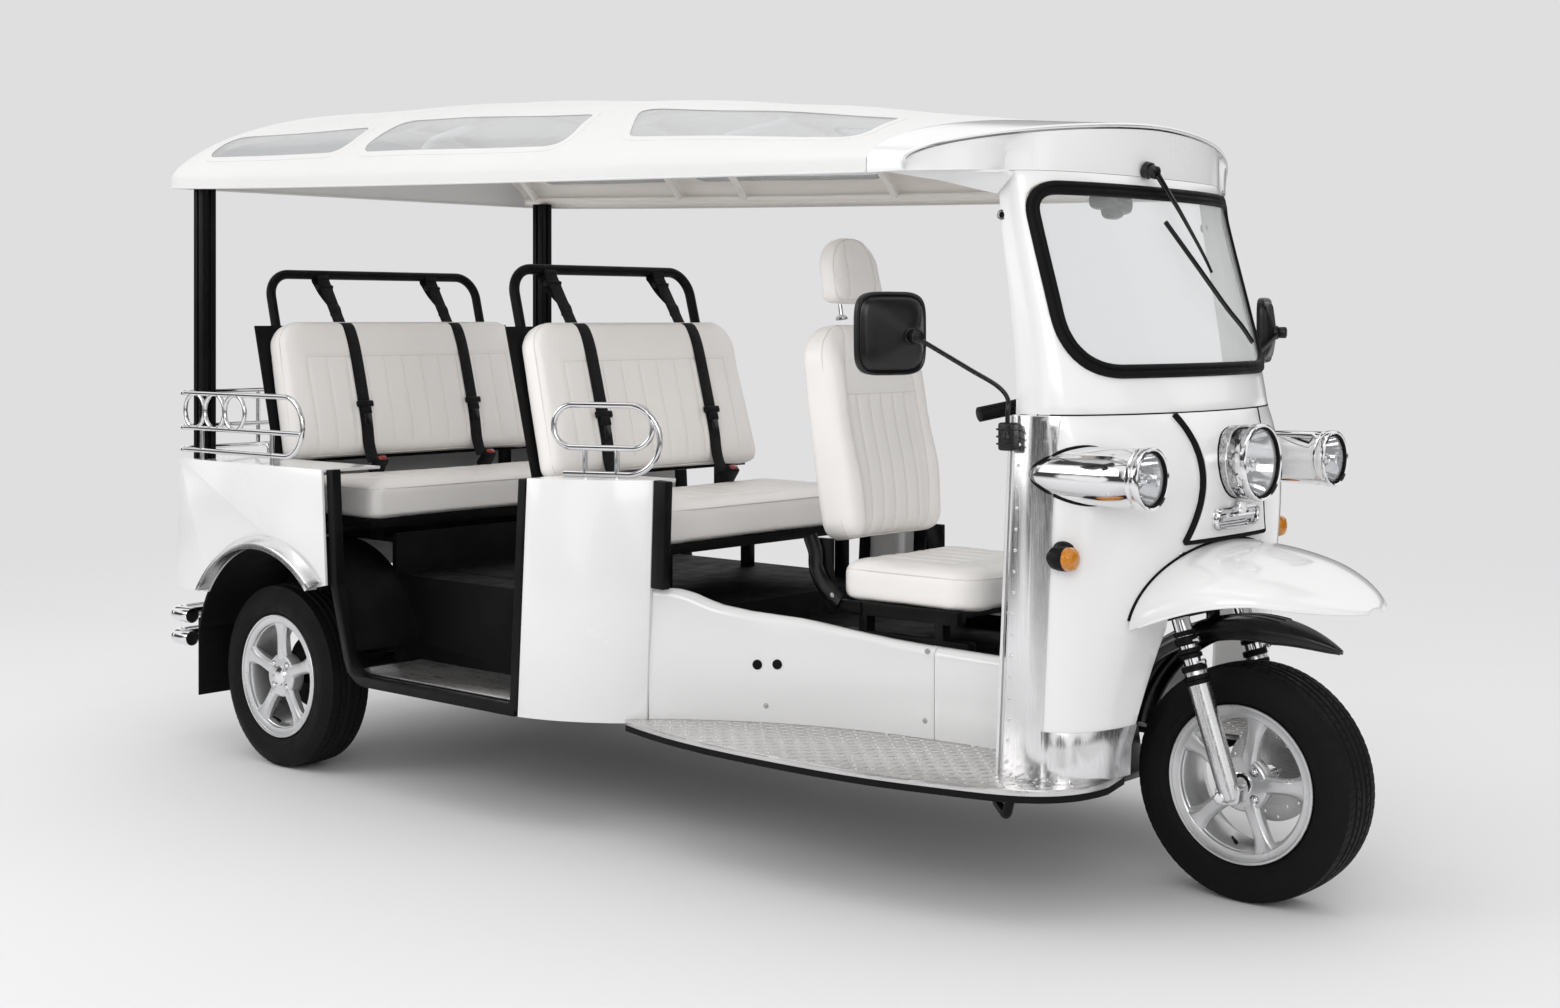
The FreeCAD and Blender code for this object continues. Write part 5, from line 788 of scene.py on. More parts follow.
def half_round(width, rise, sink=0.002, steps=8):
    turns = [math.pi * i / steps for i in range(steps + 1)]
    arch = [(width / 2 * math.cos(turn), rise * math.sin(turn)) for turn in turns]
    return [(width / 2, -sink)] + arch + [(-width / 2, -sink)]


def resampled(points, count, closed=True):
    """Points evenly spaced along a closed or open 2-D line."""
    line = [Vector(p) for p in points] + ([Vector(points[0])] if closed else [])
    lengths = [0.0]
    for a, b in zip(line, line[1:]):
        lengths.append(lengths[-1] + (b - a).length)
    result = []
    for i in range(count):
        target = lengths[-1] * i / (count if closed else count - 1)
        k = min(max(int(np.searchsorted(lengths, target, side="right")) - 1, 0), len(line) - 2)
        span = lengths[k + 1] - lengths[k] or 1.0
        result.append(line[k].lerp(line[k + 1], (target - lengths[k]) / span))
    return result


def front_rubber():
    """The windscreen gasket with its locking strip, the seam round the nose and the gap line under the screen."""
    line = resampled(glass_outline(-0.014), 220)
    profile = [(0.016, -0.003), (0.0155, 0.004), (0.012, 0.0082), (0.006, 0.0096), (0.003, 0.0088), (0.002, 0.0066)]
    gasket = strip_on_face("gasket_ring", screen_level, line, mirrored_line(profile), True)
    piece(gasket, "black_rubber", replaces=("screen_gasket",), angle=50)
    right = [(-nose_side(z, 0.004), z) for z in np.linspace(1.096, NOSE_CHIN - 0.002, 40)]
    chin = [(y, NOSE_CHIN - 0.005) for y in np.linspace(right[-1][0] + 0.004, -right[-1][0] - 0.004, 40)]
    places = right + chin + [(-y, z) for y, z in reversed(right)]
    seam = strip_on_face("nose_seam", cowl_level, places, half_round(0.011, 0.0125))
    piece(seam, "black_rubber", replaces=("rubber_trim",), angle=50)
    waist = [(y, 1.1008) for y in np.linspace(-0.4695, 0.4695, 90)]
    gap = strip_on_face("waist_gap", lambda z: cowl_level(min(z, COWL_LEVELS[-1])), waist,
                        [(0.0016, -0.006), (0.0016, 0.0005), (-0.0016, 0.0005), (-0.0016, -0.006)])
    piece(gap, "black_rubber")


# Fender: a beak over the wheel

FENDER_REAR, FENDER_TIP = FRONT_AXLE_X - 0.128, FRONT_AXLE_X + 0.294
FENDER_CREST = 0.8077
FENDER_POWER = 2.05


def fender_point(share, angle, inset=0.0):
    """One point of the fender: how far towards the tip, and the angle over the arch from right to left."""
    x = mix(FENDER_REAR, FENDER_TIP, share)
    crest = FENDER_CREST - (FENDER_CREST - 0.681) * share ** 2.35 - inset
    half = 0.324 * max(1 - share ** 2.2, 0.0) ** 0.62 + 0.008 * share - inset
    edge = mix(0.628, 0.698, math.sin(min(share / 0.62, 1) * math.pi / 2))
    if share > 0.62:
        edge = mix(0.698, 0.673, (share - 0.62) / 0.38)
    edge = min(edge, crest - 0.008)
    y = -half * bowed(math.cos(angle), FENDER_POWER)
    return Vector((x, y, edge + (crest - edge) * bowed(abs(math.sin(angle)), FENDER_POWER)))


def meets_cowl(place, high=0.6, grow=0.0):
    """The share along a line, given by a function, at which it comes out of the cowl."""
    low = 0.0
    for _ in range(26):
        share = (low + high) / 2
        point = place(share)
        if abs(point.y) < COWL_HALF + grow and point.x < face_x(cowl_level, point.y, point.z, grow):
            low = share
        else:
            high = share
    return (low + high) / 2


def fender():
    """The beak over the wheel, with rolled lips, and the rubber seam where it meets the cowl."""
    turns, runs = 56, 48
    outer, inner, places = [], [], []
    for i in range(turns + 1):
        angle = math.pi * i / turns
        start = meets_cowl(lambda share: fender_point(share, angle))
        shares = [start + (0.992 - start) * (1 - (1 - k / runs) ** 1.35) for k in range(runs)] + [0.992]
        outer.append([fender_point(share, angle) for share in shares])
        inner.append([fender_point(share, angle, 0.0045) for share in shares])
        if 1 < i < turns - 1:
            places.append((outer[-1][0].y, outer[-1][0].z))
    shell = loft("fender_skin", [[line[k] for line in outer] + [line[k] for line in reversed(inner)]
                                 for k in range(runs + 1)])
    lips = [sweep("lip", line[2:], circle(0.0034, 10)) for line in (outer[0], outer[-1])]
    piece(join("fender_skin", [shell] + lips), "white_body", replaces=("front_fender",))
    seam = strip_on_face("fender_seam", cowl_level, places, half_round(0.008, 0.005))
    piece(seam, "black_rubber", angle=50)


# Turned pieces

def turned(name, start, direction, profile, segments=32):
    """A solid turned about a line from start: profile is (distance along, radius), closed at both ends."""
    start, along = Vector(start), Vector(direction).normalized()
    side = along.cross(UP)
    side = side.normalized() if side.length > 0.01 else along.cross(LEFT).normalized()
    over = along.cross(side)
    spokes = [side * a + over * b for a, b in circle(1.0, segments)]
    return loft(name, [[start + along * distance + spoke * max(radius, 0.00005) for spoke in spokes]
                       for distance, radius in profile])


def hexagon_bolt(name, place, direction, size=0.008, height=0.006):
    """A domed bolt head on a washer."""
    washer = turned(name, place, direction, [(-0.001, size * 1.5), (0.0012, size * 1.5), (0.0016, size * 1.4)], 24)
    head = turned("head", place, direction, [(0, size), (height * 0.75, size), (height, size * 0.75)], 6)
    return join(name, [washer, head])


def dome(name, place, direction, radius, rise):
    turns = [math.pi / 2 * t / 5 for t in range(6)]
    profile = [(-0.001, radius)] + [(rise * math.sin(turn), radius * math.cos(turn)) for turn in turns]
    return turned(name, place, direction, profile, 16)


# Lamps

HEADLAMP = Vector((1.563, 0.0, 0.986))
POD = Vector((1.531, -0.424, 0.971))


POD_FORM = [(0.0, 0.068), (0.004, 0.0682), (0.013, 0.0676), (0.0155, 0.0652), (0.022, 0.0648), (0.0235, 0.0656),
            (0.026, 0.0656), (0.0275, 0.0646), (0.10, 0.0640), (0.15, 0.0630), (0.20, 0.0600), (0.235, 0.0555),
            (0.265, 0.0490), (0.290, 0.0405), (0.308, 0.0310), (0.319, 0.0190), (0.325, 0.002)]
HEAD_FORM = [(0.0, 0.088), (0.005, 0.0885), (0.013, 0.0880), (0.0155, 0.0852), (0.020, 0.0848), (0.045, 0.0842),
             (0.072, 0.0815), (0.088, 0.0700), (0.093, 0.0450)]


def lamp_shell(name, front, form, grow, wall=0.0025):
    """A bright lamp shell from its lens back to where it meets the cowl, and the line where they meet."""
    distances, radii = zip(*form)
    turns, runs, kept = 64, 26, 8
    near = sorted(1 - distance / distances[-1] for distance in distances[:kept])
    outer, inner, meeting = [], [], []
    for i in range(turns):
        angle = 2 * math.pi * i / turns

        def place(share):
            distance = distances[-1] * (1 - share)
            radius = float(np.interp(distance, distances, radii))
            return front + Vector((-distance, radius * math.cos(angle), radius * math.sin(angle)))

        start = meets_cowl(place, 1.0, grow)
        meeting.append(place(start))
        line = list(np.linspace(start, 1.0, runs))[:-kept] + near
        outer.append([place(max(share, start)) for share in line])
        middle = Vector((0, front.y, front.z))
        inward = []
        for p in outer[-1]:
            radius = max((Vector((0, p.y, p.z)) - middle).length, 0.004)
            inward.append(Vector((p.x, *(middle + (p - middle) * (1 - wall / radius)).yz)))
        inner.append(inward)
    return skins(name, outer, inner, True), meeting


def lathe_x(name, centre, profile, segments=64):
    """A ring turned about the vehicle's length: profile is (forward, radius)."""
    return lathe(name, [(radius, along) for along, radius in profile], segments, centre, "X")


def lamp_inside(front, radius):
    """Rim bead, dark seat ring, bright bowl, bulb shield and fluted lens of one lamp."""
    wall = radius - 0.0075
    bead = lathe_x("bead", front, [(0.001, radius), (0.0045, radius - 0.0012), (0.006, radius - 0.004),
                                   (0.004, wall), (-0.008, wall), (-0.012, radius - 0.001)])
    ring = lathe_x("seat", front, [(0.002, wall), (0.002, wall - 0.004), (-0.010, wall - 0.005), (-0.012, wall)])
    bowl = [(-0.008, wall - 0.004)]
    for i in range(1, 12):
        t = i / 12
        bowl.append((-0.008 - 0.055 * math.sin(t * math.pi / 2), (wall - 0.004) * (1 - t) ** 0.55 + 0.010 * t))
    back = [(x - 0.002, r + 0.001) for x, r in reversed(bowl)]
    mirror = lathe_x("bowl", front, bowl + back)
    shield = turned("shield", front + Vector((-0.055, 0, 0)), (1, 0, 0),
                    [(0, 0.010), (0.020, 0.010), (0.024, 0.013), (0.036, 0.013), (0.040, 0.009), (0.041, 0.0)], 24)
    steps = 20
    inner = wall - 0.0045
    outer = [(0.0095 * (1 - (i / steps) ** 2) - 0.004, inner * (i / steps)) for i in range(steps + 1)]
    cover = lathe_x("cover", front, outer + [(x - 0.0025, r) for x, r in reversed(outer)], 96)
    flute = 0.009
    for vertex in cover.data.vertices:
        reach = math.hypot(vertex.co.y - front.y, vertex.co.z - front.z)
        if reach < inner * 0.93:
            vertex.co.x += 0.0009 * math.sin((vertex.co.y - front.y) * 2 * math.pi / flute)
    return [bead, shield, mirror], ring, cover


def lamps():
    """Headlamp and pods: mirror-bright shells, gaskets against the cowl, lenses with flutes."""
    bright, dark, covers = [], [], []
    for side in (-1, 1, 0):
        front = Vector((POD.x, side * abs(POD.y), POD.z)) if side else HEADLAMP
        name, form, grow, radius, bead, points = (("pod", POD_FORM, -0.001, 0.068, 0.0042, 10) if side else
                                                  ("drum", HEAD_FORM, 0.011, 0.088, 0.003, 8))
        shell, meeting = lamp_shell(name, front, form, grow)
        bright.append(shell)
        dark.append(sweep(name + "_gasket", meeting, circle(bead, points), True))
        shiny, ring, cover = lamp_inside(front, radius)
        bright += shiny
        dark.append(ring)
        covers.append(cover)
        if side:
            bright.append(dome("pod_screw", front + Vector((-0.072, side * 0.0565, -0.0305)),
                               (0, side * 0.88, -0.475), 0.0045, 0.003))
    bright.append(turned("lamp_neck", (HEADLAMP.x - 0.05, 0, NOSE_CHIN + 0.078), (0, 0, -1),
                         [(0, 0.013), (0.020, 0.011), (0.026, 0.008)], 20))
    piece(join("lamp_shells", bright), "chrome", replaces=("front_lamps",), angle=40)
    piece(join("lamp_gaskets", dark), "black_rubber", angle=40)
    piece(join("lamp_covers", covers), "clear_glass", replaces=("lamp_lenses",), material=MATERIALS["lamp_glass"])


def signals():
    """Orange turn signals with ribbed lenses on black bodies and round rubber mounts."""
    lenses, bodies = [], []
    form = ((-0.010, 0.0255), (-0.004, 0.0262), (0.004, 0.0258), (0.010, 0.0225), (0.0135, 0.0165),
            (0.0148, 0.0085), (0.0150, 0.0002))
    count, ribs = 60, 12
    for side in (-1, 1):
        centre = Vector((FRONT_AXLE_X - 0.182, side * 0.472, 0.793))
        rings = []
        for k, (x, radius) in enumerate(form):
            ring = []
            for i in range(count):
                angle = 2 * math.pi * i / count
                star = 1 - 0.05 * (0.5 + 0.5 * math.cos(ribs * angle)) * (0 < k < len(form) - 1)
                ring.append(centre + Vector((x, radius * star * math.cos(angle), radius * star * math.sin(angle))))
            rings.append(ring)
        lenses.append(loft("signal_lens", rings))
        bodies.append(turned("signal_body", centre + Vector((-0.0095, 0, 0)), (-1, 0, 0),
                             [(0, 0.0262), (0.004, 0.0275), (0.020, 0.0270), (0.034, 0.0235), (0.044, 0.0150),
                              (0.046, 0.0)], 40))
        neck_end = Vector((centre.x - 0.030, side * 0.425, centre.z + 0.012))
        bodies.append(turned("signal_mount", neck_end, (0, side, 0.0),
                             [(0, 0.024), (0.038, 0.024), (0.044, 0.021), (0.050, 0.015), (0.066, 0.013)], 32))
    piece(join("signal_lenses", lenses), "amber_lens", replaces=("turn_signals",), angle=50)
    piece(join("signal_bodies", bodies), "black_plastic", angle=40)


def nose_badge_bar():
    """The long chrome bar with round ends and an inner slot, under the headlamp."""
    z, half, radius = 0.862, 0.072, 0.020
    outline = rounded([(-half - radius, z - radius), (half + radius, z - radius), (half + radius, z + radius),
                       (-half - radius, z + radius)], radius * 0.98, 10)
    rim = strip_on_face("bar_rim", cowl_level, resampled(outline, 90),
                        [(0.003, 0.006), (0.003, 0.022), (0.0015, 0.026), (-0.002, 0.026), (-0.005, 0.022),
                         (-0.005, 0.006)], True)
    bars = []
    for name, reach, section in (("bar_core", half, [(0.008, 0.006), (0.008, 0.020), (0.004, 0.024)]),
                                 ("bar_back", half + 0.008, [(0.016, 0.006), (0.016, 0.0135)])):
        places = [(y, z) for y in np.linspace(-reach, reach, 24)]
        bars.append(strip_on_face(name, cowl_level, places, mirrored_line(section)))
    piece(join("nose_badge_bar", [rim] + bars), "chrome", replaces=("nose_bar",), angle=40)


def cowl_edges():
    """Polished strips with rivets on the cowl's rear edges."""
    rivets = []
    for side in (-1, 1):
        for i in range(16):
            z = mix(0.335, 1.035, i / 15)
            place = (cowl_level(z)[0] + 0.014, side * 0.4732, z)
            rivets.append(dome("rivet", place, (0, side, 0), 0.0042, 0.0022))
        ends = [(cowl_level(z)[0] - 0.0085, side * 0.4745, z) for z in (0.304, 1.098)]
        rivets.append(sweep("strip_edge", ends, [(-0.004, -0.004), (0.004, -0.004), (0.004, 0.003),
                                                 (0.002, 0.005), (-0.002, 0.005), (-0.004, 0.003)]))
    piece(join("strip_rivets", rivets), "polished_trim", angle=40)


# Rims and the front brake

RIM_FORM = [(0.1785, 0.0655), (0.1788, 0.0685), (0.1775, 0.0700), (0.1745, 0.0700), (0.1722, 0.0692), (0.1712, 0.0665),
            (0.1690, 0.0655), (0.1560, 0.0650), (0.1530, 0.0625), (0.1515, 0.0560), (0.1490, 0.0545), (0.1470, 0.0500),
            (0.1455, 0.0200), (0.1450, -0.0300), (0.1500, -0.0480), (0.1580, -0.0600), (0.1600, -0.0695),
            (0.1775, -0.0695), (0.1775, -0.0620), (0.1650, -0.0600), (0.1650, -0.0400), (0.1490, -0.0280),
            (0.1490, 0.0280), (0.1650, 0.0400), (0.1650, 0.0600), (0.1740, 0.0610)]
SPOKE_FORM = ((0.036, 0.0235, 0.0560, 0.030), (0.052, 0.0205, 0.0590, 0.030), (0.072, 0.0182, 0.0602, 0.029),
              (0.096, 0.0176, 0.0606, 0.027), (0.118, 0.0192, 0.0612, 0.025), (0.134, 0.0228, 0.0622, 0.022),
              (0.146, 0.0290, 0.0636, 0.019), (0.1545, 0.0370, 0.0648, 0.016))
STUD_CIRCLE = 0.0445


def spoke(centre, sign, angle):
    """One flat-faced spoke with bevelled flanks that widens into the rim."""
    out = Vector((math.cos(angle), 0, math.sin(angle)))
    over = Vector((-math.sin(angle), 0, math.cos(angle)))
    rings = []
    for radius, half, face, depth in SPOKE_FORM:
        section = [(-half * 0.60, face - 0.0006), (-half * 0.3, face), (half * 0.3, face),
                   (half * 0.60, face - 0.0006), (half * 0.72, face - 0.0022), (half, face - 0.0105),
                   (half * 0.93, face - depth), (-half * 0.93, face - depth), (-half, face - 0.0105),
                   (-half * 0.72, face - 0.0022)]
        rings.append(ring_at(centre + out * radius, over, Vector((0, sign, 0)), section))
    return loft("spoke", rings)


def round_about(centre, radius, angle, along):
    """A place at an angle round an axle, so far along it."""
    return centre + Vector((radius * math.cos(angle), along, radius * math.sin(angle)))


def rim(name, node, x, y, sign, driven):
    """A cast five-spoke wheel with its nuts: a cap in the middle where it is driven, an open hub in front."""
    centre = Vector((x, y, TYRE_RADIUS))
    axis = (0, sign, 0)
    studs = [math.radians(45) + math.pi / 2 * i for i in range(4)]
    parts = [lathe("barrel", [(r, sign * a) for r, a in RIM_FORM], 120, centre)]
    lean = math.radians(90 if driven else 76)
    parts += [spoke(centre, sign, lean + 2 * math.pi * i / 5) for i in range(5)]
    hub = turned("hub", centre + Vector((0, sign * 0.018, 0)), axis,
                 [(0, 0.060), (0.030, 0.063), (0.0365, 0.062), (0.0395, 0.058), (0.0405, 0.040), (0.0405, 0.0005)], 64)
    for angle in studs:
        boolean(hub, turned("recess", round_about(centre, STUD_CIRCLE, angle, sign * 0.070), (0, -sign, 0),
                            [(0, 0.0118), (0.016, 0.0112), (0.022, 0.0095), (0.0225, 0)], 24))
    parts.append(bevelled(hub, 0.0010, 2, 40))
    piece(join(name + "_casting", parts), "alloy_rim", BODY_OF[node], (node,), angle=28)
    nuts, dark = [], []
    for angle in studs:
        place = round_about(centre, STUD_CIRCLE, angle, sign * 0.048)
        nuts.append(turned("nut", place, axis, [(0, 0.0085), (0.009, 0.0085), (0.0095, 0.0078)], 6))
        nuts.append(dome("nut_cap", place + Vector((0, sign * 0.009, 0)), axis, 0.0072, 0.0058))
    if driven:
        nuts.append(turned("cap", centre + Vector((0, sign * 0.054, 0)), axis,
                           [(0, 0.0290), (0.0075, 0.0288), (0.0095, 0.0272), (0.0098, 0.0250), (0.0088, 0.0240),
                            (0.0100, 0.0190), (0.0110, 0.0080), (0.0112, 0.0)], 48))
        for i in range(6):
            dark.append(turned("notch", round_about(centre, 0.0262, math.pi / 3 * i, sign * 0.0633), axis,
                               [(0, 0.0022), (0.0009, 0.0020), (0.001, 0.0)], 8))
    else:
        nuts.append(lathe("hub_ring", [(0.0270, sign * 0.0575), (0.0270, sign * 0.0610), (0.0245, sign * 0.0620),
                                       (0.0240, sign * 0.0575)], 48, centre))
        dark.append(lathe("hub_seal", [(0.0240, sign * 0.0575), (0.0240, sign * 0.0605), (0.0160, sign * 0.0605),
                                       (0.0150, sign * 0.0580), (0.0150, sign * 0.0560)], 48, centre))
    dark.append(turned("valve", round_about(centre, 0.139, math.radians(-98), sign * 0.045),
                       (0.15, sign * 0.8, 0.55), [(0, 0.0046), (0.016, 0.0040), (0.018, 0.0028), (0.026, 0.0028),
                                                  (0.0265, 0.0034), (0.032, 0.0034), (0.033, 0.0)], 14))
    piece(join(name + "_nuts", nuts), "chrome", BODY_OF[node])
    piece(join(name + "_dark", dark), "black_rubber", BODY_OF[node])


def brake():
    """Drilled front disc on a black carrier, behind the spokes."""
    centre = Vector((FRONT_AXLE_X, 0.0, TYRE_RADIUS))
    disc = lathe("disc", [(0.108, 0.0810), (0.108, 0.0870), (0.070, 0.0870), (0.070, 0.0810)], 72, centre)
    holes = [turned("hole", round_about(centre, (0.080, 0.089, 0.098)[i % 3], 2 * math.pi * i / 18, 0.078),
                    (0, 1, 0), [(0, 0.0036), (0.012, 0.0036)], 12) for i in range(18)]
    boolean(disc, join("holes", holes))
    carrier = lathe("carrier", [(0.071, 0.0820), (0.071, 0.0860), (0.020, 0.0870), (0.020, 0.0800)], 48, centre)
    standing_for("front_brake_disc", join("brake_disc_drilled", [disc, carrier]), angle=30)


for side, x, y, sign in (("front", FRONT_AXLE_X, 0.0, -1), ("rear_right", REAR_AXLE_X, -REAR_WHEEL_Y, -1),
                         ("rear_left", REAR_AXLE_X, REAR_WHEEL_Y, 1)):
    tyre(f"{side}_tyre_tread", f"{side}_tyre", x, y)
    rim(side, f"{side}_rim", x, y, sign, side != "front")
brake()


# Fork, its mudguard and the front end of the steering

RAKE = math.radians(18.3)
FOOT_Z, LEG_Y = 0.250, 0.140
GUARD_ENDS = (168.0, 55.5)


def leg_at(z, y):
    """The middle of a fork leg at a height."""
    return Vector((1.558 - (z - TYRE_RADIUS) * math.tan(RAKE), y, z))


def fork_legs():
    """Telescopic legs: satin sliders, chrome tubes, black rings, a flange and a bolt at each foot."""
    up = Vector((-math.sin(RAKE), 0, math.cos(RAKE)))
    satin, bright, black = [], [], []

    def up_leg(z):
        return (z - FOOT_Z) / math.cos(RAKE)

    for sign in (-1, 1):
        y = sign * LEG_Y
        foot = leg_at(FOOT_Z, y)
        reach = up_leg(0.525)
        satin.append(turned("slider", foot, up,
                            [(-0.006, 0.016), (0.0, 0.0225), (0.030, 0.0250), (0.12, 0.0255), (reach - 0.02, 0.0255),
                             (reach - 0.004, 0.0262), (reach, 0.0250)], 40))
        bright.append(turned("tube", foot, up, [(reach - 0.02, 0.0208), (up_leg(0.668), 0.0208)], 40))
        for z, radius, tall in ((0.499, 0.0285, 0.006), (0.509, 0.0285, 0.006), (0.529, 0.0290, 0.008),
                                (0.555, 0.0262, 0.006), (0.566, 0.0262, 0.006), (0.588, 0.0268, 0.010),
                                (0.604, 0.0250, 0.006)):
            start = up_leg(z)
            black.append(turned("ring", foot, up, [(start - tall, radius - 0.004), (start - tall * 0.7, radius),
                                                   (start + tall * 0.7, radius), (start + tall, radius - 0.004)], 40))
        for z in (0.545, 0.592):
            bright.append(turned("clamp_bolt", leg_at(z, y) + Vector((0.022, sign * 0.010, 0)), (1, 0, 0.3),
                                 [(0, 0.0035), (0.012, 0.0035), (0.012, 0.0060), (0.017, 0.0060),
                                  (0.018, 0.0045)], 12))
        flange = rounded([(1.522, 0.231), (1.585, 0.240), (1.592, 0.284), (1.534, 0.290)],
                         [0.018, 0.016, 0.016, 0.018])
        plate = loft("flange", [[Vector((px, face, pz)) for px, pz in flange]
                                for face in (y - sign * 0.030, y + sign * 0.012)])
        satin.append(bevelled(plate, 0.003, 3, 40))
        bolt_at = Vector((1.545, y + sign * 0.012, 0.252))
        bright.append(turned("foot_washer", bolt_at, (0, sign, 0),
                             [(-0.001, 0.0155), (0.0025, 0.0155), (0.003, 0.0145)], 32))
        bright.append(bevelled(turned("foot_bolt", bolt_at, (0, sign, 0),
                                      [(0.002, 0.0125), (0.0125, 0.0125), (0.0135, 0.0110)], 6), 0.0007, 2, 20))
    bright.append(turned("axle", (FRONT_AXLE_X, -0.128, TYRE_RADIUS), (0, 1, 0), [(0, 0.0095), (0.256, 0.0095)], 32))
    for sign in (-1, 1):
        bright.append(turned("axle_nut", (FRONT_AXLE_X, sign * 0.100, TYRE_RADIUS), (0, sign, 0),
                             [(0, 0.0145), (0.010, 0.0145), (0.011, 0.0125)], 6))
    crown_at = leg_at(0.662, 0.0)
    across = Vector((math.cos(RAKE), 0, math.sin(RAKE)))
    plan = rounded([(-0.035, -0.169), (0.035, -0.169), (0.035, 0.169), (-0.035, 0.169)], 0.03, 6)
    crown = loft("crown", [ring_at(crown_at + up * k, across, LEFT, plan) for k in (-0.026, 0.0)])
    black.append(bevelled(crown, 0.003, 3, 40))
    stem = leg_at(1.090, 0.0) - crown_at
    black.append(turned("stem", crown_at, stem, [(0, 0.015), (stem.length, 0.015)], 28))
    piece(join("fork_sliders", satin), "fork_chrome", "steering", ("fork",))
    piece(join("fork_bright", bright), "chrome", "steering")
    piece(join("fork_rings", black), "black_frame", "steering")


def mudguard():
    """Black beak over the tyre, pointed in front, with a folded edge, ribs and a rubber flap behind."""
    centre = Vector((FRONT_AXLE_X, 0, TYRE_RADIUS))
    turns, steps = 72, 20
    wall = 0.0035

    def lift(share):
        return 0.010 * max(share - 0.6, 0) / 0.4

    def guard_angle(share):
        return math.radians(mix(*GUARD_ENDS, share))

    def section(share, inset):
        angle = guard_angle(share)
        half = 0.088 * min(1.0, max(1 - ((share - 0.48) / 0.52), 0.0) ** 0.62 + 0.02) if share > 0.48 else 0.088
        half = max(half, 0.006)
        skirt = 0.046 * min(1.0, half / 0.05)
        line = []
        for k in range(steps + 1):
            turn = math.pi * k / steps
            across = -math.cos(turn)
            y = (half - inset) * math.copysign(abs(across) ** 0.55, across)
            drop = skirt * (1 - abs(math.sin(turn)) ** 0.55)
            line.append(round_about(centre, 0.372 + lift(share) - inset - drop, angle, y))
        return line

    shares = [i / turns for i in range(turns + 1)]
    parts = [loft("guard_shell", [section(share, 0.0) + section(share, wall)[::-1] for share in shares])]
    flap = []
    top = round_about(centre, 0.366, guard_angle(0), 0)
    for k in range(9):
        x = top.x + 0.023 * (k / 8) ** 1.4 + 0.001
        z = top.z + 0.006 - 0.136 * k / 8
        flap.append([Vector((x + out, y, z)) for out, y in ((-0.0025, -0.086), (-0.0025, 0.086), (0.0025, 0.086),
                                                            (0.0025, -0.086))])
    parts.append(bevelled(loft("guard_flap", flap), 0.0015, 2, 40))
    mount_at = leg_at(0.636, 0.0) + Vector((0.004, 0, -0.008))
    parts.append(turned("guard_mount", mount_at, (0, 0, -1), [(-0.012, 0.016), (0.020, 0.016)], 20))
    for end in (0, steps):
        parts.append(sweep("guard_edge", [section(share, wall / 2)[end] for share in shares], circle(0.0034, 8)))
    for y in (-0.030, 0.0, 0.030):
        path = []
        for i in range(61):
            share = mix(0.02, 0.80, i / 60)
            path.append(round_about(centre, 0.3715 - 0.0016 * (abs(y) / 0.03) + lift(share), guard_angle(share), y))
        parts.append(sweep("guard_rib", path, circle(0.0026, 8)))
    bolts = []
    for share, y in ((0.10, -0.05), (0.10, 0.05), (0.30, -0.06), (0.30, 0.06)):
        place = round_about(centre, 0.371, guard_angle(share), y)
        bolts.append(hexagon_bolt("guard_bolt", place, place - centre - LEFT * y, 0.0055, 0.004))
    piece(join("guard_beak", parts), "black_plastic", "steering", ("fork_mudguard",), MATERIALS["gloss_black"], 40)
    piece(join("guard_bolts", bolts), "black_frame", "steering")


fork_legs()
mudguard()


# Roof: one stretched cloth over the bows, clear windows welded in, and the hard cap in front

ROOF_REAR, ROOF_FRONT = REAR_AXLE_X - 0.514, FRONT_AXLE_X - 0.560
BOW_SHARES = (0.03, 0.296, 0.404, 0.632, 0.805, 0.985)
WINDOWS = ((0.050, 0.300, 0.043, 0.280, 0.045, 0.530), (0.325, 0.636, 0.312, 0.588, 0.045, 0.445),
           (0.700, 0.972, 0.618, 0.935, 0.085, 0.340))
CLOTH = 0.0014
VALANCE = 0.030
ROOF_POWER = 1.7
TURN_IN = 0.095


def roof_form(x):
    """Half-width, crown and hem height of the roof, and how far the cloth sags, at one place."""
    share = (x - ROOF_REAR) / (ROOF_FRONT - ROOF_REAR)
    crown = mix(1.986, 1.793, max(share, 0) ** 2.2)
    rise = min((x - ROOF_REAR) / TURN_IN, 1)
    round_off = 1 - math.sqrt(max(1 - (1 - rise) ** 2, 0))
    half = mix(0.735, 0.705, max(share, 0)) - 0.020 * round_off
    hem = mix(1.712, 1.630, min(max(share, 0), 1) ** 0.8)
    sag = 0.0
    for first, last in zip(BOW_SHARES, BOW_SHARES[1:]):
        if first < share < last:
            sag = 0.020 * (last - first) * math.sin(math.pi * (share - first) / (last - first)) ** 2
    return half, crown - 0.0855 * round_off, hem, sag


def roof_point(x, turn, inset=0.0):
    """A point of the roof's cloth: turn runs from 0 at the right edge to 1 at the left edge of the arch."""
    half, crown, hem, sag = roof_form(x)
    angle = math.pi * turn
    rise = abs(math.sin(angle))
    edge = hem + VALANCE
    y = -(half - inset) * bowed(math.cos(angle), ROOF_POWER)
    return Vector((x, y, edge + (crown - inset - edge) * bowed(rise, ROOF_POWER) - sag * rise))


def roof_at(x, y, inset=0.0):
    """The point of the cloth over a place of the plan."""
    half = roof_form(x)[0] - inset
    share = min(abs(y) / half, 1.0) ** (ROOF_POWER / 2)
    turn = math.acos(share) / math.pi
    return roof_point(x, turn if y < 0 else 1 - turn, inset)


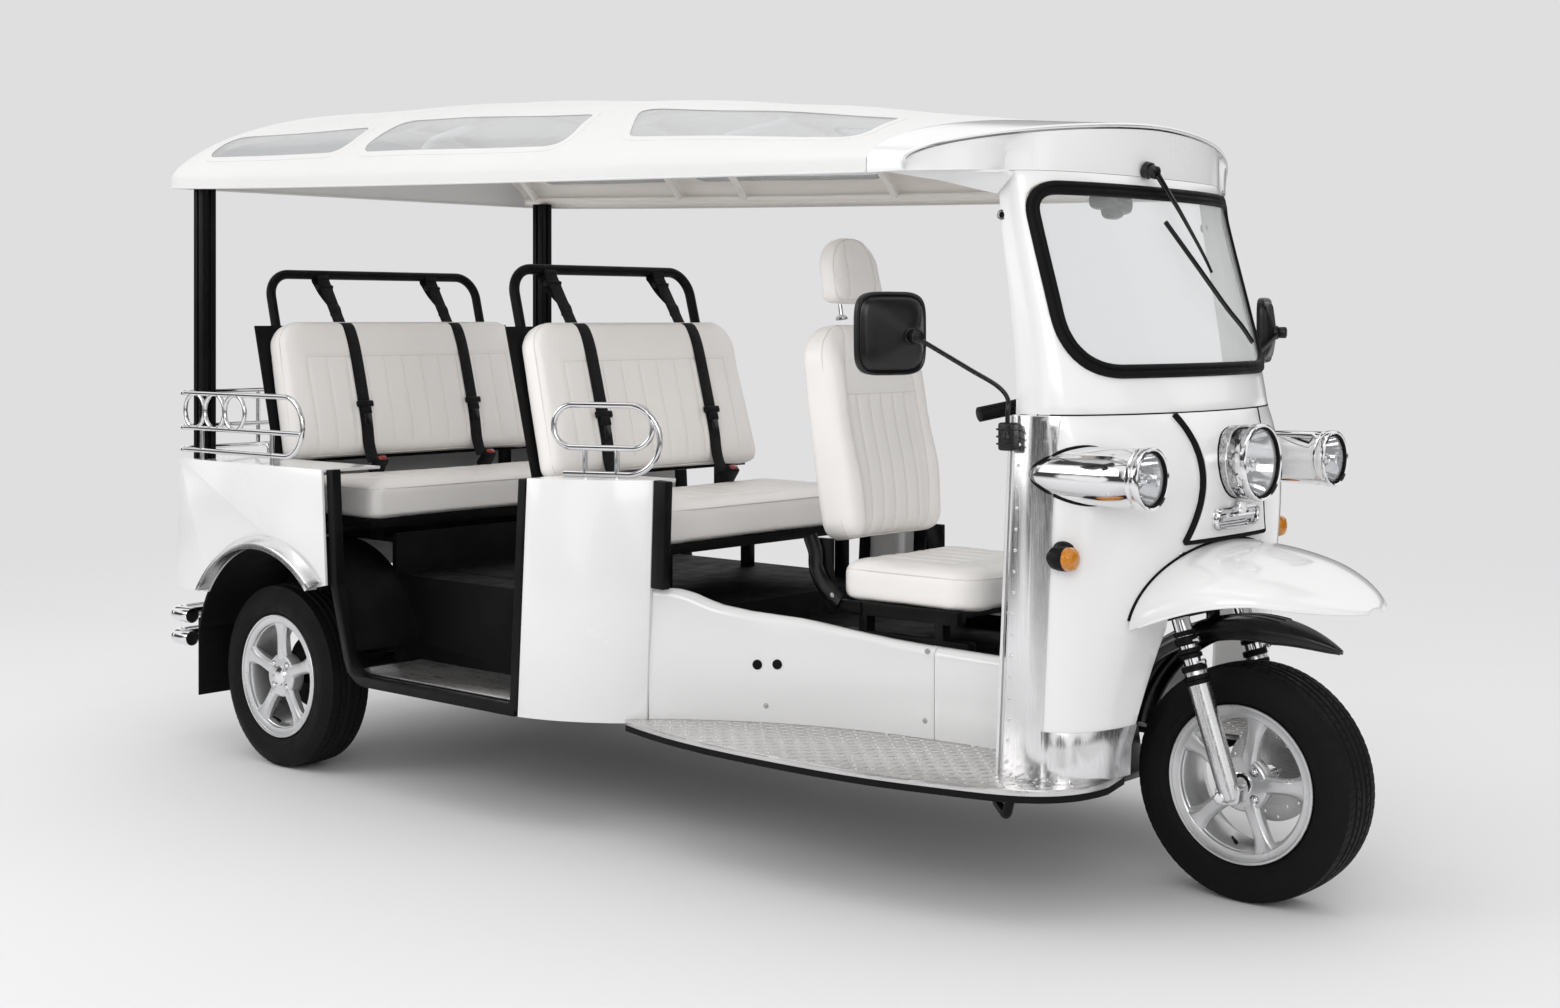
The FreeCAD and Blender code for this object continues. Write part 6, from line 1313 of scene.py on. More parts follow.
def roof_normal(x, y):
    step = 0.004
    along = roof_at(x + step, y) - roof_at(x - step, y)
    across = roof_at(x, y + step) - roof_at(x, y - step)
    return along.cross(across).normalized()


def roof_skin(name, outset, inset, rows=96, turns=72):
    """A thin closed skin of the whole roof between two depths, with its rear panel."""
    places = [ROOF_REAR + TURN_IN * (1 - math.cos(math.pi / 2 * i / 12)) for i in range(12)]
    places += [mix(ROOF_REAR + TURN_IN, ROOF_FRONT, i / rows) for i in range(rows + 1)]

    def ring(x, depth):
        hem = roof_form(x)[2]
        arch = [roof_point(x, i / turns, depth) for i in range(turns + 1)]
        right, left = ([Vector((x, end.y, mix(hem, end.z, k / 3))) for k in range(3)] for end in (arch[0], arch[-1]))
        return right + arch + left[::-1]

    return skins(name, [ring(x, outset) for x in places], [ring(max(x, ROOF_REAR + inset), inset) for x in places],
                 False)


def window_outline(span, side, grow=0.0):
    """Plan outline of one roof window, from above: its low edge lies further forward than its high edge."""
    first, last, first_high, last_high, margin, high = span
    low0, low1, top0, top1 = (mix(ROOF_REAR, ROOF_FRONT, share) for share in (first, last, first_high, last_high))
    edge0, edge1 = (roof_form(x)[0] - margin for x in (low0, low1))
    corners = [(low0 - grow, side * (edge0 + grow)), (low1 + grow, side * (edge1 + grow)),
               (top1 + grow, side * (high - grow)), (top0 - grow, side * (high + 0.030 - grow))]
    return rounded(corners if side < 0 else corners[::-1], 0.058 + grow, 8)


def upright_prism(name, outline):
    """A plan outline pushed up through the roof."""
    return loft(name, [[Vector((p.x, p.y, z)) for p in outline] for z in (1.6, 2.1)])


def canopy():
    """The cloth, with a lighter, warmer copy of its fabric on the underside as painted light, bands round the windows,
    hem cords and the window panes.
    """
    cloth = roof_skin("canopy_cloth", 0.0, CLOTH)
    places = [(span, side) for span in WINDOWS for side in (-1, 1)]
    bands = []
    for span, side in places:
        boolean(cloth, upright_prism("hole", window_outline(span, side)))
        line = resampled(window_outline(span, side, 0.006), 150)
        bands.append(laid_on("window_band", [roof_at(p.x, p.y) for p in line], [roof_normal(p.x, p.y) for p in line],
                             [(-0.011, -0.0004), (-0.0105, 0.0011), (-0.006, 0.0014), (0.006, 0.0014),
                              (0.0105, 0.0011), (0.011, -0.0004)], True, 0.00005))
    panes = roof_skin("window_panes", CLOTH + 0.0003, CLOTH + 0.0011, 60, 48)
    zones = [upright_prism("zone", window_outline(span, side, 0.010)) for span, side in places]
    boolean(panes, join("zones", zones), "INTERSECT")
    piece(panes, "clear_glass", replaces=("canopy_windows",), material=MATERIALS["roof_window"])
    piece(cloth, "canopy_fabric", replaces=("canopy",), angle=50)
    # Inward faces take the lighter, warmer copy of the fabric: painted light on the shaded underside.
    cloth.data.materials.append(MATERIALS["painted_light_underside"])
    for polygon in cloth.data.polygons:
        centre, normal = polygon.center, polygon.normal
        middle = Vector((centre.x, 0, 1.62))
        if normal.dot(centre - middle) < 0:
            polygon.material_index = 1
    hems = []
    for side in (-1, 1):
        path = []
        for i in range(81):
            x = mix(ROOF_REAR + 0.004, ROOF_FRONT - 0.001, i / 80)
            half, _, hem, _ = roof_form(x)
            path.append((x, (half - CLOTH / 2) * side, hem + 0.0035))
        hems.append(sweep("hem_cord", path, circle(0.0036, 10)))
    half, _, hem, _ = roof_form(ROOF_REAR + 0.002)
    hems.append(sweep("hem_cord", [(ROOF_REAR + 0.004, y, hem + 0.0035) for y in (-half + 0.01, half - 0.01)],
                      circle(0.0036, 10)))
    hem_piece = piece(join("canopy_hem", hems + bands), "canopy_fabric", angle=50)


VISOR_FRONT, VISOR_SWEEP, CAP_HALF = FRONT_AXLE_X - 0.243, 0.220, 0.705
CAP_START = ROOF_FRONT + 0.0003
SCREEN_HALF = 0.444


def visor_lip(y):
    """How far forward the visor's lip lies."""
    return VISOR_FRONT - VISOR_SWEEP * (abs(y) / CAP_HALF) ** 2.2


def cap_form(x):
    """Crown and springing height of the cap at one place."""
    share = (x - CAP_START) / (VISOR_FRONT - CAP_START)
    return mix(1.793, 1.765, share), 1.634 + VALANCE * (1 - share)


def cap_point(run, turn, inset=0.0, drop=0.0):
    """A point of the hard cap: run goes from the canopy to the lip, turn from right to left."""
    half = CAP_HALF - inset
    angle = math.pi * min(max(turn, 0.0), 1.0)
    y = -half * bowed(math.cos(angle), ROOF_POWER)
    x = mix(CAP_START, visor_lip(y), run)
    crown, spring = cap_form(x)
    z = spring + (crown - inset - spring) * bowed(abs(math.sin(angle)), ROOF_POWER)
    return Vector((x, y, mix(z, 1.630, drop)))


def cap_under(x, y, inset):
    """The height of the cap's underside over a place of the plan."""
    crown, spring = cap_form(x)
    share = min(abs(y) / (CAP_HALF - inset), 1)
    return spring + (crown - inset - spring) * (1 - share ** ROOF_POWER) ** (1 / ROOF_POWER)


def visor():
    """The hard cap with its lip, and the cove that closes it down to the screen."""
    turns, runs, wall = 84, 20, 0.010
    sides = [(0.0, 1.0), (0.0, 0.66), (0.0, 0.33)]
    line = sides + [(i / turns, 0.0) for i in range(turns + 1)] + [(1.0, drop) for _, drop in reversed(sides)]
    cap = loft("visor_cap", [[cap_point(k / runs, turn, 0.0, drop) for turn, drop in line]
                             + [cap_point(k / runs, turn, wall, drop) for turn, drop in reversed(line)]
                             for k in range(runs + 1)])
    piece(bevelled(cap, 0.0035, 3, 40), "white_body", replaces=("roof_visor",))
    half = CAP_HALF - wall - 0.003
    rows = []
    for i in range(97):
        y = half * math.sin(math.pi / 2 * (i / 48 - 1))
        lip_x = visor_lip(y) - 0.003
        lip_z = cap_under(lip_x, y, wall) - 0.004
        share = min(abs(y) / SCREEN_HALF, 1)
        outside = max(abs(y) - SCREEN_HALF, 0) / (half - SCREEN_HALF)
        low_x = mix(1.175 + 0.118 * (1 - share ** 2.2) ** (1 / 2.2), lip_x - 0.020, outside ** 0.8)
        low_z = mix(1.641, 1.632, outside)
        front, back = [], []
        for step in range(13):
            angle = math.pi / 2 * step / 12
            x = low_x + (lip_x - low_x) * (1 - math.cos(angle))
            z = low_z + (lip_z - low_z) * math.sin(angle)
            front.append(Vector((x, y, z)))
            back.append(Vector((x - 0.008 * math.cos(angle / 2), y, min(z + 0.004 * math.sin(angle), lip_z))))
        rows.append(front + back[::-1])
    piece(loft("brow_cove", rows), "white_body", replaces=("screen_brow",), angle=40)


front_body()
front_rubber()
fender()
lamps()
signals()
nose_badge_bar()
cowl_edges()
canopy()
visor()


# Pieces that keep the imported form, with rounded edges

EDGES = {
    "handlebar": 0.001, "chassis_frame": 0.002, "step_brackets": 0.0, "floor_tub": 0.002, "drive_unit": 0.002,
    "rear_body": 0.004, "arch_flares": 0.0008, "tail_lamps": 0.001, "mud_flaps": 0.0015, "rear_bumper": 0.001,
    "door_frames": 0.003, "mid_side_panels": 0.003, "step_plates": 0.0008, "cowl_strips": 0.0005,
    "roof_frame": 0.0, "rear_pillars": 0.001, "tail_rail": 0.0, "side_rails": 0.0, "bench_frames": 0.002,
    "driver_seat_frame": 0.002, "headrest_posts": 0.0,
}
for node, edge in EDGES.items():
    dressed(node, edge)


# Seats: padded forms swollen with simulated cloth, then their sewn channels and seams

BACK = Vector((-1, 0, 0))
CLOTH_STEPS = 20


def arc(start, end, steps):
    return [start + (end - start) * i / steps for i in range(steps + 1)]


def soft_outline(half, low, high, low_radius, high_radius, taper=0.0, steps=8):
    """A rounded outline of (y, height) points, narrower towards its top by the taper."""
    points = []
    for y, z, radius, start in ((-half, low, low_radius, 2), (half, low, low_radius, 3),
                                (half, high, high_radius, 0), (-half, high, high_radius, 1)):
        middle_y = y - math.copysign(radius, y)
        middle_z = z + radius if z == low else z - radius
        for turn in arc(start * math.pi / 2, (start + 1) * math.pi / 2, steps):
            points.append((middle_y + radius * math.cos(turn), middle_z + radius * math.sin(turn)))
    return [(y * (1 - taper * (z - low) / (high - low)), z) for y, z in points]


def pad_form(name, half, low, high, back, front, low_radius, high_radius, edge, taper=0.0):
    """A rounded pad: its outline lies in y and height, its thickness runs along x."""
    small = edge * 0.55
    depths = [(back + small * (1 - math.cos(turn)), small * (1 - math.sin(turn))) for turn in arc(0, math.pi / 2, 4)]
    depths += [(front - edge + edge * math.sin(turn), edge * (1 - math.cos(turn)))
               for turn in arc(0, math.pi / 2, 6)]
    rings = []
    for x, inset in depths:
        outline = soft_outline(half - inset, low + inset, high - inset, max(low_radius - inset, 0.006),
                               max(high_radius - inset, 0.006), taper)
        rings.append([Vector((x, y, z)) for y, z in outline])
    return loft(name, rings)


def read_points(points, key="co"):
    """The places or normals of a mesh as an array."""
    values = np.empty(len(points) * 3)
    points.foreach_get(key, values)
    return values.reshape(-1, 3)


def write_points(obj, places):
    obj.data.vertices.foreach_set("co", places.ravel())
    obj.data.update()


def swollen(obj, voxel, most):
    """The pad blown up by simulated cloth under pressure, no point moving further than most."""
    modifier = obj.modifiers.new("remesh", "REMESH")
    modifier.mode = "VOXEL"
    modifier.voxel_size = voxel
    baked(obj)
    rest = read_points(obj.data.vertices)
    scene = bpy.context.scene
    cloth = obj.modifiers.new("cloth", "CLOTH")
    cloth.settings.quality = 5
    cloth.settings.use_pressure = True
    cloth.settings.uniform_pressure_force = 4.0
    cloth.settings.effector_weights.gravity = 0.0
    cloth.point_cache.frame_start, cloth.point_cache.frame_end = 1, CLOTH_STEPS
    for step in range(1, CLOTH_STEPS + 1):
        scene.frame_set(step)
    moved = read_points(obj.evaluated_get(bpy.context.evaluated_depsgraph_get()).to_mesh().vertices)
    obj.modifiers.remove(cloth)
    scene.frame_set(1)
    move = moved - rest
    length = np.linalg.norm(move, axis=1, keepdims=True)
    write_points(obj, rest + move * np.minimum(1.0, most / np.maximum(length, 1e-9)))
    obj.modifiers.new("finer", "SUBSURF").levels = 1
    return baked(obj)


def sewn(obj, lines, depth=0.0032, width=0.0065):
    """Presses sewn channels into the front of a pad, along lines of (y, height) points."""
    places, normals = read_points(obj.data.vertices), read_points(obj.data.vertex_normals, "vector")
    nearest = np.full(len(places), 9.0)
    for line in lines:
        for a, b in zip(line, line[1:]):
            a, b = np.array(a), np.array(b)
            run = b - a
            share = np.clip(((places[:, 1:] - a) @ run) / max(run @ run, 1e-12), 0, 1)[:, None]
            nearest = np.minimum(nearest, np.linalg.norm(places[:, 1:] - a - share * run, axis=1))
    places[:, 0] -= depth * np.exp(-(nearest / width) ** 2) * np.clip(normals[:, 0] * 2 - 0.4, 0, 1)
    write_points(obj, places)


def surface_tree(obj):
    return BVHTree.FromPolygons([v.co for v in obj.data.vertices], [tuple(p.vertices) for p in obj.data.polygons])


def seams(name, tree, lines, loop_x, loop):
    """Threads along the channels, and the piped seam round the edge of the pad."""
    threads = []
    for line in lines:
        points = []
        for (y0, z0), (y1, z1) in zip(line, line[1:]):
            points += [(mix(y0, y1, share), mix(z0, z1, share)) for share in arc(0, 1, 12)[:-1]]
        points.append(line[-1])
        hits = [tree.ray_cast(Vector((1, y, z)), BACK)[0] for y, z in points]
        hits = [hit - Vector((0.0002, 0, 0)) for hit in hits if hit]
        if len(hits) > 3:
            threads.append(sweep(name, hits, circle(0.0011, 6)))
    hits = [tree.find_nearest(Vector((loop_x, y, z)))[0] for y, z in loop]
    threads.append(sweep(name, resampled(hits, 160), circle(0.0016, 6), True))
    return join(name, threads)


SEAM_VINYL = vinyl("seam_vinyl", (0.76, 0.73, 0.695))
BENCH_BACK_LEAN = 15
CUSHION_GAP = 0.06025


def pad(node, form, axes, lines, voxel=0.013, most=0.011, shape=None):
    """One seat pad: form holds half-width, low, high, back, front, the two corner radii, edge and taper."""
    half, low, high, back, front, low_radius, high_radius, edge, taper = form
    obj = swollen(pad_form(node + "_pad", *form), voxel, most)
    if shape:
        for vertex in obj.data.vertices:
            vertex.co = shape(vertex.co)
        obj.data.update()
    sewn(obj, lines)
    tree = surface_tree(obj)
    loop = soft_outline(half + 0.006, low - 0.006, high + 0.006, low_radius, high_radius, taper)
    sewing = seams(node + "_seams", tree, lines, front - edge * 0.35, loop)
    for part in (obj, sewing):
        part.data.transform(axes)
        if axes.determinant() < 0:
            part.data.flip_normals()
    standing_for(node, obj, angle=70)
    piece(sewing, SLOT_OF[node], BODY_OF[node], material=SEAM_VINYL, angle=70)
    return tree


def leaned(x, z, angle):
    """Axes of a backrest: x out of its face, z up along it."""
    return Matrix.Translation((x, 0, z)) @ Matrix.Rotation(-math.radians(angle), 4, "Y")


def flat_axes(x, z):
    """Axes of a seat cushion: the pad's x points up and its z forwards."""
    return Matrix(((0, 0, 1, x), (0, 1, 0, 0), (1, 0, 0, z), (0, 0, 0, 1)))


def channels(half, low, high, pitch):
    """Upright channels between two heights, closed off by a cross seam at the upper one."""
    count = int(round(2 * half / pitch))
    lines = [[(-half + 2 * half * i / count, low), (-half + 2 * half * i / count, high)] for i in range(count + 1)]
    return lines + [[(-half, high), (half, high)]]


BENCHES = (("rear_bench", -1.501, -1.017, 0.520), ("mid_bench", -0.409, 0.103, 0.440))
BACK_TREES = {}
for name, rear, front, half in BENCHES:
    length = front - rear - CUSHION_GAP
    pad(name + "_cushion", (half - 0.007, 0.007, length - 0.007, 0.003, 0.103, 0.030, 0.034, 0.022, 0.0),
        flat_axes(rear + CUSHION_GAP, 0.722), channels(half - 0.13, 0.06, length - 0.085, 0.085), most=0.008)
    BACK_TREES[name] = pad(name + "_back", (half - 0.012, 0.008, 0.460, 0.006, 0.084, 0.030, 0.085, 0.030, 0.035),
                           leaned(rear, 0.850, BENCH_BACK_LEAN), channels(half - 0.115, 0.030, 0.330, 0.075))

SEAT_AXES = leaned(0.42125, 0.720, 9)


def bolstered(place):
    """The driver's backrest stands forward at both sides of its middle."""
    side = min(max((abs(place.y) - 0.125) / 0.045, 0), 1)
    fade = min(max((0.56 - place.z) / 0.12, 0), 1)
    front = min(max((place.x - 0.03) / 0.05, 0), 1)
    lumbar = 0.012 * math.exp(-((place.z - 0.17) / 0.11) ** 2)
    waist = 1 - 0.07 * math.exp(-((place.z - 0.02) / 0.12) ** 2)
    wing = 0.020 * side * side * (3 - 2 * side) * fade
    return Vector((place.x + front * (wing + lumbar), place.y * waist, place.z))


def rounded_head(place):
    """The headrest narrows towards its top and swells in the middle of its face."""
    share = min(max(place.z / 0.185, 0), 1)
    narrow = 1 - 0.16 * share ** 2.2
    return Vector((place.x - 0.010 * share ** 2, place.y * narrow, place.z))


def head_line(side):
    return [(side * y, z) for y, z in ((0.050, 0.012), (0.054, 0.06), (0.050, 0.12), (0.036, 0.160), (0.020, 0.178))]


back_lines = channels(0.098, 0.030, 0.385, 0.049)
for side in (-1, 1):
    back_lines.append([(side * y, z) for y, z in ((0.128, 0.02), (0.138, 0.15), (0.146, 0.30), (0.140, 0.42),
                                                  (0.118, 0.52), (0.100, 0.575))])
    back_lines.append([(side * 0.098, 0.385), (side * 0.144, 0.385)])
pad("driver_backrest", (0.215, 0.008, 0.582, 0.006, 0.094, 0.050, 0.110, 0.034, 0.06), SEAT_AXES,
    back_lines, 0.0097, 0.010, bolstered)
seat_lines = channels(0.120, 0.05, 0.300, 0.060) + [[(-0.120, 0.300), (0.120, 0.300)]]
pad("driver_cushion", (0.238, 0.007, 0.438, 0.003, 0.093, 0.045, 0.085, 0.026, 0.0), flat_axes(0.498, 0.606),
    seat_lines, 0.0097, 0.009)
up = (SEAT_AXES.to_3x3() @ UP).normalized()
collars = [turned("post_collar", SEAT_AXES @ Vector((0.0525, side * 0.0615, 0.588)), up,
                  [(0.0, 0.0155), (0.004, 0.0160), (0.008, 0.0135), (0.011, 0.0085), (0.012, 0.0058)], 28)
           for side in (-1, 1)]
piece(join("post_collars", collars), "chrome")
pad("driver_headrest", (0.099, 0.006, 0.179, 0.006, 0.078, 0.026, 0.084, 0.030, 0.0),
    SEAT_AXES @ Matrix.Translation((0.010, 0, 0.628)), [head_line(-1), head_line(1)], 0.0068, 0.007, rounded_head)


# Belts: webbing from the buckle up the backrest, over its top edge and round the hoop

def ribbon(name, path, width, thick):
    """Flat webbing along a path, its width across the vehicle."""
    form = ((-1, -0.4), (-0.96, -1), (0.96, -1), (1, -0.4), (1, 0.4), (0.96, 1), (-0.96, 1), (-1, 0.4))
    outline = [(a * width / 2, b * thick / 2) for a, b in form]
    rings = []
    for i, point in enumerate(path):
        run = heading(path, i)
        side = (LEFT - run * LEFT.dot(run)).normalized()
        rings.append(ring_at(point, side, side.cross(run), outline))
    return loft(name, rings)


def block(name, size, edge, taper=1.0):
    """A rounded block about the origin, its upper end narrower by the taper."""
    x, y, z = (s / 2 for s in size)
    corners = [(sx * x * (taper if sz > 0 else 1), sy * y * (taper if sz > 0 else 1), sz * z)
               for sz in (-1, 1) for sx, sy in ((-1, -1), (1, -1), (1, 1), (-1, 1))]
    faces = [(3, 2, 1, 0), (4, 5, 6, 7), (0, 1, 5, 4), (1, 2, 6, 5), (2, 3, 7, 6), (3, 0, 4, 7)]
    return bevelled(from_data(name, corners, faces), edge, 3, 20)


def belts():
    """Two lap belts for each bench: webbing over the backrest and round the hoop, with their fittings."""
    webs, blacks, reds, metals = [], [], [], []

    def fitting(group, name, size, edge, taper, axes):
        part = block(name, size, edge, taper)
        part.data.transform(axes)
        group.append(part)

    for name, rear, _, _ in BENCHES:
        tree, axes = BACK_TREES[name], leaned(rear, 0.850, BENCH_BACK_LEAN)
        for y in (-0.22, 0.22):
            path = [Vector((0.098, y, -0.016)), Vector((0.099, y, 0.008))]
            for step in range(21):
                path.append(tree.ray_cast(Vector((0.6, y, 0.030 + 0.0185 * step)), BACK)[0] + Vector((0.0024, 0, 0)))
            for turn in arc(0.35, 1.45, 7):
                aim = Vector((math.cos(turn), 0, math.sin(turn)))
                path.append(tree.ray_cast(Vector((0.035, y, 0.405)) + aim * 0.4, -aim)[0] + aim * 0.0022)
            for _ in range(4):
                path[1:-1] = [(a + b * 2 + c) / 4 for a, b, c in zip(path, path[1:], path[2:])]
            hoop = Vector((-0.0232, y, 0.615))
            for turn in arc(-0.5, 4.0, 16):
                path.append(hoop + Vector((math.cos(turn), 0, math.sin(turn))) * 0.0172)
            path += [Vector((x, y, z)) for x, z in ((-0.026, 0.585), (-0.012, 0.560), (0.010, 0.530),
                                                    (0.026, 0.508), (0.029, 0.478))]
            web = ribbon("belt", catmull(path, 2), 0.046, 0.0018)
            web.data.transform(axes)
            webs.append(web)
            face = tree.ray_cast(Vector((0.6, y, 0.17)), BACK)[0].x
            for group, thing, size, edge, taper, x, z, turn in (
                    (blacks, "slider", (0.013, 0.062, 0.020), 0.005, 1.0, face + 0.007, 0.172, 0.0),
                    (blacks, "tongue_body", (0.009, 0.040, 0.026), 0.0035, 0.9, face + 0.009, 0.152, 0.06),
                    (blacks, "hoop_collar", (0.020, 0.056, 0.016), 0.004, 1.0, -0.008, 0.585, 0.5),
                    (metals, "tongue", (0.0028, 0.026, 0.040), 0.0010, 1.0, face + 0.010, 0.122, 0.0)):
                fitting(group, thing, size, edge, taper, axes @ Matrix.Translation((x, y, z))
                        @ Matrix.Rotation(turn, 4, "Y"))
            buckle_at = Matrix.Translation((rear + 0.124, y, 0.850)) @ Matrix.Rotation(math.radians(38), 4, "Y")
            fitting(blacks, "buckle", (0.030, 0.046, 0.062), 0.006, 0.9, buckle_at)
            fitting(reds, "button", (0.016, 0.030, 0.010), 0.003, 0.9, buckle_at @ Matrix.Translation((0, 0, 0.031)))
            blacks.append(ribbon("buckle_stem", [Vector((rear + x, y, z)) for x, z in
                                                 ((0.075, 0.790), (0.088, 0.812), (0.110, 0.836))], 0.024, 0.004))
    piece(join("belt_webs", webs), "belt_webbing", replaces=("seat_belts",), angle=50)
    for name, group, look in (("belt_fittings", blacks, "black_plastic"), ("belt_buttons", reds, "red_lens"),
                              ("belt_tongues", metals, "gloss_black")):
        piece(join(name, group), "belt_webbing", material=MATERIALS[look])


belts()


# Running boards: tread plate over a rubber edge

def cut_level(obj, z, keep_above):
    """Keeps what lies above or below a height, its cut closed."""
    with edited(obj) as grown:
        geometry = grown.verts[:] + grown.edges[:] + grown.faces[:]
        cut = bmesh.ops.bisect_plane(grown, geom=geometry, plane_co=(0, 0, z), plane_no=UP,
                                     clear_inner=keep_above, clear_outer=not keep_above)
        edges = [item for item in cut["geom_cut"] if isinstance(item, bmesh.types.BMEdge)]
        bmesh.ops.holes_fill(grown, edges=edges, sides=0)
    outward(obj)


def stud(middle, turn):
    """Points and faces of one raised stud of the tread plate."""
    ahead, across = Vector((math.cos(turn), math.sin(turn), 0)), Vector((-math.sin(turn), math.cos(turn), 0))
    count = 8
    points = []
    for height, size in ((-0.0002, 1.0), (0.0011, 0.72)):
        for k in range(count):
            angle = 2 * math.pi * k / count
            long, wide = 0.0125 * math.cos(angle), 0.0042 * math.sin(angle) * (1 - 0.35 * math.cos(angle))
            points.append(middle + ahead * (long * size) + across * (wide * size) + UP * height)
    points.append(middle + UP * 0.0016)
    faces = []
    for k in range(count):
        after = (k + 1) % count
        faces += [(k, after, count + after, count + k), (count + k, count + after, 2 * count)]
    return points, faces


def running_boards():
    """Tread plate with raised studs over a rubber edge."""
    source = frame["nodes"]["running_boards"].data
    plate = merged(link("tread_plate_board", source.copy()), 0.00002)
    edge = merged(link("rubber_board_edge", source.copy()), 0.00002)
    cut_level(plate, 0.2885, True)
    cut_level(edge, 0.2880, False)
    for vertex in edge.data.vertices:
        if vertex.co.z < 0.2870:
            vertex.co.z = 0.2735
    tree = surface_tree(plate)
    vertices, faces = [], []
    pitch, reach = 0.0265, 0.017

    def on_plate(place):
        hit = tree.ray_cast(place + UP * 0.2, -UP)[0]
        return hit and hit.z > 0.3015

    for side in (-1, 1):
        for i in range(52):
            for j in range(20):
                middle = Vector((0.055 + pitch * i, side * (0.270 + pitch * j), BOARD_TOP))
                turn = math.radians(45 if (i + j) % 2 else -45)
                ends = [Vector((math.cos(turn + quarter), math.sin(turn + quarter), 0)) * reach
                        for quarter in (0, math.pi / 2, math.pi, 3 * math.pi / 2)]
                if all(on_plate(middle + end) for end in ends):
                    base = len(vertices)
                    points, sides = stud(middle, turn)
                    vertices += points
                    faces += [tuple(base + k for k in face) for face in sides]
    studs = outward(from_data("tread_studs", vertices, faces))
    piece(bevelled(plate, 0.0012, 2, 40), "tread_plate", replaces=("running_boards",))
    piece(studs, "tread_plate", material=MATERIALS["polished_trim"], angle=50)
    piece(bevelled(edge, 0.002, 2, 40), "black_rubber")


running_boards()


# Driver's plinth: a moulded wall with a rolled top edge, a joint, two grommets and its screws

PLINTH_TOP = ((0.152, 0.632), (0.20, 0.629), (0.23, 0.618), (0.26, 0.602), (0.29, 0.590), (0.35, 0.577), (0.41, 0.570),
              (0.47, 0.564), (0.53, 0.555), (0.59, 0.545), (0.65, 0.537), (0.71, 0.530), (0.80, 0.524), (0.95, 0.519),
              (1.240, 0.512))
ROLL = 0.022


def plinth_y(x):
    """How far from the middle the plinth's wall stands at one place."""
    return 0.262 + (0.540 - 0.262) * max((1.179 - x) / (1.179 - 0.160), 0) ** 3


def driver_plinth():
    """The wall on each side with its rolled edge, and the small black and bright pieces on it."""
    places, tops = zip(*PLINTH_TOP)
    walls = []
    for low_x, high_x, steps in ((0.152, 0.8422, 60), (0.8440, 1.2390, 30)):
        rings = []
        for x in arc(low_x, high_x, steps):
            y, top = plinth_y(x), float(np.interp(x, places, tops))
            line = [(y, BOARD_TOP), (y, top - ROLL)]
            line += [(y - ROLL * (1 - math.cos(a)), top - ROLL * (1 - math.sin(a)))
                     for a in arc(0.25, math.pi / 2, 6)]
            line += [(y - 0.034, top - 0.001), (y - 0.036, top - 0.012), (y - 0.036, BOARD_TOP)]
            rings.append([Vector((x, -a, b)) for a, b in line])
        walls.append(loft("plinth_wall", rings))
    wall = bevelled(join("plinth_walls", walls), 0.001, 2, 45)
    piece(mirrored(wall, "plinth_walls"), "white_body", replaces=("driver_plinth",), angle=40)
    blacks, screws = [], []
    for x, z, group in ((0.383, 0.446, blacks), (0.430, 0.449, blacks), (0.823, 0.512, screws),
                        (0.403, 0.344, screws), (0.817, 0.345, screws)):
        slope = (plinth_y(x + 0.01) - plinth_y(x - 0.01)) / 0.02
        out = Vector((-slope, -1, 0)).normalized()
        place = Vector((x, -plinth_y(x), z))
        if group is screws:
            screws.append(dome("plinth_screw", place, out, 0.0068, 0.0026))
            screws.append(hexagon_bolt("plinth_screw", place + out * 0.0018, out, 0.0030, 0.0014))
        else:
            blacks.append(turned("grommet", place, out, [(-0.001, 0.0125), (0.0016, 0.0125), (0.0022, 0.0112),
                                                         (0.0012, 0.0095), (0.0004, 0.0092), (0.0002, 0.0)], 28))
    blacks.append(loft("plinth_joint_back", [[Vector((x, -(plinth_y(x) - d), z)) for d, z in
                                              ((0.003, 0.303), (0.003, 0.50), (0.006, 0.50), (0.006, 0.303))]
                                             for x in (0.836, 0.850)]))
    piece(mirrored(join("plinth_grommets", blacks)), "black_rubber")
    piece(mirrored(join("plinth_screws", screws)), "chrome", material=MATERIALS["disc_steel"])


driver_plinth()


# Mirrors, wiper and small fittings

def superellipse(half_y, half_z, power, count=56):
    return [(half_y * bowed(a, power), half_z * bowed(b, power)) for a, b in circle(1.0, count)]


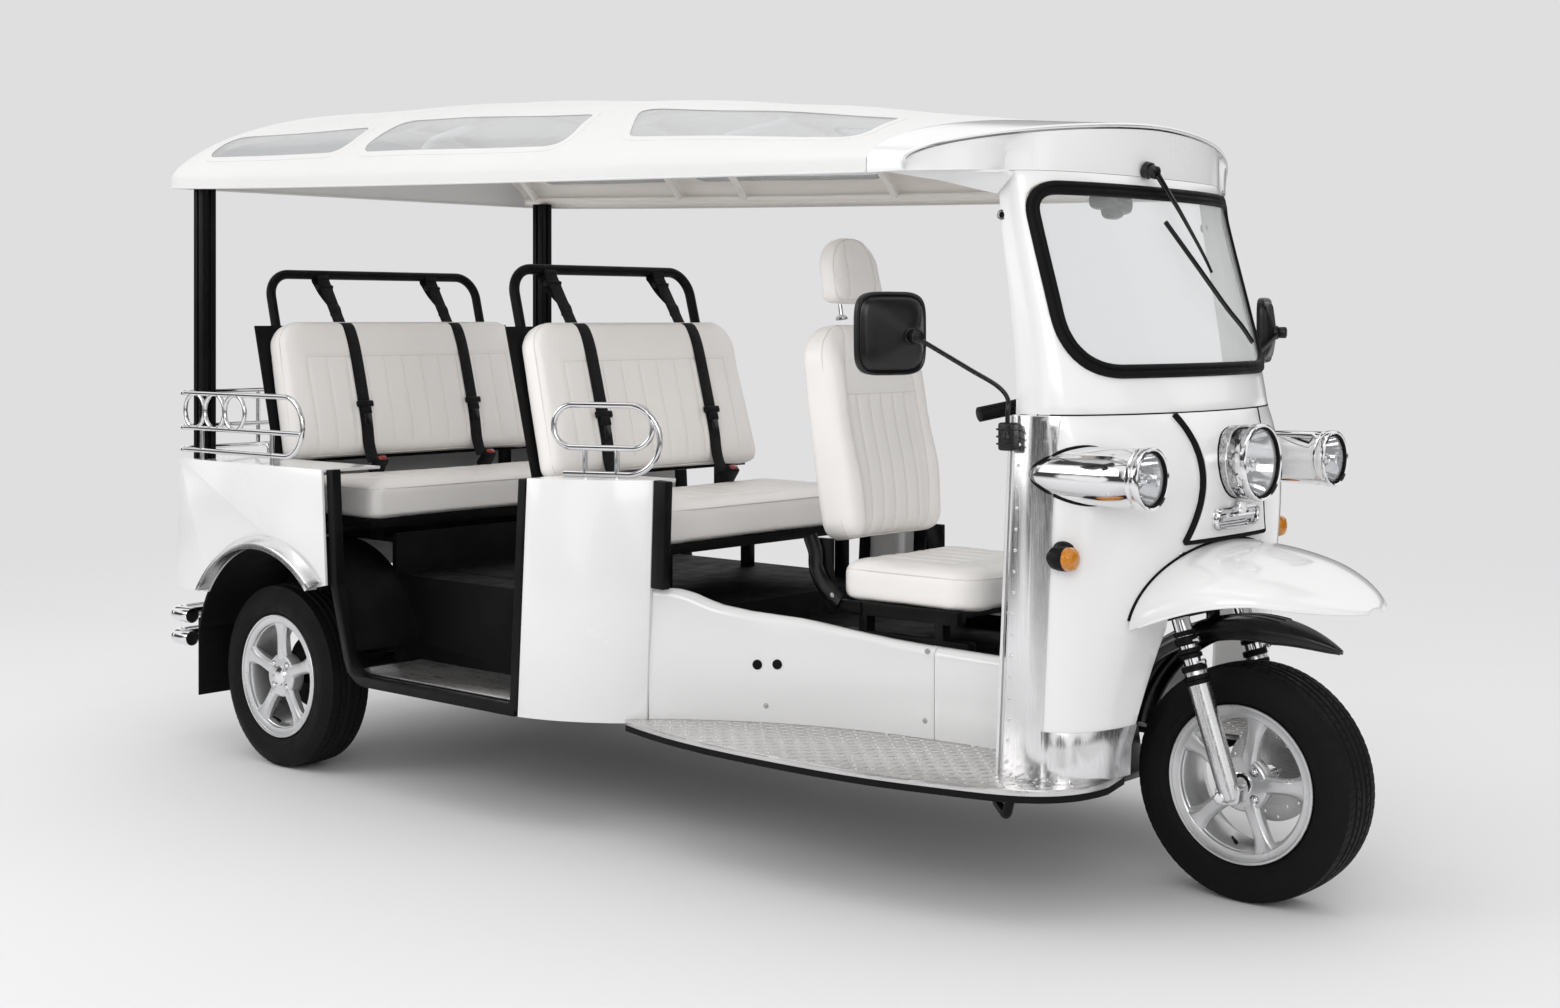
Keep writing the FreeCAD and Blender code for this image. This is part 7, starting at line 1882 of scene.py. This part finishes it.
def mirrors():
    """Squarish black mirror heads on bent arms, clamped to the cowl's upper corners."""
    centre = Vector((1.143, -0.817, 1.280))
    turn = Matrix.Translation(centre) @ Matrix.Rotation(math.radians(-20), 4, "Z")
    boss = (0.031, -0.006)
    form = ((-0.014, 0.90, 0), (-0.015, 0.975, 0), (-0.012, 0.995, 0), (-0.004, 1.0, 0), (0.002, 0.985, 0),
            (0.0045, 0.955, 0), (0.0035, 0.925, 0), (0.0015, 0.905, 0), (0.003, 0.880, 0.02), (0.007, 0.862, 0.04),
            (0.011, 0.80, 0.12), (0.0175, 0.58, 0.42), (0.0235, 0.36, 0.75), (0.0265, 0.24, 0.95), (0.028, 0.20, 1.0))
    shell = loft("mirror_shell", [[turn @ Vector((x, boss[0] * shift + y, boss[1] * shift + z))
                                   for y, z in superellipse(0.086 * size, 0.088 * size, 4.6 - 2.2 * shift)]
                                  for x, size, shift in form])
    glass = loft("mirror_glass", [[turn @ Vector((x, y, z)) for y, z in superellipse(0.076 * s, 0.078 * s, 4.4)]
                                  for x, s in ((-0.0150, 1.0), (-0.0156, 0.99))])
    out = (turn.to_3x3() @ Vector((1, 0, 0))).normalized()
    hub = turn @ Vector((0.0265, boss[0], boss[1]))
    foot, bend = Vector((1.209, -0.4903, 1.060)), Vector((1.209, -0.4903, 1.150))
    parts = [shell,
             turned("mirror_boss", hub - out * 0.004, out,
                    [(0, 0.019), (0.010, 0.0185), (0.013, 0.0165), (0.014, 0.0)]),
             turned("mirror_knob", hub + out * 0.008, out, [(0, 0.0125), (0.003, 0.0150), (0.018, 0.0155),
                                                            (0.0215, 0.0140), (0.0228, 0.0110), (0.0232, 0.0)]),
             turned("mirror_cuff", foot + UP * -0.020, UP, [(0, 0.013), (0.002, 0.0145), (0.014, 0.0145),
                                                            (0.018, 0.012), (0.034, 0.0085), (0.036, 0.0)])]
    for size, edge, level in (((0.040, 0.034, 0.062), 0.006, 0.0), ((0.044, 0.038, 0.0045), 0.0015, -0.016),
                              ((0.044, 0.038, 0.0045), 0.0015, 0.0), ((0.044, 0.038, 0.0045), 0.0015, 0.016)):
        clamp = block("mirror_clamp", size, edge)
        clamp.data.transform(Matrix.Translation((1.207, -0.482, 1.052 + level)))
        parts.append(clamp)
    start = hub + out * 0.014
    path = [start] + [start.lerp(bend, share) for share in (0.3, 0.6, 0.88)]
    path += [bend + UP * -0.014, bend.lerp(foot, 0.5), foot]
    arm = sweep("mirror_arm", catmull(path, 8), circle(0.0052, 12))
    standing_for("mirrors", mirrored(join("mirror_heads", parts)), material=MATERIALS["mirror_black"], angle=42)
    for part, name, look in ((arm, "mirror_arms", "gloss_black"), (glass, "mirror_glasses", "chrome")):
        piece(mirrored(part, name), SLOT_OF["mirrors"], BODY_OF["mirrors"], material=MATERIALS[look])


def wiper():
    """The wiper's knob over the screen, its tapered arm and its blade."""
    pivot = Vector((1.306, -0.060, 1.655))
    knob = turned("wiper_knob", pivot, (0.95, 0, -0.3), [(-0.010, 0.020), (0.004, 0.020), (0.006, 0.016),
                                                         (0.022, 0.0155), (0.025, 0.012), (0.0255, 0)])
    line = catmull([pivot + Vector((0.020, 0, -0.006)), (1.326, -0.015, 1.612), (1.340, 0.018, 1.565),
                    (1.372, 0.066, 1.470), (1.385, 0.091, 1.420)], 8)
    rings = []
    for i, point in enumerate(line):
        share = i / (len(line) - 1)
        run = heading(line, i)
        side = run.cross(Vector((0.9, 0, 0.35))).normalized()
        wide, thick = mix(0.0125, 0.0050, min(share * 1.5, 1)), mix(0.0065, 0.0028, share)
        rings.append(ring_at(point, side, side.cross(run), [(a * wide, b * thick) for a, b in circle(1.0, 12)]))
    blade = catmull([(1.345, -0.052, 1.535), (1.389, 0.021, 1.430), (1.406, 0.120, 1.340), (1.412, 0.190, 1.290),
                     (1.414, 0.233, 1.255)], 8)
    parts = [knob, loft("wiper_arm", rings),
             sweep("wiper_blade", blade, [(a * 0.0035, b * 0.0060) for a, b in circle(1.0, 10)])]
    piece(join("wiper", parts), "black_plastic", material=MATERIALS["gloss_black"])


def bolts_and_brackets():
    """Bolts at the screen pillars, and the recliners of the driver's seat with theirs."""
    steel, blacks = [], []
    for side in (-1, 1):
        place = Vector((1.165, side * 0.447, 1.542))
        out = Vector((0.25, side, 0.1)).normalized()
        steel.append(turned("pillar_bolt", place, out, [(-0.004, 0.0125), (0.002, 0.0125), (0.0035, 0.0105),
                                                        (0.0030, 0.0075), (0.0025, 0.0)], 28))
        blacks.append(turned("pillar_bolt_core", place + out * 0.002, out,
                             [(0, 0.0070), (0.0016, 0.0066), (0.002, 0.0)], 20))
        recliner = [(x, side * 0.2465, z) for x, z in ((0.430, 0.760), (0.447, 0.720), (0.450, 0.680),
                                                       (0.470, 0.645), (0.500, 0.620), (0.528, 0.600))]
        blacks.append(sweep("recliner", catmull(recliner, 8),
                            [(a * 0.0035, b * 0.021) for a, b in circle(1.15, 12)]))
        steel.append(dome("recliner_bolt", (0.505, side * 0.2500, 0.615), (0, side, 0), 0.0080, 0.0035))
    piece(join("pillar_and_recliner_bolts", steel), "chrome", material=MATERIALS["disc_steel"])
    piece(join("recliner_brackets", blacks), "black_frame", material=MATERIALS["gloss_black"])


def cabin_mirror():
    """The small mirror's housing inside the screen, in three lobes, and its stem."""
    form = ((-0.012, 0.82), (-0.009, 0.97), (0.0, 1.0), (0.009, 0.90), (0.016, 0.62), (0.019, 0.20))
    shell = [loft("cabin_mirror", [[Vector((1.190 + x, y + a * size, z + b * size))
                                    for a, b in superellipse(wide, high, 2.8, 32)] for x, size in form])
             for y, z, wide, high in ((-0.070, 1.587, 0.052, 0.020), (-0.030, 1.572, 0.040, 0.026),
                                      (0.012, 1.583, 0.034, 0.024))]
    stem = [(1.196, -0.030, 1.585), (1.205, -0.030, 1.612), (1.225, -0.030, 1.634)]
    shell.append(sweep("cabin_mirror_stem", stem, circle(0.006, 12)))
    piece(join("cabin_mirror", shell), "black_plastic", material=MATERIALS["gloss_black"], angle=45)


def visor_gussets():
    """The white gusset under each end of the visor, back to the screen's pillar."""
    gussets = []
    for side in (-1, 1):
        rings = []
        for share in arc(0, 1, 10):
            reach = 0.700 - 0.20 * share
            outer = Vector((visor_lip(reach) - 0.010 - 0.05 * (1 - share), side * reach, 1.6325))
            inner = Vector((1.163 + 0.040 * share, side * (0.4655 - 0.003 * share), 1.588 + 0.040 * share))
            line = [outer, outer.lerp(inner, 0.5) + Vector((0, 0, 0.005)), inner]
            rings.append(line + [p + Vector((0.002, 0, 0.006)) for p in reversed(line)])
        gussets.append(loft("visor_gusset", rings))
    piece(join("visor_gussets", gussets), "white_body", angle=50)


mirrors()
wiper()
bolts_and_brackets()
cabin_mirror()
visor_gussets()


# Stage: floor, light and camera

PAPER = (0.74, 0.735, 0.745)


def floor():
    """A pale paper floor that fades into the background away from the vehicle."""
    size = 60.0
    corners = [(-size, -size, 0), (size, -size, 0), (size, size, 0), (-size, size, 0)]
    obj = from_data("floor", corners, [(0, 1, 2, 3)])
    s = Shader("floor_paper", PAPER, 0.8, Specular_IOR_Level=0.2)
    s.bump(s.noise(120, 3), 0.0002, 0.3)
    s.wear(0.5, 2, 0.4, 0.7, (0.725, 0.72, 0.73))
    distance = s.node("VectorMath", Vector=s.place)
    distance.operation = "LENGTH"
    s.mixed_with(s.mapped(distance.outputs["Value"], 2.6, 7.0, 0.0, 1.0), s.node("BsdfTransparent"))
    obj.data.materials.append(s.material)


def world():
    """White light all round; the camera sees the paper's colour, and gloss sees soft patches of a room."""
    world = bpy.data.worlds.new("studio")
    bpy.context.scene.world = world
    world.use_nodes = True
    nodes, links = world.node_tree.nodes, world.node_tree.links

    def background(colour, strength=1.0, node=None):
        node = node or nodes.new("ShaderNodeBackground")
        node.inputs["Color"].default_value = (*colour, 1.0)
        node.inputs["Strength"].default_value = strength
        return node

    def blend(share, first, second):
        node = nodes.new("ShaderNodeMixShader")
        for socket, source in zip(node.inputs, (share, first.outputs[0], second.outputs[0])):
            links.new(source, socket)
        return node

    light = background((1.0, 1.0, 1.0), 1.0, nodes["Background"])
    mirrored_room, seen = background((0.90, 0.895, 0.90)), background(PAPER)
    place, blots = nodes.new("ShaderNodeTexCoord"), nodes.new("ShaderNodeTexNoise")
    blots.inputs["Scale"].default_value = 1.9
    blots.inputs["Detail"].default_value = 0.5
    links.new(place.outputs["Generated"], blots.inputs["Vector"])
    ramp = nodes.new("ShaderNodeMapRange")
    for key, number in (("From Min", 0.47), ("From Max", 0.53), ("To Min", 0.06), ("To Max", 1.05)):
        ramp.inputs[key].default_value = number
    links.new(blots.outputs["Fac"], ramp.inputs["Value"])
    links.new(ramp.outputs["Result"], mirrored_room.inputs["Strength"])
    path, either = nodes.new("ShaderNodeLightPath"), nodes.new("ShaderNodeMath")
    either.operation = "MAXIMUM"
    links.new(path.outputs["Is Camera Ray"], either.inputs[0])
    links.new(path.outputs["Is Transmission Ray"], either.inputs[1])
    gloss = blend(path.outputs["Is Glossy Ray"], light, mirrored_room)
    links.new(blend(either.outputs[0], gloss, seen).outputs[0], nodes["World Output"].inputs["Surface"])


def lamp(name, place, target, size, power):
    data = bpy.data.lights.new(name, "AREA")
    data.shape = "RECTANGLE"
    data.size, data.size_y = size
    data.energy = power
    obj = bpy.data.objects.new(name, data)
    obj.location = place
    obj.rotation_euler = (Vector(target) - Vector(place)).to_track_quat("-Z", "Y").to_euler()
    bpy.context.scene.collection.objects.link(obj)


def camera():
    data = bpy.data.cameras.new("camera")
    data.lens = 46.55
    data.sensor_width = 36.0
    data.shift_y = -0.1185
    obj = bpy.data.objects.new("camera", data)
    obj.location = (3.763, -4.14, 1.31)
    obj.rotation_euler = (math.radians(90), 0, math.radians(41.42))
    bpy.context.scene.collection.objects.link(obj)
    bpy.context.scene.camera = obj


floor()
world()
lamp("overhead", (0.3, -0.5, 5.2), (0, 0, 0.5), (6.5, 4.5), 50)
lamp("front_soft", (4.5, -5.5, 3.6), (0.2, 0, 0.8), (3.5, 3.0), 88)
lamp("side_soft", (-3.5, -5.0, 3.0), (-0.3, 0, 0.8), (3.5, 2.6), 55)
camera()
bpy.context.scene.view_settings.view_transform = "Standard"
